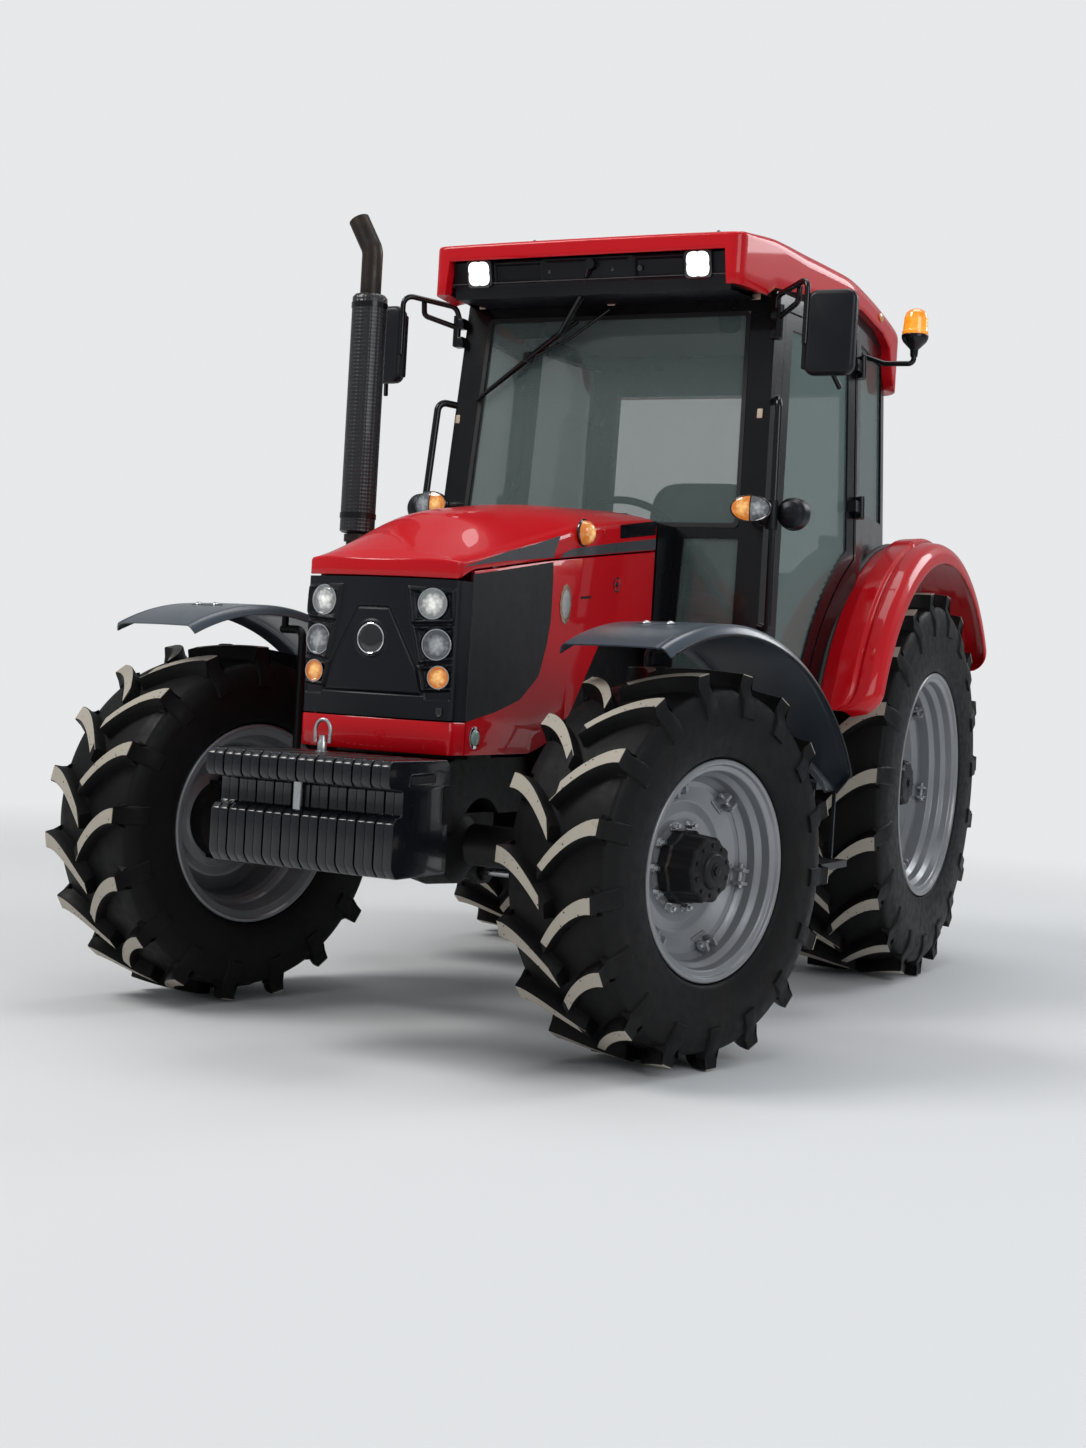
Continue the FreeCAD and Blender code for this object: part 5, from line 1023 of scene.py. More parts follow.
# Raised middle field of the nose, and the frames round its lamps: corners (x, height), anticlockwise
NOSE_FIELD = ((-0.188, 1.058), (0.188, 1.058), (0.150, 1.130), (0.102, 1.311), (-0.102, 1.311),
              (-0.150, 1.130))
LAMP_FRAMES = (
    ((0.132, 1.270), (0.254, 1.278), (0.247, 1.366), (0.118, 1.370)),
    ((0.160, 1.153), (0.262, 1.168), (0.256, 1.264), (0.137, 1.256)),
    ((0.172, 1.072), (0.262, 1.078), (0.262, 1.154), (0.158, 1.138)),
)
# Head lamps: distance from the middle, height, radius
HEAD_LAMPS = ((0.187, 1.328, 0.047), (0.205, 1.208, 0.047), (0.215, 1.112, 0.035))


def nose_relief(x, z):
    """How far the nose stands out of its bowed face: a groove round the middle field, sunk lamp
    columns, a raised frame round each lamp and a sunk bowl in it."""
    field = inside(x, z, NOSE_FIELD)
    away = np.abs(x)
    relief = -0.006 * np.exp(-(field / 0.0035) ** 2)
    column = inside(away, z, ((0.110, 1.045), (0.256, 1.045), (0.256, 1.385), (0.096, 1.385), (0.160, 1.130)))
    column = np.maximum(column, -field)
    relief = relief - 0.006 * step_down(column, 0.008)
    for number, frame_corners in enumerate(LAMP_FRAMES):
        border = inside(away, z, frame_corners)
        lamp_x, lamp_z, radius = HEAD_LAMPS[number]
        relief = relief + 0.011 * np.exp(-((border + 0.002) / 0.0055) ** 2)
        centre = np.hypot(away - lamp_x, z - lamp_z)
        relief = relief - 0.004 * step_down(border + 0.010, 0.008)
        relief = relief - 0.026 * step_down(centre - radius + 0.001, 0.005)
    emblem = np.hypot(x, z - 1.217)
    relief = (relief + 0.0045 * np.exp(-((emblem - 0.052) / 0.005) ** 2)
              - 0.005 * step_down(emblem - 0.048, 0.006))
    return relief


def nose_plan(count):
    """The nose's outline in (x, y) from side to side, and its outward directions."""
    half = hood_plan(HOOD_SPLIT - SEAM)
    plan = resample(np.concatenate([half[:0:-1] * (-1.0, 1.0), half]), count)
    out = -outline_normals(plan)
    return plan, np.where((out * plan).sum(1, keepdims=True) < 0, -out, out)


def nose_piece():
    """Black moulding: the hood's plan carried upwards, pushed in and out by its relief."""
    plan, out = nose_plan(NOSE_COLUMNS)
    height = np.linspace(NOSE_FOOT + 0.002, NOSE_TOP - 0.002, NOSE_ROWS)
    x, z = plan[:, None, 0], height[None, :]
    facing = np.clip((-out[:, 1] - 0.80) / 0.12, 0.0, 1.0)[:, None]
    push = nose_relief(x, z) * facing
    place = plan[:, None] + out[:, None] * push[:, :, None]
    points = np.concatenate([place, np.broadcast_to(z[..., None], (*push.shape, 1))], 2)
    points[:, :, 1] += FRONT_Y
    deep = points.copy()
    deep[:, :, :2] -= out[:, None] * 0.010
    skin = Surface().grid(points)
    for row, flip in ((0, False), (-1, True)):
        skin.grid(np.stack([deep[:, row], points[:, row]], 1), flip=flip)
    piece = skin.build("nose_moulding_skin", black_moulding(), "hood", smooth=50)
    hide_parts("nose_moulding")


def nose_lip_piece():
    """Red lip under the moulding: the plan carried upwards with a rolled lower edge."""
    plan, out = nose_plan(160)
    rows = []
    for inset, height in ((0.010, NOSE_LIP + 0.002), (0.003, NOSE_LIP), (0.0, NOSE_LIP + 0.004),
                          (0.0, NOSE_FOOT - 0.006), (0.002, NOSE_FOOT - 0.003), (0.010, NOSE_FOOT - 0.002)):
        flat = plan - out * inset
        rows.append(np.column_stack([flat[:, 0], flat[:, 1] + FRONT_Y, np.full(len(flat), height)]))
    return Surface().grid(np.stack(rows, 1)).build("nose_lip", red_paint(), "hood", smooth=40)


def lens_material(name, middle, rim, strength):
    """A lens that glows: its mark runs from 0 in the middle to 1 at the rim, broken up by small prisms; on an
    unlit lamp the glow and pale middle are a painted reflection and the dark rim painted shade.
    """
    if name in bpy.data.materials:
        return bpy.data.materials[name]
    material = finish(name, (0.72, 0.73, 0.74), roughness=0.10, coat=1.0, rough_spread=0.04, tint_share=0.2)
    tree = material.node_tree
    shader = tree.nodes["Principled BSDF"]
    mark = node(tree, "ShaderNodeAttribute", attribute_name="mark")
    prism = cell_distance(tree, 75.0)
    share = maths(tree, "ADD", mark.outputs["Fac"], maths(tree, "MULTIPLY", prism, 0.55), True)
    lit = mix_colour(tree, share, (*middle, 1.0), (*rim, 1.0))
    tree.links.new(lit, shader.inputs["Emission Color"])
    tree.links.new(lit, shader.inputs["Base Color"])
    shader.inputs["Emission Strength"].default_value = strength
    lift_surface(tree, prism, 0.5, 0.001)
    return material


def clear_lens():
    # Unlit lens: its faint glow and pale middle are a painted reflection of the reflector, its dark rim
    # painted shade.
    return lens_material("Clear lens", (0.62, 0.65, 0.66), (0.10, 0.11, 0.12), 0.10)


def lit_lens():
    return lens_material("Lit lens", (1.0, 1.0, 0.95), (0.16, 0.17, 0.17), 0.55)


def amber_lens():
    return lens_material("Lit amber lens", (1.0, 0.66, 0.24), (0.50, 0.15, 0.02), 0.60)


def amber_plastic():
    return finish("Amber lamp plastic", (0.75, 0.24, 0.02), roughness=0.18, coat=1.0, tint=(0.9, 0.42, 0.05),
                  tint_scale=40.0, bump=0.3, bump_scale=220.0, bump_depth=0.0006)


def round_lamp(centre, axis, radius, lens, name, body):
    """A bezel ring round a domed lens with stepped reflector rings; both are turned profiles."""
    axis = unit(axis)
    start = unit(np.cross(axis, UP))
    bezel = [(-0.016, radius), (0.002, radius * 1.06), (0.006, radius * 1.04), (0.006, radius * 0.97),
             (0.001, radius * 0.93), (-0.004, radius * 0.92)]
    ring = lathe(bezel, centre, axis, start, 56)
    ring.build(name + "_bezel", chrome(), body, smooth=50)
    share = np.array((0.93, 0.86, 0.80, 0.72, 0.66, 0.58, 0.50, 0.42, 0.34, 0.24, 0.14, 0.0))
    dome = -0.002 + 0.008 * (1 - share ** 2) + 0.0012 * np.cos(share * 26.0)
    profile = np.column_stack([dome, np.maximum(radius * share, 0.0004)])
    face = lathe(profile, centre, axis, start, 56, mark=share[None, :] ** 1.3)
    return face.build(name + "_lens", lens, body, smooth=60)


def head_lamps_pieces():
    """Three lamps on each side of the nose."""
    lenses = (lit_lens(), clear_lens(), amber_lens())
    for name, side in SIDES:
        for number, (x, z, radius) in enumerate(HEAD_LAMPS):
            centre = (side * x, FRONT_Y + float(nose_front(x)) + 0.006, z)
            piece = round_lamp(centre, (side * 0.14, -1.0, 0.0), radius * 0.95, lenses[number],
                               "head_lamp_%s_%d" % (name, number + 1), "hood")
    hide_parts("head_lamps")


def emblem_piece():
    """A plain black disc with a thin bright ring where the round badge sits, and the nose's latch."""
    centre = (0.0, FRONT_Y + float(nose_front(0.0)) + 0.004, 1.217)
    disc = [(-0.006, 0.044), (0.002, 0.044), (0.004, 0.040), (0.005, 0.020), (0.0055, 0.0004)]
    ring = [(0.001, 0.0475), (0.007, 0.0465), (0.008, 0.0445), (0.007, 0.0425), (0.001, 0.0415)]
    lathe(disc, centre, (0, -1, 0), (1, 0, 0), 48).build("nose_disc", black_gloss(), "hood", smooth=35)
    lathe(ring, centre, (0, -1, 0), (1, 0, 0), 48).build("nose_disc_ring", chrome(), "hood", smooth=50)
    latch = ((-0.011, 0.014), (0.011, 0.014), (0.011, -0.004), (0.004, -0.016), (-0.004, -0.016),
             (-0.011, -0.004))
    spot = (0.226, FRONT_Y + float(nose_front(0.226)) + 0.002, 1.010)
    slab(rounded(latch, 0.003, 2), spot, (1, 0, 0), UP, 0.008, 0.002).build(
        "nose_latch", black_gloss(), "hood", smooth=40)


def side_panel_piece(side, name):
    """Red side panel: straight rows from its skirt to the split, turned in at the edges."""
    stations = np.concatenate([np.linspace(HOOD_SPLIT + SEAM, 0.52, 70), np.linspace(0.53, HOOD_REAR, 16)])
    skirt = np.interp(stations, *np.transpose(SKIRT_LINE))
    split = np.interp(stations, *np.transpose(SPLIT_LINE)) - SEAM
    rows = []
    for share, off in ((0.0, -0.012), (0.0, -0.002), (0.006, 0.0), (0.25, 0.0), (0.5, 0.0), (0.75, 0.0),
                       (0.995, 0.0), (1.0, -0.002), (1.0, -0.012)):
        height = skirt + (split - skirt) * share
        rows.append(np.column_stack([side * (hood_half(stations) + off), stations + FRONT_Y, height]))
    points = np.stack(rows, 1)
    skin = Surface().grid(points, flip=side < 0)
    for end in (0, -1):
        ring = points[end]
        skin.grid(np.stack([ring, ring - (side * 0.010, 0.0, 0.0)]), flip=(side < 0) == (end == 0))
    return skin.build("side_panel_" + name, red_paint(), "chassis", smooth=40)


def mesh_black():
    """Black perforated sheet: rows of small round dents on Object coordinates, each hole darkened by painted
    shade seen through it.
    """
    name = "Black perforated sheet"
    if name in bpy.data.materials:
        return bpy.data.materials[name]
    material = finish(name, (0.006, 0.007, 0.010), roughness=0.5, dust=0.05,
                      dust_colour=(0.12, 0.11, 0.10, 1.0))
    tree = material.node_tree
    shader = tree.nodes["Principled BSDF"]
    dents = cell_distance(tree, 210.0, 0.0)
    # Near-black dots in the holes: painted shade seen through the perforations.
    hole = maths(tree, "LESS_THAN", dents, 0.30)
    under = shader.inputs["Base Color"].links[0].from_socket
    tree.links.new(mix_colour(tree, hole, under, (0.001, 0.001, 0.0015, 1.0)), shader.inputs["Base Color"])
    lift_surface(tree, dents, 0.35, 0.001)
    return material


# Outlines on the hood's side, (metres behind the front axle, height)
MESH_REAR = ((-0.326, 0.985), (-0.172, 1.017), (-0.026, 1.057), (0.091, 1.134), (0.134, 1.238),
             (0.152, 1.318),
             (0.152, 1.440), (0.146, 1.500))
MESH_FRONT = ((-0.326, 0.985), (-0.326, 1.425))
WEDGE_TOP = ((-0.395, 1.440), (-0.150, 1.508), (0.020, 1.546), (0.186, 1.588))
WEDGE_LOW = ((-0.400, 1.438), (-0.330, 1.451), (-0.160, 1.478), (0.146, 1.514))
STRIPE_TOP = ((0.172, 1.490), (0.205, 1.530), (0.267, 1.552), (0.576, 1.600), (0.890, 1.644))
STRIPE_LOW = ((0.172, 1.484), (0.260, 1.498), (0.400, 1.520), (0.600, 1.556), (0.890, 1.600))


def decal_grey():
    return finish("Dark grey film", (0.050, 0.052, 0.060), roughness=0.30, coat=0.5, coat_roughness=0.05,
                  tint=(0.070, 0.072, 0.080), tint_scale=2.0, rough_spread=0.03)


def black_gloss():
    return finish("Black gloss plastic", (0.006, 0.006, 0.008), roughness=0.14, coat=1.0, rough_spread=0.04)


def smooth_line(corners, radius):
    """An open line with its corners swapped for arcs."""
    return rounded(corners, radius, 6, closed=False)


def above_split(outline, gap):
    """A line kept a little above the split between the lid and the side panel."""
    outline = np.asarray(outline, float)
    limit = np.interp(outline[:, 0], *np.transpose(SPLIT_LINE)) + gap
    return np.column_stack([outline[:, 0], np.maximum(outline[:, 1], limit)])


def hood_trim(side, name):
    """Mesh, seam seal, films, blank name plate, lamp, badge, latch, slot and reflector of one side."""
    rear = smooth_line(MESH_REAR, (0, .05, .05, .05, .05, .03, .03, 0))
    side_strip(side, MESH_FRONT, rear, 0.0012, "side_mesh_" + name, mesh_black(), "chassis", 60, 30)
    seam_y = HOOD_SPLIT + SEAM
    seam_x = side * (float(hood_half(seam_y)) - 0.0025)
    tube([(seam_x, FRONT_Y + seam_y, 0.985), (seam_x, FRONT_Y + seam_y, 1.430)], 0.0042, 10, 0).build(
        "seam_seal_" + name, rubber_seal(), "chassis", smooth=60)
    for label, top, low in (("wedge", WEDGE_TOP, WEDGE_LOW), ("stripe", STRIPE_TOP, STRIPE_LOW)):
        top, low = resample(smooth_line(top, 0.05), 60), resample(smooth_line(low, 0.05), 60)
        side_strip(side, above_split(top, 0.0055), above_split(low, 0.0055), 0.0009,
                   "hood_%s_%s" % (label, name), decal_grey(), "hood")
    side_strip(side, ((0.612, 1.664), (0.885, 1.706)), ((0.616, 1.618), (0.885, 1.656)), 0.0012,
               "name_plate_" + name, black_gloss(), "hood")
    out = (side, 0.0, 0.0)

    def on_side(y, z, off=0.0):
        """A place on the hood's side, standing off it by a little."""
        return np.array((side * (float(hood_half(y)) + off), FRONT_Y + y, z))

    ring = [(-0.002, 0.044), (0.004, 0.046), (0.008, 0.044), (0.008, 0.041)]
    spot = on_side(0.344, 1.612, -0.001)
    lathe(ring, spot, out, UP, 48).build("hood_turn_ring_" + name, black_gloss(), "hood", smooth=50)
    share = np.linspace(0.0, 1.0, 16)
    dome = np.column_stack([0.007 + 0.034 * np.sqrt(1 - share[::-1] ** 2.4),
                            np.maximum(0.041 * share[::-1], 0.0004)])
    face = lathe(dome, spot, out, UP, 48, mark=share[None, ::-1] ** 1.5)
    face.build("hood_turn_lamp_" + name, amber_lens(), "hood", smooth=60)
    disc = [(-0.001, 0.013), (0.0015, 0.013), (0.0025, 0.011), (0.0025, 0.0004)]
    lathe(disc, on_side(0.503, 1.632), out, UP, 32).build("hood_disc_" + name, red_paint(), "hood")
    badge = []
    for turn in np.linspace(0, 2 * math.pi, 73)[:-1]:
        wave = 1 + 0.03 * math.cos(turn * 12)
        badge.append((0.040 * wave * math.cos(turn), 0.064 * wave * math.sin(turn)))
    across = (0.0, float(side), 0.0)
    slab(badge, on_side(0.248, 1.372, -0.001), across, UP, 0.003, 0.001).build(
        "badge_rim_" + name, finish("Pale bronze film", (0.42, 0.30, 0.20), roughness=0.3, metallic=0.4,
                                    coat=0.5),
        "chassis", smooth=30)
    face = np.asarray(badge) * 0.72
    slab(face, on_side(0.248, 1.372, 0.0018), across, UP, 0.001, 0.0004).build(
        "badge_face_" + name, finish("Pale badge film", (0.48, 0.47, 0.46), roughness=0.3, coat=0.5),
        "chassis")
    latch = [(-0.001, 0.026), (0.002, 0.026), (0.003, 0.024), (-0.002, 0.017), (-0.002, 0.010),
             (0.002, 0.009),
             (0.002, 0.0004)]
    lathe(latch, on_side(0.612, 1.461), out, UP, 40).build("side_latch_" + name, black_gloss(), "chassis")
    slot_line = rounded(((-0.060, -0.006), (0.060, 0.006), (0.060, 0.014), (-0.060, 0.002)), 0.003)
    slab(slot_line, on_side(0.415, 1.402, -0.001), across, UP, 0.0016, 0.0004).build(
        "side_slot_" + name, black_moulding(), "chassis")
    plate = rounded(oblong(-0.030, -0.034, 0.030, 0.034), 0.028, 6)
    slab(plate, on_side(-0.278, 0.938, -0.001), across, UP, 0.004, 0.0015).build(
        "reflector_rim_" + name, chrome(), "chassis")
    lens = [(-0.001, 0.024), (0.004, 0.024), (0.007, 0.020), (0.009, 0.010), (0.0095, 0.0004)]
    glassy = finish("Green grey reflector", (0.20, 0.30, 0.27), roughness=0.12, coat=1.0, bump=0.6,
                    bump_scale=260.0,
                    bump_depth=0.0006)
    lathe(lens, on_side(-0.278, 0.938, 0.002), out, UP, 40).build(
        "reflector_" + name, glassy, "chassis", smooth=60)


# Front weights

# Side outline of one weight: metres behind the front axle, height
WEIGHT_OUTLINE = (
    (-0.470, 0.545), (-0.755, 0.545), (-0.785, 0.575), (-0.785, 0.700), (-0.768, 0.715), (-0.738, 0.720),
    (-0.738, 0.790), (-0.806, 0.797), (-0.820, 0.812), (-0.820, 0.860), (-0.803, 0.876), (-0.490, 0.876),
    (-0.470, 0.856), (-0.470, 0.800), (-0.505, 0.800), (-0.505, 0.690), (-0.470, 0.690),
)
WEIGHT_COUNT = 10
WEIGHT_PITCH = 0.0615
WEIGHT_THICK = 0.0568


def weights_piece():
    """Ten cast weights: one rounded outline, thick along X, repeated by a step, and their lock pin."""
    radii = (0.01, 0.03, 0.03, 0.012, 0.008, 0.01, 0.01, 0.008, 0.014, 0.014, 0.02, 0.02, 0.015, 0.004, 0.004,
             0.004, 0.004)
    outline = rounded(WEIGHT_OUTLINE, radii, 4)
    outline[:, 0] += FRONT_Y
    whole = Surface()
    first = -WEIGHT_PITCH * (WEIGHT_COUNT - 1) / 2
    for number in range(WEIGHT_COUNT):
        low = first + number * WEIGHT_PITCH - WEIGHT_THICK / 2
        for shift in (0.0, WEIGHT_THICK / 2):
            whole.add(slab(outline, (low + shift, 0, 0), (0, 1, 0), (0, 0, 1), WEIGHT_THICK / 2, 0.0035, 3))
    piece = whole.build("weights_cast", weight_paint(), "chassis", smooth=35)
    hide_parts("front_weights")
    # Finger slots between the tops of neighbouring weights, and the rod through the recess
    slots = Surface()
    for number in range(WEIGHT_COUNT - 1):
        middle = first + (number + 0.5) * WEIGHT_PITCH
        for y0, y1 in ((-0.790, -0.700), (-0.680, -0.560)):
            slots.add(block((middle - 0.012, FRONT_Y + y0, 0.8735), (middle + 0.012, FRONT_Y + y1, 0.8775),
                            0.0015))
    slots.build("weight_slots", rubber_seal(), "chassis", smooth=30)
    tube([(-0.031, FRONT_Y - 0.752, 0.716), (-0.031, FRONT_Y - 0.752, 0.800)], 0.014, 16, 0).build(
        "weight_rod", zinc(), "chassis", smooth=50)
    for side in (1, -1):
        x = side * (WEIGHT_PITCH * (WEIGHT_COUNT - 1) / 2 + WEIGHT_THICK / 2)
        grip = rounded(((-0.715, 0.800), (-0.560, 0.806), (-0.560, 0.842), (-0.700, 0.838)), 0.010, 3)
        grip[:, 0] += FRONT_Y
        across = (0, 1, 0)
        rim = slab(grip, (x - 0.004 if side > 0 else x - 0.0035, 0, 0), across, (0, 0, 1), 0.0075, 0.003)
        rim.build("weight_grip_%d" % (1 if side > 0 else 2), weight_paint(), "chassis", smooth=35)
        # The dark inner sheet is painted shade standing in for the grip's opening.
        dark = pull_in(grip, 0.008)
        slab(dark, (x + 0.0032 if side > 0 else x - 0.0042, 0, 0), across, (0, 0, 1), 0.001, 0.0003).build(
            "weight_slot_%d" % (1 if side > 0 else 2), rubber_seal(), "chassis")
    x, y = -0.031, FRONT_Y - 0.640
    pin = lathe([(-0.002, 0.020), (0.004, 0.020), (0.006, 0.014), (0.030, 0.014), (0.034, 0.011),
                 (0.050, 0.010)],
                (x, y, 0.876), UP, (1, 0, 0), 24)
    turn = np.linspace(-0.30, math.pi + 0.30, 24)
    bow = np.stack([x + 0.026 * np.cos(turn), np.full(24, y), 0.938 + 0.034 * np.sin(turn)], 1)
    bow = np.concatenate([[(x + 0.024, y, 0.905)], bow, [(x - 0.024, y, 0.905)]])
    pin.add(tube(bow, 0.0055, 10, bend=0))
    pin.build("weight_lock_pin", zinc(), "chassis", smooth=50)


# Roof

# Along the roof: metres behind the front axle, half width, height of the crown, drop at the side
ROOF_LINES = (
    (0.835, 0.600, 2.704, 0.004), (0.900, 0.606, 2.716, 0.008), (1.150, 0.640, 2.762, 0.025),
    (1.450, 0.682, 2.786, 0.045), (1.750, 0.718, 2.798, 0.060), (2.050, 0.712, 2.782, 0.060),
    (2.330, 0.704, 2.740, 0.050), (2.480, 0.701, 2.690, 0.030), (2.545, 0.700, 2.630, 0.010),
)
# Lower edge of the cap's sides: metres behind the front axle, height
ROOF_EDGE = (
    (0.845, 2.520), (1.050, 2.522), (1.110, 2.560), (1.500, 2.598), (1.890, 2.632), (2.200, 2.604),
    (2.320, 2.565),
    (2.400, 2.430), (2.450, 2.402), (2.545, 2.402),
)
ROOF_FRONT = 0.835
ROOF_BACK = 2.545
ROOF_CORNER = (0.600, 0.718, 0.700)     # half width at the front corner, the middle and the rear corner
CHEEK_IN = 0.540                        # the fascia's ends
LIP_Z = 2.642
CEILING_Z = 2.566
FASCIA_TOP = (0.872, 2.641)             # along Y and height of the fascia's upper and lower edges
FASCIA_FOOT = (0.905, 2.515)
WORK_LAMP = (0.431, 2.600)
ROOF_STEPS = 260


def roof_plan():
    """Right half of the roof's outline in (x, y), from the middle of its front to that of its back."""
    front, middle, rear = ROOF_CORNER
    curve = rounded(((0.30, ROOF_FRONT), (front, ROOF_FRONT), (middle, 1.75), (rear, ROOF_BACK),
                     (0.0, ROOF_BACK)),
                    (0.0, 0.045, 0.8, 0.13, 0.0), 18, closed=False)
    curve = resample(curve, ROOF_STEPS)
    rest = curve[(curve[:, 0] > CHEEK_IN + 0.016) | (curve[:, 1] > ROOF_FRONT + 0.002)]
    start = [(x, ROOF_FRONT) for x in (*np.linspace(0.0, CHEEK_IN, 26), CHEEK_IN + 0.012)]
    return np.concatenate([start, rest])


def roof_top(x, y):
    """Height of the cap: the crown less a drop that grows with the width to the power 2.6."""
    half = curve_through(ROOF_LINES, y, 1)
    share = np.clip(np.abs(x) / half, 0.0, 1.0)
    return curve_through(ROOF_LINES, y, 2) - curve_through(ROOF_LINES, y, 3) * share ** 2.6


def roof_low(plan):
    """Height of the cap's lower edge: a lip over the fascia, cheeks beside it, raised sides, a low back."""
    x, y = plan.T
    on_front = (y < ROOF_FRONT + 0.004) & (x < CHEEK_IN + 0.006)
    return np.where(on_front, LIP_Z, np.interp(y, *np.transpose(ROOF_EDGE)))


def both_halves(points):
    """A grid and its mirror image across the middle plane."""
    skin = Surface()
    for way in (1.0, -1.0):
        skin.grid(points * (way, 1.0, 1.0), flip=way < 0)
    return skin


def inwards(plan, rise, rows, cap):
    """Rows from an outline to a spine on the middle plane, at heights given by cap(x, y)."""
    run = np.linspace(0.0, 1.0, len(plan))
    spine = np.column_stack([np.zeros(len(plan)), ROOF_FRONT + 0.20 + (ROOF_BACK - ROOF_FRONT - 0.40) * run])
    grid = between(plan, spine, rows)
    height = cap(grid[:, :, 0], grid[:, :, 1])
    share = np.linspace(1.0, 0.0, rows)[None, :]
    height = height + (rise - height[:, 0])[:, None] * share
    return np.concatenate([grid, height[:, :, None]], 2)


def roof_pieces():
    """Red cap, the black band and pale ceiling inside it, and the lifting eyes on top."""
    plan = roof_plan()
    out = outline_normals(plan)
    out[0] = (0.0, -1.0)
    out[-1] = (0.0, 1.0)
    low = roof_low(plan)
    edge = roof_top(plan[:, 0], plan[:, 1])
    share = np.clip((plan[:, 1] - 0.86) / 0.5, 0.0, 1.0)
    radius = 0.014 + 0.040 * share

    def row(inset, height):
        """The outline moved inwards, at one height or one for each point."""
        flat = plan - out * np.broadcast_to(inset, low.shape)[:, None]
        return np.column_stack([flat, np.broadcast_to(height, low.shape)])

    rows = [row(0.046, low + 0.010), row(0.010, low + 0.002), row(0.003, low), row(0.0, low + 0.004)]
    rows += [row(0.0, low + (edge - radius - low) * part) for part in (0.3, 0.6, 0.95)]
    for turn in np.linspace(0.0, math.pi / 2, 9):
        rows.append(row(radius * (1 - math.cos(turn)), edge - radius + radius * math.sin(turn)))
    rim = rows[-1]
    fill = inwards(rim[:, :2], rim[:, 2], 24, roof_top)[:, 1:]
    points = np.concatenate([np.stack(rows, 1), fill], 1)
    points[:, :, 1] += FRONT_Y
    cap = both_halves(points).build("roof_cap_skin", red_paint(), "chassis", smooth=48)
    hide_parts("roof_cap")
    band = np.stack([row(0.040, 2.535), row(0.040, 2.672)], 1)
    ceiling = inwards(row(0.040, CEILING_Z)[:, :2], CEILING_Z, 6, lambda x, y: np.full(x.shape, CEILING_Z))
    for grid in (band, ceiling):
        grid[:, :, 1] += FRONT_Y
    keep = plan[:, 1] > 1.0
    both_halves(band[keep]).build("roof_band", black_moulding(), "chassis", smooth=40)
    liner = finish("Grey ceiling cloth", (0.20, 0.21, 0.21), roughness=0.9, bump=0.3, bump_scale=500.0)
    both_halves(ceiling[:, ::-1]).build("cab_ceiling", liner, "chassis", smooth=40)
    for name, side in SIDES:
        x, y = side * 0.374, FRONT_Y + 1.189
        z = float(roof_top(abs(x), 1.189))
        loop = [(x, y - 0.016, z - 0.004), (x, y - 0.016, z + 0.022), (x, y, z + 0.034),
                (x, y + 0.016, z + 0.022),
                (x, y + 0.016, z - 0.004)]
        eye = tube(loop, 0.0045, 10, bend=0.012)
        eye.add(lathe([(-0.002, 0.022), (0.003, 0.022), (0.005, 0.018), (0.005, 0.0004)], (x, y, z), UP,
                      (1, 0, 0), 24))
        eye.build("lifting_eye_" + name, black_paint(), "chassis", smooth=50)
        half = float(curve_through(ROOF_LINES, 2.145, 1))
        oval = [(0.026 * math.cos(turn), 0.017 * math.sin(turn))
                for turn in np.linspace(0, 2 * math.pi, 33)[:-1]]
        across = (0.0, float(side), 0.0)
        marker = slab(oval, (side * (half - 0.002), FRONT_Y + 2.145, 2.655), across, UP, 0.009, 0.004)
        marker.build("side_marker_" + name, amber_plastic(), "chassis")


def fascia_y(z):
    """Place along Y of the slanted fascia at a height."""
    return FRONT_Y + np.interp(z, (FASCIA_FOOT[1], FASCIA_TOP[1]), (FASCIA_FOOT[0], FASCIA_TOP[0]))


def fascia_piece():
    """Black fascia under the roof's lip: a slanted grid with framed slots sunk in it, and its underside."""
    x = np.linspace(-CHEEK_IN - 0.004, CHEEK_IN + 0.004, 320)[:, None]
    z = np.linspace(FASCIA_FOOT[1], FASCIA_TOP[1], 60)[None, :]
    relief = np.zeros((320, 60))
    for low, high in ((0.190, 0.368), (-0.368, -0.190)):
        slot = inside(x, z, oblong(low, 2.568, high, 2.628))
        relief -= 0.010 * step_down(slot, 0.005)
        relief += 0.004 * np.exp(-((slot - 0.006) / 0.004) ** 2)
    middle = inside(x, z, oblong(-0.160, 2.560, 0.160, 2.632))
    relief += 0.004 * step_down(middle, 0.010)
    y = fascia_y(z) - relief
    points = np.stack(np.broadcast_arrays(x, y, z), 2)
    foot = points[:, :1].copy()
    foot[:, :, 1] = FRONT_Y + 1.166
    foot[:, :, 2] = FASCIA_FOOT[1] + 0.018
    head = points[:, -1:].copy()
    head[:, :, 1] += 0.05
    skin = Surface().grid(np.concatenate([foot, points, head], 1))
    piece = skin.build("roof_fascia_skin", black_moulding(), "chassis", smooth=45)
    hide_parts("roof_fascia")
    for number, place in enumerate((-0.455, -0.150, 0.10, 0.205)):
        head = bolts([(place, float(fascia_y(2.597)) - 0.001, 2.597)], (0, -1, -0.26), 0.006, 0.004, 12)
        head.build("fascia_screw_%d" % (number + 1), black_gloss(), "chassis")


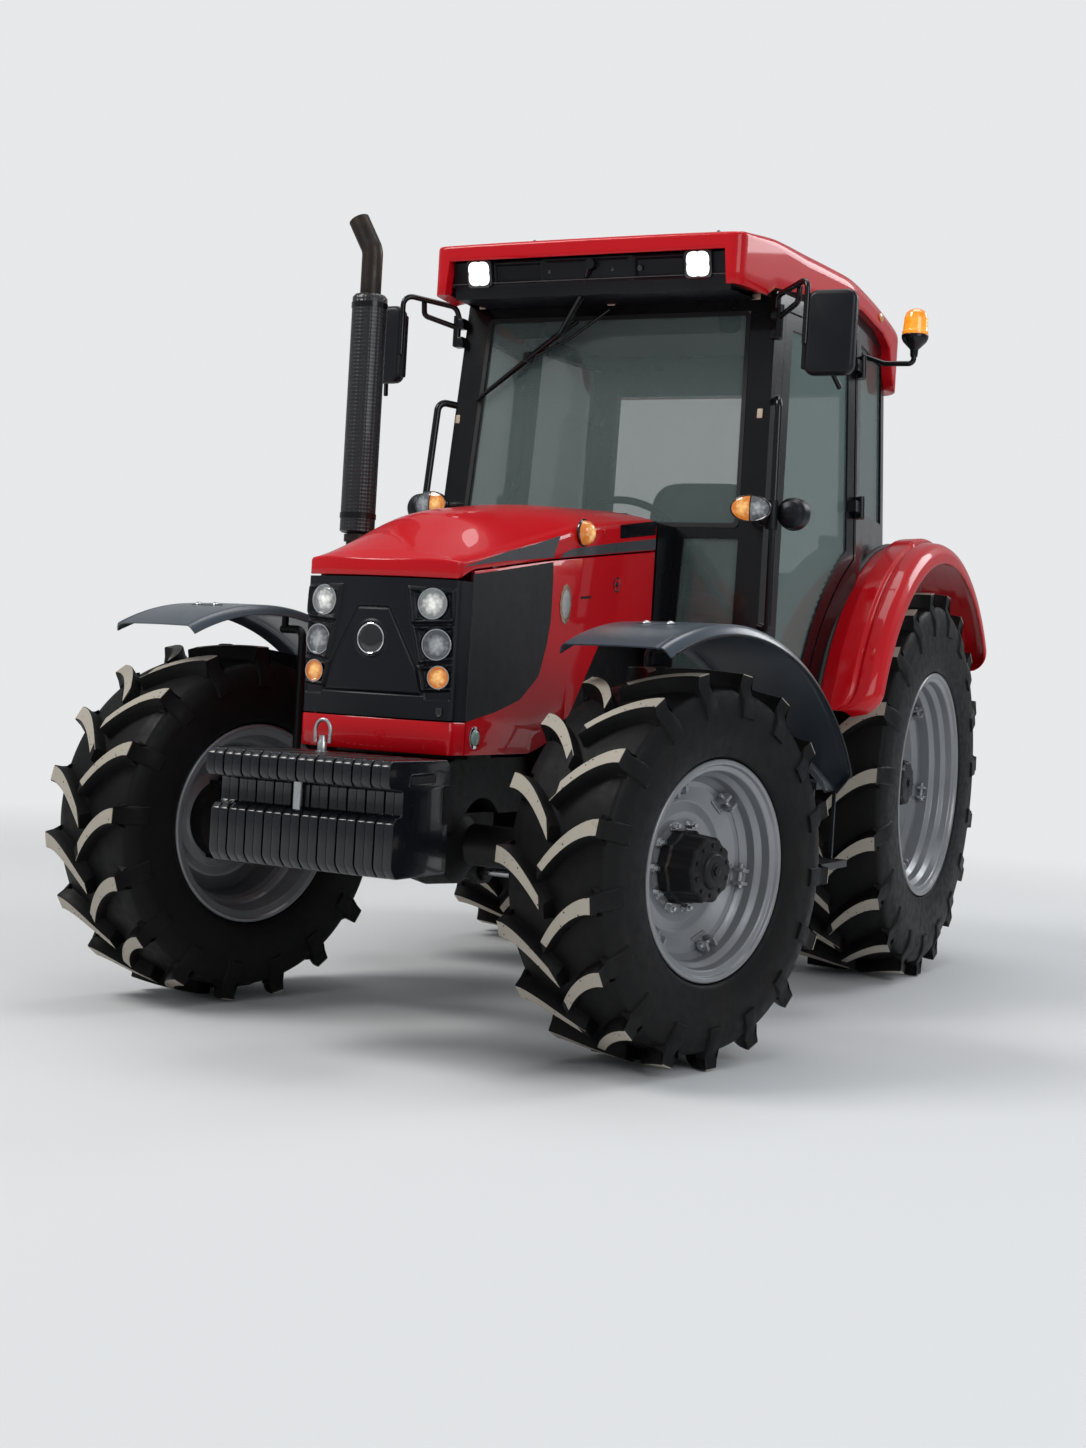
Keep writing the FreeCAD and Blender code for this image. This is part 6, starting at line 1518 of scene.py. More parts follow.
def petal_lens(centre, across, upward, half, name, material, body):
    """A square lamp face: rings of a superellipse, marked dark between the four round light spots."""
    across, upward = unit(across), unit(upward)
    out = np.cross(across, upward)
    turn = np.linspace(0, 2 * math.pi, 65)[:-1][None, :]
    ring = np.linspace(0.02, 1.0, 14)[:, None]
    reach = half / (np.abs(np.cos(turn)) ** 4 + np.abs(np.sin(turn)) ** 4) ** 0.25
    u, v = ring * reach * np.cos(turn), ring * reach * np.sin(turn)
    spots = np.hypot(np.abs(u) - 0.42 * half, np.abs(v) - 0.42 * half) / half
    mark = np.clip((spots - 0.38) * 2.2, 0.0, 1.0)
    deep = 0.004 * (1 - ring ** 2) - 0.003 * mark
    points = (np.asarray(centre, float) + u[..., None] * across + v[..., None] * upward
              + np.broadcast_to(deep, u.shape)[..., None] * out)
    return Surface().grid(points, wrap_v=True, mark=mark).build(name, material, body, smooth=60)


def work_lamp(centre, across, upward, name, lit):
    """A square lamp: a rounded black housing with a rim, and its face."""
    half = 0.052
    outline = rounded(oblong(-half, -half, half, half), 0.020, 5)
    out = np.cross(unit(across), unit(upward))
    centre = np.asarray(centre, float)
    slab(outline, centre - out * 0.030, across, upward, 0.036, 0.005).build(
        name + "_housing", black_gloss(), "chassis", smooth=40)
    lens = lens_material("Lit square lens", (1.0, 1.0, 1.0), (0.62, 0.66, 0.66), 1.7) if lit else clear_lens()
    return petal_lens(centre + out * 0.0075, across, upward, 0.043, name + "_face", lens, "chassis")


def work_lamps():
    """Two lit lamps in the fascia, two unlit ones under the back of the roof."""
    x, z = WORK_LAMP
    for name, side in SIDES:
        place = (side * x, float(fascia_y(z)) - 0.012, z)
        lamp = work_lamp(place, (1, 0, 0), (0, -0.26, 1.0), "work_lamp_front_" + name, True)
        work_lamp((side * x, FRONT_Y + 2.580, 2.520), (-1, 0, 0), UP, "work_lamp_rear_" + name, False)
    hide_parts("cab_lamps")


SCREEN_LEAN = 0.093
SCREEN_FOOT = (1.050, 1.380)            # metres behind the front axle, height
TAIL_LAMP_AT = 39.0                     # degrees from straight back over the rear wheel


def screen_y(z, off):
    """Place along Y of the windscreen's plane at a height, ahead of it by a little."""
    return FRONT_Y + SCREEN_FOOT[0] + SCREEN_LEAN * (z - SCREEN_FOOT[1]) - off


def wiper_pieces():
    """Wiper on the fascia: arm, thin second arm and a blade in its holder."""
    pivot = (0.022, float(fascia_y(2.612)) - 0.020, 2.612)
    arm = tube([pivot, (-0.045, screen_y(2.520, 0.215), 2.520), (-0.200, screen_y(2.42, 0.045), 2.420),
                (-0.335, screen_y(2.325, 0.034), 2.325)], 0.0115, 10, bend=0.04)
    arm.add(tube([(0.022, pivot[1] + 0.03, 2.612), (0.022, pivot[1] - 0.012, 2.612)], 0.019, 20, 0))
    arm.add(tube([(0.0, screen_y(2.500, 0.06), 2.500), (-0.170, screen_y(2.395, 0.036), 2.395),
                  (-0.300, screen_y(2.338, 0.034), 2.338)], 0.0060, 8, bend=0.04))
    ends = np.array(((-0.545, 2.175), (-0.150, 2.470)))
    run = unit(ends[1] - ends[0])
    line = ends[0] + (ends[1] - ends[0]) * np.linspace(0, 1, 15)[:, None]
    blade = [(place[0], screen_y(place[1], 0.010), place[1]) for place in line]
    arm.add(tube(blade, 0.0075, 8, bend=0))
    sag = 0.012 + 0.012 * np.sin(np.linspace(0, math.pi, 15))
    back = [(place[0], screen_y(place[1], off), place[1]) for place, off in zip(line, sag)]
    arm.add(tube(back, 0.0085, 8, bend=0))
    middle = (ends[0] + ends[1]) / 2 + run * 0.02
    low = np.array((middle[0], screen_y(middle[1], 0.030), middle[1]))
    arm.add(block(low - (0.020, 0.010, 0.020), low + (0.020, 0.012, 0.020), 0.006))
    arm.build("wiper", black_paint(), "chassis", smooth=45)


def label_pieces():
    """Small blank pale labels on the header and on the posts."""
    pale = finish("Pale label", (0.72, 0.56, 0.42), roughness=0.5)
    across, upward = (1.0, 0.0, 0.0), (0.0, SCREEN_LEAN, 1.0)
    for number, (x, z, wide, high) in enumerate((
            (0.546, 2.540, 0.032, 0.020), (-0.024, 2.536, 0.030, 0.018), (-0.566, 2.540, 0.026, 0.018),
            (-0.625, 2.105, 0.018, 0.032), (0.600, 2.117, 0.020, 0.034))):
        outline = rounded(oblong(-wide / 2, -high / 2, wide / 2, high / 2), 0.003, 2)
        slab(outline, (x, screen_y(z, 0.0005), z), across, upward, 0.001, 0.0003).build(
            "label_%d" % (number + 1), pale, "chassis")


# Mirrors, beacon, lamps and rails

def mirror_pieces():
    """Rounded mirror heads on loops of tube, with clamp blocks on the posts."""
    for name, side in SIDES:
        x, y = side * 0.892, FRONT_Y + 1.0
        outline = rounded(oblong(-0.088, 2.222, 0.088, 2.516), 0.036, 6)
        head = slab(outline, (x, y + 0.002, 0), (1, 0, 0), UP, 0.046, 0.018, 5)
        lip = slab(pull_in(outline, 0.004), (x, y + 0.008, 0), (1, 0, 0), UP, 0.010, 0.004, 2)
        head.add(lip)
        spine = side * -0.088
        head.add(block((x + spine - 0.012, y - 0.034, 2.245), (x + spine + 0.012, y - 0.006, 2.480), 0.006))
        piece = head.build("mirror_head_" + name, black_moulding(), "chassis", smooth=50)
        face = slab(pull_in(outline, 0.012), (x, y + 0.0095, 0), (-1, 0, 0), UP, 0.0015, 0.0005)
        face.build("mirror_glass_" + name, chrome(), "chassis")
        post = np.array((side * 0.640, FRONT_Y + 1.128, 0.0))
        edge = x + spine
        loops = tube([post + (0, 0, 2.470), post + (side * 0.010, -0.030, 2.530), (edge, y - 0.038, 2.556),
                      (edge, y - 0.038, 2.330)], 0.0105, 12, bend=0.035)
        loops.add(tube([(side * 0.752, y + 0.030, 2.543), (side * 0.748, y + 0.030, 2.488),
                        post + (0, 0, 2.452)],
                       0.0105, 12, bend=0.020))
        for height in (2.400, 2.470):
            loops.add(block(post + (-0.020, -0.020, height - 0.020), post + (0.020, 0.020, height + 0.020),
                            0.004))
        loops.add(tube([post + (side * 0.012, -0.008, 2.385), post + (side * 0.012, -0.008, 2.500)], 0.015,
                       14, 0))
        loops.add(tube([(x, y + 0.014, 2.240), (x + side * 0.02, y + 0.050, 2.190)], 0.009, 10, 0))
        loops.build("mirror_tubes_" + name, black_paint(), "chassis", smooth=50)
    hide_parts("mirrors")


def beacon_piece():
    """Amber dome on a black cup, on its bent tube."""
    x, y = 0.905, FRONT_Y + 1.970
    dome = [(0.030, 0.046), (0.034, 0.050), (0.048, 0.050), (0.050, 0.048), (0.100, 0.045), (0.118, 0.040),
            (0.130, 0.028), (0.136, 0.012), (0.137, 0.0004)]
    dome = rounded(dome, 0.008, 4, closed=False)
    marks = np.abs(dome[:, 0] - 0.070) / 0.07
    shape = lathe(dome, (x, y, 2.512), UP, (1, 0, 0), 48, mark=marks[None, :])
    lens = lens_material("Lit beacon dome", (1.0, 0.50, 0.06), (0.85, 0.22, 0.0), 0.55)
    lamp = shape.build("beacon_dome", lens, "chassis", smooth=50)
    cup = [(-0.052, 0.0004), (-0.052, 0.014), (-0.022, 0.016), (-0.012, 0.026), (0.006, 0.044),
           (0.020, 0.051),
           (0.034, 0.052), (0.036, 0.046)]
    stem = lathe(rounded(cup, 0.006, 3, closed=False), (x, y, 2.512), UP, (1, 0, 0), 40)
    stem.add(tube([(0.655, y, 2.520), (0.700, y, 2.470), (0.790, y, 2.438), (x, y, 2.436), (x, y, 2.475)],
                  0.0105, 12,
                  bend=0.035))
    stem.add(block((0.640, y - 0.035, 2.490), (0.672, y + 0.035, 2.556), 0.006))
    stem.build("beacon_stem", black_paint(), "chassis", smooth=50)
    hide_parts("beacon")


def oval_lamp(centre, axis, name):
    """Turn lamp: an oval bowl with two lenses side by side, amber towards the middle and clear outside."""
    axis = unit(axis)
    across = unit(np.cross(UP, axis))
    wide, high = 0.074, 0.048
    turn = np.linspace(0, 2 * math.pi, 49)[:-1]
    profile = ((-0.046, 0.10), (-0.044, 0.55), (-0.030, 0.88), (-0.006, 1.0), (0.004, 1.0), (0.007, 0.96),
               (0.005, 0.90))
    rings = [np.asarray(centre) + axis * along + share * (np.cos(turn)[:, None] * across * wide
             + np.sin(turn)[:, None] * UP * high) for along, share in profile]
    bowl = Surface().grid(np.stack(rings, 1), wrap_u=True, flip=True)
    bowl.end(rings[0])
    bowl.build(name + "_bowl", black_gloss(), "chassis", smooth=50)
    inner = np.sign(-centre[0])
    for tag, way, lens in (("amber", inner, amber_lens()), ("clear", -inner, clear_lens())):
        angle = np.linspace(-math.pi / 2, math.pi / 2, 33)[:, None]
        ring = np.linspace(0.0, 1.0, 12)[None, :]
        u = 0.002 * way + way * ring * np.cos(angle) * wide * 0.90 * np.sign(across[0])
        v = np.broadcast_to(ring * np.sin(angle) * high * 0.90, u.shape)
        rise = 0.005 + 0.010 * (1 - ring ** 2) + 0 * angle
        points = (np.asarray(centre, float) + u[..., None] * across + v[..., None] * UP
                  + rise[..., None] * axis)
        spot = np.hypot(u - way * np.sign(across[0]) * 0.028, v) / 0.045
        flip = way * np.sign(across[0]) > 0
        face = Surface().grid(points, flip=not flip, mark=np.clip(spot, 0, 1)).build(
            "%s_%s" % (name, tag), lens, "chassis", smooth=60)


def turn_lamps():
    """Turn lamps on clamps in front of the posts, domes behind them, and tail lamps on the rear fenders."""
    for name, side in SIDES:
        centre = np.array((side * 0.640, FRONT_Y + 0.975, 1.764))
        oval_lamp(centre, (side * 0.10, -1.0, 0.0), "turn_lamp_" + name)
        clamp = tube([centre + (0, 0.030, -0.030), centre + (side * 0.004, 0.060, -0.046),
                      centre + (side * 0.030, 0.110, -0.046)], 0.010, 10, bend=0.02)
        rail_x = side * 0.692
        clamp.add(tube([(rail_x, FRONT_Y + 1.052, 1.700), (rail_x, FRONT_Y + 1.052, 1.800)], 0.021, 20, 0))
        clamp.add(block((side * 0.645, FRONT_Y + 1.035, 1.715), (rail_x, FRONT_Y + 1.075, 1.785), 0.006))
        dome = [(-0.058, 0.0004), (-0.056, 0.020), (-0.048, 0.040), (-0.030, 0.053), (-0.005, 0.058),
                (0.010, 0.060),
                (0.014, 0.056), (0.016, 0.050), (0.016, 0.0004)]
        place = (side * 0.752, FRONT_Y + 1.110, 1.760)
        clamp.add(lathe(rounded(dome, 0.004, 2, closed=False), place, (0, 1, 0), (1, 0, 0), 40))
        clamp.build("lamp_clamp_" + name, black_moulding(), "chassis", smooth=50)
        angle = math.radians(TAIL_LAMP_AT)
        middle = np.array((side * 0.853, REAR_Y, REAR_AXLE_Z))
        away = np.array((0.0, math.cos(angle), math.sin(angle)))
        along = np.array((0.0, -math.sin(angle), math.cos(angle)))
        outline = rounded(oblong(-0.035, -0.040, 0.035, 0.040), 0.012, 4)
        across = (-1.0, 0.0, 0.0)
        base = middle + away * 0.986
        slab(outline, base, across, along, 0.012, 0.003).build("tail_base_" + name, black_gloss(), "chassis")
        red = finish("Red lamp plastic", (0.45, 0.008, 0.006), roughness=0.16, coat=1.0, bump=0.3,
                     bump_scale=240.0,
                     bump_depth=0.0006)
        lens = slab(pull_in(outline, 0.003), base + away * 0.011, across, along, 0.018, 0.006, 4)
        lens.build("tail_lamp_" + name, red, "chassis", smooth=50)


def rail_pieces():
    """Dark round tubes beside the front posts with rounded bends."""
    for name, side, low, high in (("left", 1, 1.345, 2.165), ("right", -1, 1.760, 2.165)):
        y = FRONT_Y + 1.040
        out = side * 0.706
        foot = (side * (0.668 + 0.147 * 0.093 * (low - 1.38) - 0.05 * (low - 1.38)), FRONT_Y + 1.055,
                low + 0.012)
        head = (side * (0.668 - 0.036 * (high - 1.38)), FRONT_Y + 1.060 + 0.093 * (high - 1.38), high - 0.006)
        path = [foot, (out, y, low), (out - side * 0.020, y + 0.030, high), head]
        rail = tube(path, 0.0135, 14, bend=0.034)
        piece = rail.build("grab_rail_" + name, black_paint(), "chassis", smooth=50)
    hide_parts("grab_rails")


def knurled():
    """Black sheet with raised dots in rows."""
    name = "Knurled black shield"
    if name in bpy.data.materials:
        return bpy.data.materials[name]
    material = finish(name, (0.010, 0.010, 0.012), roughness=0.38, coat=0.3)
    tree = material.node_tree
    lift_surface(tree, cell_distance(tree, 78.0, 0.0), 0.9, 0.004)
    return material


def exhaust_pieces():
    """Muffler shield in textured sheet, bands at its ends, elbow below and the outlet bent outwards."""
    x, y = -0.540, FRONT_Y + 0.300
    shield = [(1.588, 0.036), (1.590, 0.052), (1.596, 0.060), (2.396, 0.060), (2.406, 0.052), (2.410, 0.036)]
    rows = np.concatenate([shield[:3], [(z, 0.060) for z in np.linspace(1.62, 2.37, 40)], shield[3:]])
    piece = lathe(rows, (x, y, 0.0), UP, (1, 0, 0), 56).build(
        "exhaust_shield", knurled(), "chassis", smooth=45)
    pipe = finish("Dark exhaust steel", (0.030, 0.026, 0.024), roughness=0.42, metallic=0.7,
                  tint=(0.07, 0.045, 0.03), tint_scale=14.0, tint_share=0.6)
    path = rounded(((x, y, 2.405), (x, y, 2.560), (x - 0.062, y, 2.668)), 0.075, 10, closed=False)
    outer = tube(path, 0.036, 28, bend=0, caps=False)
    inner = tube(path, 0.033, 28, bend=0, caps=False).turned_over()
    across, third = path_frames(path)
    turn = full_turn(28)
    ring = np.cos(turn)[:, None] * across[-1] + np.sin(turn)[:, None] * third[-1]
    lip = np.stack([path[-1] + ring * 0.036, path[-1] + ring * 0.033], 1)
    outer.add(inner).add(Surface().grid(lip, wrap_u=True, flip=True))
    floor = path[2] + (np.cos(turn)[:, None] * across[2] + np.sin(turn)[:, None] * third[2]) * 0.034
    outer.end(floor)
    low = tube([(-0.120, y + 0.190, 1.396), (-0.120, y, 1.396), (x, y, 1.396), (x, y, 1.640)], 0.036, 24,
               bend=0.07)
    outer.add(low)
    outer.add(lathe([(1.560, 0.037), (1.560, 0.044), (1.585, 0.044), (1.585, 0.037)], (x, y, 0.0), UP,
                    (1, 0, 0), 32))
    outer.build("exhaust_pipes", pipe, "chassis", smooth=50)
    bands = Surface()
    for height in (1.640, 2.360):
        bands.add(lathe([(height, 0.0595), (height, 0.0625), (height + 0.018, 0.0625),
                         (height + 0.018, 0.0595)],
                        (x, y, 0.0), UP, (1, 0, 0), 48))
    bands.build("exhaust_bands", black_paint(), "chassis", smooth=30)
    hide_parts("exhaust_stack")


# Fenders

# Section of a rear fender, (distance from the middle, radius about the axle), from the cab outwards and back
REAR_FENDER = (
    (0.480, 0.955), (0.736, 0.955), (0.762, 0.968), (0.812, 0.986), (0.880, 0.990), (0.889, 0.982),
    (0.897, 0.981),
    (0.906, 0.988), (0.945, 0.984), (0.968, 0.970), (0.981, 0.945), (0.985, 0.915), (0.983, 0.904),
    (0.976, 0.906),
    (0.974, 0.935), (0.958, 0.962), (0.930, 0.974), (0.880, 0.976), (0.812, 0.974), (0.752, 0.946),
    (0.480, 0.945),
)
REAR_FENDER_ENDS = (17.0, 148.0)        # degrees from straight ahead over the top
FENDER_STEPS = 150
WALL_STEPS = 60
FENDER_CORNER = 0.110                   # radius of the fender's corners seen from above
CAB_FLOOR_Z = 1.040


def rear_fender_piece(side, name):
    """Rear fender: its section turned about the axle, the front corner rounded, a flat step on the crown."""
    section = np.array(REAR_FENDER)
    radii = np.array((0, .02, .02, .03, .006, .006, .006, .006, .03, .03, .03, .01, .003, .003, .02, .03,
                      .03, .03,
                      .02, .02, 0))
    section = rounded(section, radii, 4, closed=False)
    angle = np.radians(np.linspace(*REAR_FENDER_ENDS, FENDER_STEPS))
    x = np.broadcast_to(section[None, :, 0], (FENDER_STEPS, len(section))).copy()
    radius = np.broadcast_to(section[None, :, 1], x.shape).copy()
    for end in (angle[0], angle[-1]):
        left = np.abs(angle - end)[:, None] * 0.985
        near = np.clip(FENDER_CORNER - left, 0, FENDER_CORNER)
        limit = 0.985 - FENDER_CORNER + np.sqrt(np.clip(FENDER_CORNER ** 2 - near ** 2, 0, None))
        share = np.clip((x - 0.80) / (0.985 - 0.80), 0.0, 1.0)
        x = np.where(x > 0.80, 0.80 + share * (limit - 0.80), x)
    flat = step_down(np.abs(np.degrees(angle) - 93.0) - 17.0, 2.0)[:, None]
    on_crown = (section[:, 0] > 0.765) & (section[:, 0] < 0.893) & (section[:, 1] > 0.977)
    radius = radius + flat * on_crown[None, :] * 0.014
    points = np.stack([side * x, REAR_Y - radius * np.cos(angle)[:, None],
                       REAR_AXLE_Z + radius * np.sin(angle)[:, None]], 2)
    skin = Surface().grid(points, wrap_v=True, flip=side < 0)
    skin.end(points[0], flip=side < 0).end(points[-1], flip=side > 0)
    # Inner wall between the arch and the cab's floor
    turn = np.arcsin(np.clip((CAB_FLOOR_Z - REAR_AXLE_Z) / 0.945, 0, 1))
    sweep = np.linspace(max(turn, math.radians(REAR_FENDER_ENDS[0])) + 0.02,
                        math.radians(REAR_FENDER_ENDS[1]), WALL_STEPS)
    for offset, flip in ((0.480, side > 0), (0.488, side < 0)):
        low = (CAB_FLOOR_Z - REAR_AXLE_Z) / np.sin(sweep)
        wall = []
        for reach in (low, np.full(WALL_STEPS, 0.950)):
            wall.append(np.column_stack([np.full(WALL_STEPS, side * offset), REAR_Y - reach * np.cos(sweep),
                                         REAR_AXLE_Z + reach * np.sin(sweep)]))
        skin.grid(np.stack(wall, 1), flip=flip)
    piece = skin.build("rear_fender_skin_" + name, red_paint(), "chassis", smooth=42)
    sweep = np.radians(np.linspace(17.5, 96.0, 60))
    seal = np.column_stack([np.full(60, side * 0.748), REAR_Y - 0.968 * np.cos(sweep),
                            REAR_AXLE_Z + 0.968 * np.sin(sweep)])
    tube(seal, 0.0115, 12, bend=0).build("fender_seal_" + name, rubber_seal(), "chassis", smooth=60)
    return piece


# Front fender: angles from straight ahead over the top, and its sizes about the wheel
FENDER_CREST = 62.0
FENDER_TAIL = 161.0
FENDER_INNER_TAIL = 138.0
FENDER_R = 0.728
FENDER_HALF = 0.208


def front_fender_piece(side, name):
    """Front fender: an arched sheet with turned-down edges, cut back at its inner and outer rear corners."""
    place = WheelPlace("front", side)
    angle = np.radians(np.linspace(FENDER_CREST, FENDER_TAIL, 90))[:, None]
    share = 0.5 - 0.5 * np.cos(np.linspace(0.0, math.pi, 56))[None, :]
    back = -FENDER_R * np.cos(angle)
    inner_at, outer_at = (-FENDER_R * math.cos(math.radians(turn))
                          for turn in (FENDER_INNER_TAIL, FENDER_TAIL))
    inner = -FENDER_HALF + 1.45 * FENDER_HALF * np.clip((back - inner_at) / (outer_at - inner_at), 0.0, 1.0)
    tail_z = (FENDER_R - 0.040) * math.sin(math.radians(FENDER_TAIL))
    outer = FENDER_HALF - np.clip(tail_z + 0.080 - FENDER_R * np.sin(angle), 0.0, 0.080)
    axial = inner + (outer - inner) * share
    from_out, from_in = outer - axial, axial - inner
    radius = (FENDER_R - 0.003 * (axial / FENDER_HALF) ** 2
              - 0.030 * np.clip(1 - from_out / 0.028, 0, 1) ** 1.7
              - 0.030 * np.clip(1 - from_in / 0.026, 0, 1) ** 1.7)
    radius = radius - 0.003 * np.exp(-((from_out - 0.040) / 0.003) ** 2)
    angle = np.broadcast_to(angle, axial.shape)
    points = place.at(angle, axial, radius)
    skin = sheet_of(points, 0.005, flip=place.mirrored)
    piece = skin.build("front_fender_skin_" + name, grey_plastic(), "knuckle_" + name, smooth=50)
    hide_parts("front_fender_" + name)
    # A stiff bead along the outer edge and round the tail
    bead = np.concatenate([points[2:, -1], points[-1, ::-1]])
    keep = np.linspace(0, len(bead) - 1, 70).astype(int)
    tube(bead[keep], 0.0045, 8, bend=0).build("fender_bead_" + name, black_moulding(), "knuckle_" + name,
                                              smooth=60)
    crown = np.radians(80.0)
    out = np.cos(crown) * place.ahead + np.sin(crown) * UP
    studs = Surface()
    for shift in (-0.050, 0.040):
        spot = place.at(crown, shift, FENDER_R - 0.001)
        studs.add(lathe([(0.0, 0.014), (0.002, 0.014), (0.006, 0.010), (0.009, 0.005), (0.0095, 0.0004)],
                        spot, out,
                        place.out, 20))
    studs.build("fender_rivets_" + name, zinc(), "knuckle_" + name, smooth=60)
    ring = []
    for turn in np.linspace(0, 2 * math.pi, 49)[:-1]:
        ring.append((0.078 * math.copysign(abs(math.cos(turn)) ** 0.6, math.cos(turn)),
                     0.017 * math.sin(turn)))
    middle = place.at(crown, -0.005, FENDER_R - 0.0012)
    slab(ring, middle, place.out, np.cross(out, place.out), 0.003, 0.0012).build(
        "fender_pad_" + name, grey_plastic(), "knuckle_" + name, smooth=40)


# Driver's place

def pillow(centre, across, upward, half, crown, edge, name, material, body, dish):
    """A stuffed cushion as a closed form: two superellipse faces crowned by powers of the distance
    from the middle, meeting at a piped seam."""
    across, upward = unit(across), unit(upward)
    out = np.cross(across, upward)
    wide, high = half
    turn = np.linspace(0, 2 * math.pi, 97)[:-1][:, None]
    ring = np.sin(np.linspace(0.001, math.pi / 2, 28))[None, :]
    reach = 1.0 / (np.abs(np.cos(turn)) ** 5 + np.abs(np.sin(turn)) ** 5) ** 0.2
    u = ring * reach * np.cos(turn) * wide
    v = ring * reach * np.sin(turn) * high
    swell = np.clip(1 - ring ** 4.5, 0, 1) ** 0.5
    pleat = 0.006 * np.exp(-((np.abs(u) / wide - 0.58) / 0.035) ** 2)
    pleat = pleat + 0.0025 * np.cos(v * 70.0) * np.exp(-(np.abs(u) / wide / 0.5) ** 6)
    lift = crown * swell * (1 - dish * (1 - (u / wide) ** 2)) - pleat * swell
    base = np.asarray(centre, float) + u[..., None] * across + v[..., None] * upward
    surface = Surface().grid(base + (lift + edge * swell)[..., None] * out, wrap_u=True, flip=True)
    surface.grid(base - (edge * swell)[..., None] * out, wrap_u=True)
    piece = surface.build(name, material, body, smooth=70)
    return piece


def driver_pieces():
    """Padded seat and backrest, and the two sun visors behind the windscreen."""
    y = FRONT_Y + 1.900
    cloth = finish("Grey seat cloth", (0.045, 0.048, 0.055), roughness=0.92, bump=0.5, bump_scale=600.0,
                   bump_depth=0.0006, tint=(0.09, 0.09, 0.10), tint_scale=12.0)
    cushion = pillow((0.0, y - 0.045, 1.462), (1, 0, 0), (0.0, -1.0, 0.10), (0.250, 0.218), 0.030, 0.040,
                     "seat_cushion_padded", cloth, "chassis", 0.35)
    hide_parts("seat_cushion")
    back = pillow((0.0, y + 0.222, 1.715), (1, 0, 0), (0.0, 0.115, 1.0), (0.235, 0.272), 0.022, 0.040,
                  "seat_backrest_padded", cloth, "chassis", 0.3)
    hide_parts("seat_backrest")
    visor = finish("Dark visor plastic", (0.012, 0.013, 0.015), roughness=0.6)
    for tag, low, high in (("left", 0.385, 0.470), ("right", -0.560, -0.330)):
        outline = rounded(oblong(low, 2.425, high, 2.510), 0.030, 4)
        slab(outline, (0.0, screen_y(2.46, -0.080), 0.0), (1, 0, 0), UP, 0.016, 0.006).build(
            "sun_visor_" + tag, visor, "chassis")


def screen_rubber():
    """Black rubber round the windscreen: its outline and the same one pulled in, carried over the glass."""
    outline = np.array(((-0.560, 1.705), (0.560, 1.705), (0.530, 2.490), (-0.530, 2.490)))
    outer = rounded(outline, 0.020, 5)
    inner = rounded(pull_in(outline, 0.016), 0.012, 5)
    rows = []
    for line, off in ((outer, -0.004), (outer, 0.002), (inner, 0.002), (inner, -0.006)):
        rows.append(np.column_stack([line[:, 0], screen_y(line[:, 1], off), line[:, 1]]))
    Surface().grid(np.stack(rows, 1), wrap_u=True).build("screen_rubber", rubber_seal(), "chassis", smooth=40)


# Finishes of the pieces whose CAD form stays

def soften(width, *names):
    """Rounds the sharp edges of CAD nodes with a bevel modifier."""
    for name in names:
        bevel = frame["nodes"][name].modifiers.new("Edge", "BEVEL")
        bevel.width = width
        bevel.segments = 2
        bevel.limit_method = "ANGLE"
        bevel.angle_limit = math.radians(38.0)


def paint_rest():
    """A finish for each CAD node that still shows."""
    tinted = glass("Tinted cab glass", (0.20, 0.28, 0.265), alpha_edge=0.80, alpha_face=0.30)
    paint(tinted, "cab_glass", "door_glass_left", "door_glass_right")
    paint(black_paint(), "cab_frame", "door_left", "door_right", "cowl")
    paint(black_cast(), "front_axle_beam", "knuckle_left", "knuckle_right", "front_support", "engine_block",
          "radiator_block", "transmission", "rear_axle_housing", "tie_rod_left", "tie_rod_right", "lift_arms",
          "lower_links", "drawbar")
    paint(zinc(), "steering_rod", "lift_rods", "top_link", "pto_shaft")
    paint(black_moulding(), "step_tanks", "dashboard", "side_console", "seat_base", "steering_wheel")
    floor = finish("Grey floor mat", (0.030, 0.031, 0.033), roughness=0.85, bump=0.5, bump_scale=300.0,
                   dust=0.1)
    paint(floor, "cab_floor")
    soften(0.004, "dashboard", "side_console", "seat_base", "step_tanks", "cowl", "front_support")


# Light, floor and camera

# The photograph's camera, worked out from the tractor's own corners: place, turn, tilt and lean
CAMERA_PLACE = (2.975, -6.616, 1.118)
CAMERA_YAW = 0.455
CAMERA_PITCH = -0.022
CAMERA_ROLL = 0.059
CAMERA_LENS = 47.66
NEAR_WHITE = (0.80, 0.81, 0.82, 1.0)
SHADOW_ENDS = (3.0, 8.5)       # metres from the tractor over which the floor turns into the backdrop
# Soft square lamps: name, place, size, power and colour
LAMPS = (
    ("key", (-5.5, -6.0, 9.5), 4.0, 620.0, (1.0, 0.98, 0.95)),
    ("fill", (8.0, -5.0, 5.5), 5.0, 240.0, (0.94, 0.97, 1.0)),
    ("top", (0.5, 1.5, 9.5), 5.0, 240.0, (1.0, 1.0, 1.0)),
    ("rim", (4.5, 7.0, 6.0), 3.0, 150.0, (0.96, 0.98, 1.0)),
)


def mix_shader(tree, share, one, two, output):
    """Ends a tree in a blend of two shaders by a share."""
    blend = node(tree, "ShaderNodeMixShader")
    feed(tree, blend, (0, share), (1, one.outputs[0]), (2, two.outputs[0]))
    tree.links.new(blend.outputs[0], tree.nodes[output].inputs["Surface"])


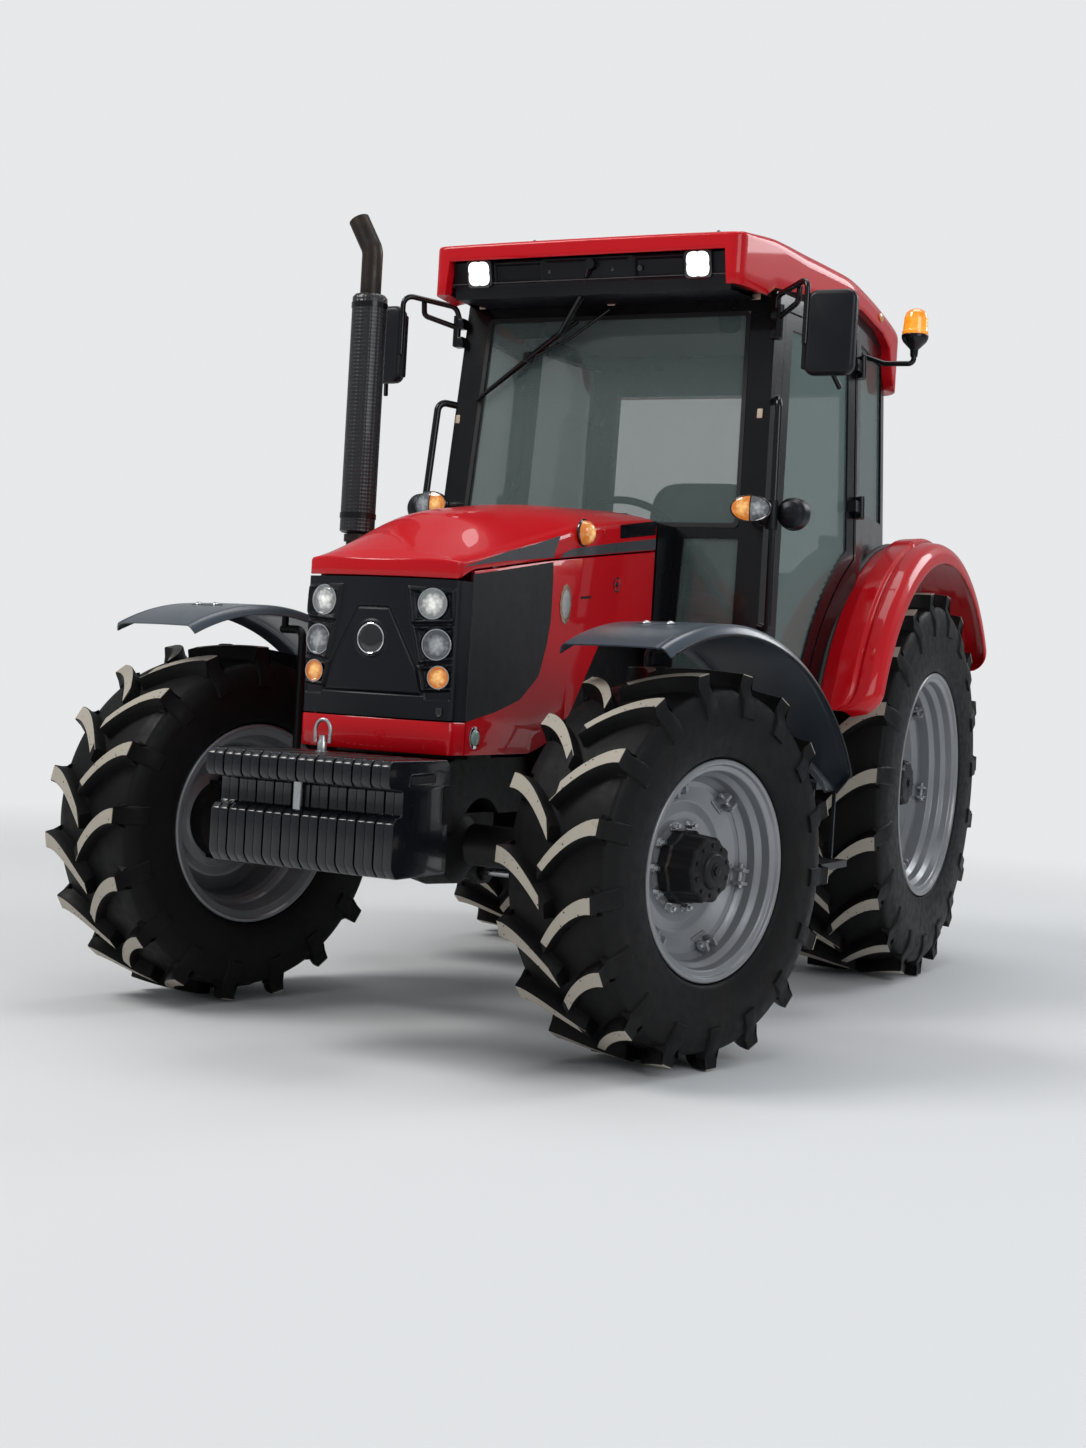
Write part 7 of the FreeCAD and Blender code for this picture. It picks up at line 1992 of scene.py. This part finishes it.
def white_to_camera(name, colour, rough):
    """A pale stage finish: near the tractor it keeps its shadow, far off the camera sees near white."""
    material, tree, shader = new_material(name)
    shader.inputs["Base Color"].default_value = (*colour, 1.0)
    shader.inputs["Roughness"].default_value = rough
    shader.inputs["Specular IOR Level"].default_value = 0.2
    even = node(tree, "ShaderNodeEmission", Strength=1.0, Color=NEAR_WHITE)
    place = node(tree, "ShaderNodeTexCoord")
    length = node(tree, "ShaderNodeVectorMath", operation="LENGTH")
    tree.links.new(place.outputs["Object"], length.inputs[0])
    far = node(tree, "ShaderNodeMapRange", interpolation_type="SMOOTHSTEP",
               **{"From Min": SHADOW_ENDS[0], "From Max": SHADOW_ENDS[1]})
    tree.links.new(length.outputs["Value"], far.inputs["Value"])
    path = node(tree, "ShaderNodeLightPath")
    share = maths(tree, "MULTIPLY", far.outputs[0], path.outputs["Is Camera Ray"])
    mix_shader(tree, share, shader, even, "Material Output")
    return material


def build_floor():
    """Pale floor that curves up into a backdrop behind the tractor."""
    bend = np.linspace(0.1, math.pi / 2, 12)
    along = np.concatenate([np.linspace(-16.0, 9.0, 12), 9.0 + 5.0 * np.sin(bend), [14.0]])
    height = np.concatenate([np.zeros(12), 5.0 * (1 - np.cos(bend)), [14.0]])
    across = np.linspace(-24.0, 24.0, 9)
    turn = -CAMERA_YAW
    ahead = np.array((math.sin(turn), math.cos(turn), 0.0))
    side = np.array((math.cos(turn), -math.sin(turn), 0.0))
    points = (across[None, :, None] * side + along[:, None, None] * ahead + height[:, None, None] * UP)
    mesh = bpy.data.meshes.new("stage_floor")
    nu, nv = points.shape[:2]
    index = np.arange(nu * nv).reshape(nu, nv)
    quads = np.stack([index[:-1, :-1], index[:-1, 1:], index[1:, 1:], index[1:, :-1]], -1).reshape(-1, 4)
    mesh.from_pydata(points.reshape(-1, 3).tolist(), [], quads.tolist())
    mesh.polygons.foreach_set("use_smooth", [True] * len(mesh.polygons))
    floor = bpy.data.objects.new("stage_floor", mesh)
    bpy.context.scene.collection.objects.link(floor)
    floor.data.materials.append(white_to_camera("Pale stage", (0.74, 0.75, 0.76), 0.8))


def build_world():
    """Soft light from all round, a little brighter from above; the camera sees it near white."""
    world = bpy.data.worlds.new("Studio")
    bpy.context.scene.world = world
    world.use_nodes = True
    tree = world.node_tree
    background = tree.nodes["Background"]
    place = node(tree, "ShaderNodeTexCoord")
    split = node(tree, "ShaderNodeSeparateXYZ")
    tree.links.new(place.outputs["Generated"], split.inputs[0])
    ramp = node(tree, "ShaderNodeMapRange",
                **{"From Min": -0.2, "From Max": 0.9, "To Min": 0.35, "To Max": 1.0})
    tree.links.new(split.outputs["Z"], ramp.inputs["Value"])
    tree.links.new(mix_colour(tree, ramp.outputs[0], (0.62, 0.66, 0.70, 1.0), (0.93, 0.96, 1.0, 1.0)),
                   background.inputs["Color"])
    background.inputs["Strength"].default_value = 0.40
    seen = node(tree, "ShaderNodeBackground", Color=NEAR_WHITE)
    rays = node(tree, "ShaderNodeLightPath")
    mix_shader(tree, rays.outputs["Is Camera Ray"], background, seen, "World Output")


def build_lamps():
    """Soft lamps, each aimed at the middle of the tractor."""
    for name, spot, size, power, colour in LAMPS:
        lamp = bpy.data.lights.new(name, "AREA")
        lamp.energy = power
        lamp.size = size
        lamp.color = colour
        holder = bpy.data.objects.new(name, lamp)
        holder.location = spot
        aim = Vector((0.0, 0.0, 1.2)) - Vector(spot)
        holder.rotation_euler = aim.to_track_quat("-Z", "Y").to_euler()
        bpy.context.scene.collection.objects.link(holder)


def build_camera():
    """The camera at the photograph's angle."""
    camera = bpy.data.cameras.new("camera")
    camera.lens = CAMERA_LENS
    camera.sensor_width = 36.0
    holder = bpy.data.objects.new("camera", camera)
    ahead = np.array((-math.sin(CAMERA_YAW) * math.cos(CAMERA_PITCH),
                      math.cos(CAMERA_YAW) * math.cos(CAMERA_PITCH),
                      math.sin(CAMERA_PITCH)))
    right = unit(np.cross(ahead, UP))
    above = np.cross(right, ahead)
    turned_right = right * math.cos(CAMERA_ROLL) + above * math.sin(CAMERA_ROLL)
    turned_up = -right * math.sin(CAMERA_ROLL) + above * math.cos(CAMERA_ROLL)
    rows = [[turned_right[k], turned_up[k], -ahead[k], CAMERA_PLACE[k]] for k in range(3)] + [[0, 0, 0, 1]]
    holder.matrix_world = Matrix(rows)
    bpy.context.scene.collection.objects.link(holder)
    bpy.context.scene.camera = holder


# Operators and their panel

class TractorSizes(bpy.types.PropertyGroup):
    """Sizes that a user would change."""
    tyre_segments: bpy.props.IntProperty(
        name="Tyre segments", description="Steps round each tyre", default=120, min=24, max=360)


class TRACTOR_OT_wheels(bpy.types.Operator):
    """Tyres, rims, bolts and hubs of the four wheels"""
    bl_idname = "tractor.wheels"
    bl_label = "Wheels"

    def execute(self, context):
        for kind in ("front", "rear"):
            for name, side in SIDES:
                tyre(kind, side, name)
                rim(kind, side, name)
        return {"FINISHED"}


class TRACTOR_OT_hood(bpy.types.Operator):
    """Hood skin, nose, head lamps, side panels and their trim"""
    bl_idname = "tractor.hood"
    bl_label = "Hood"

    def execute(self, context):
        lid = hood_lid_piece()
        lip = nose_lip_piece()
        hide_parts("hood_lid")
        nose_piece()
        head_lamps_pieces()
        emblem_piece()
        for name, side in SIDES:
            panel = side_panel_piece(side, name)
            hood_trim(side, name)
        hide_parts("side_panels")
        return {"FINISHED"}


class TRACTOR_OT_weights(bpy.types.Operator):
    """Ten cast front weights and their lock pin"""
    bl_idname = "tractor.weights"
    bl_label = "Front weights"

    def execute(self, context):
        weights_piece()
        return {"FINISHED"}


class TRACTOR_OT_roof(bpy.types.Operator):
    """Roof cap, fascia, work lamps, wiper and labels"""
    bl_idname = "tractor.roof"
    bl_label = "Roof"

    def execute(self, context):
        roof_pieces()
        fascia_piece()
        work_lamps()
        wiper_pieces()
        label_pieces()
        return {"FINISHED"}


class TRACTOR_OT_cab(bpy.types.Operator):
    """Mirrors, beacon, turn lamps, rails, exhaust, windscreen rubber and the driver's place"""
    bl_idname = "tractor.cab"
    bl_label = "Cab"

    def execute(self, context):
        mirror_pieces()
        beacon_piece()
        turn_lamps()
        rail_pieces()
        exhaust_pieces()
        screen_rubber()
        driver_pieces()
        return {"FINISHED"}


class TRACTOR_OT_fenders(bpy.types.Operator):
    """Front and rear fenders"""
    bl_idname = "tractor.fenders"
    bl_label = "Fenders"

    def execute(self, context):
        for name, side in SIDES:
            front_fender_piece(side, name)
            arch = rear_fender_piece(side, name)
        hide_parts("rear_fenders")
        return {"FINISHED"}


class TRACTOR_OT_finishes(bpy.types.Operator):
    """Finishes of the frame, running gear, linkage and glass"""
    bl_idname = "tractor.finishes"
    bl_label = "Finishes"

    def execute(self, context):
        paint_rest()
        return {"FINISHED"}


class TRACTOR_OT_stage(bpy.types.Operator):
    """Pale floor and backdrop, soft lamps and the camera"""
    bl_idname = "tractor.stage"
    bl_label = "Stage"

    def execute(self, context):
        build_floor()
        build_world()
        build_lamps()
        build_camera()
        return {"FINISHED"}


STEPS = (
    TRACTOR_OT_wheels, TRACTOR_OT_hood, TRACTOR_OT_weights, TRACTOR_OT_roof, TRACTOR_OT_cab,
    TRACTOR_OT_fenders, TRACTOR_OT_finishes, TRACTOR_OT_stage,
)


class TRACTOR_PT_panel(bpy.types.Panel):
    """Buttons for each group of pieces"""
    bl_label = "Farm Tractor"
    bl_idname = "TRACTOR_PT_panel"
    bl_space_type = "VIEW_3D"
    bl_region_type = "UI"
    bl_category = "Tractor"

    def draw(self, context):
        for step in STEPS:
            self.layout.operator(step.bl_idname)


def register():
    for entry in (TractorSizes, *STEPS, TRACTOR_PT_panel):
        bpy.utils.register_class(entry)
    bpy.types.Scene.tractor = bpy.props.PointerProperty(type=TractorSizes)


def unregister():
    del bpy.types.Scene.tractor
    for entry in (TRACTOR_PT_panel, *STEPS[::-1], TractorSizes):
        bpy.utils.unregister_class(entry)


def corners(bounds):
    """A box's two corners as plain numbers."""
    return [[float(value) for value in corner] for corner in bounds]


def main():
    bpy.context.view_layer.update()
    register()
    bpy.context.scene.view_settings.view_transform = "Standard"
    for step in STEPS:
        group, action = step.bl_idname.split(".")
        getattr(getattr(bpy.ops, group), action)()


if __name__ == "__main__":
    main()
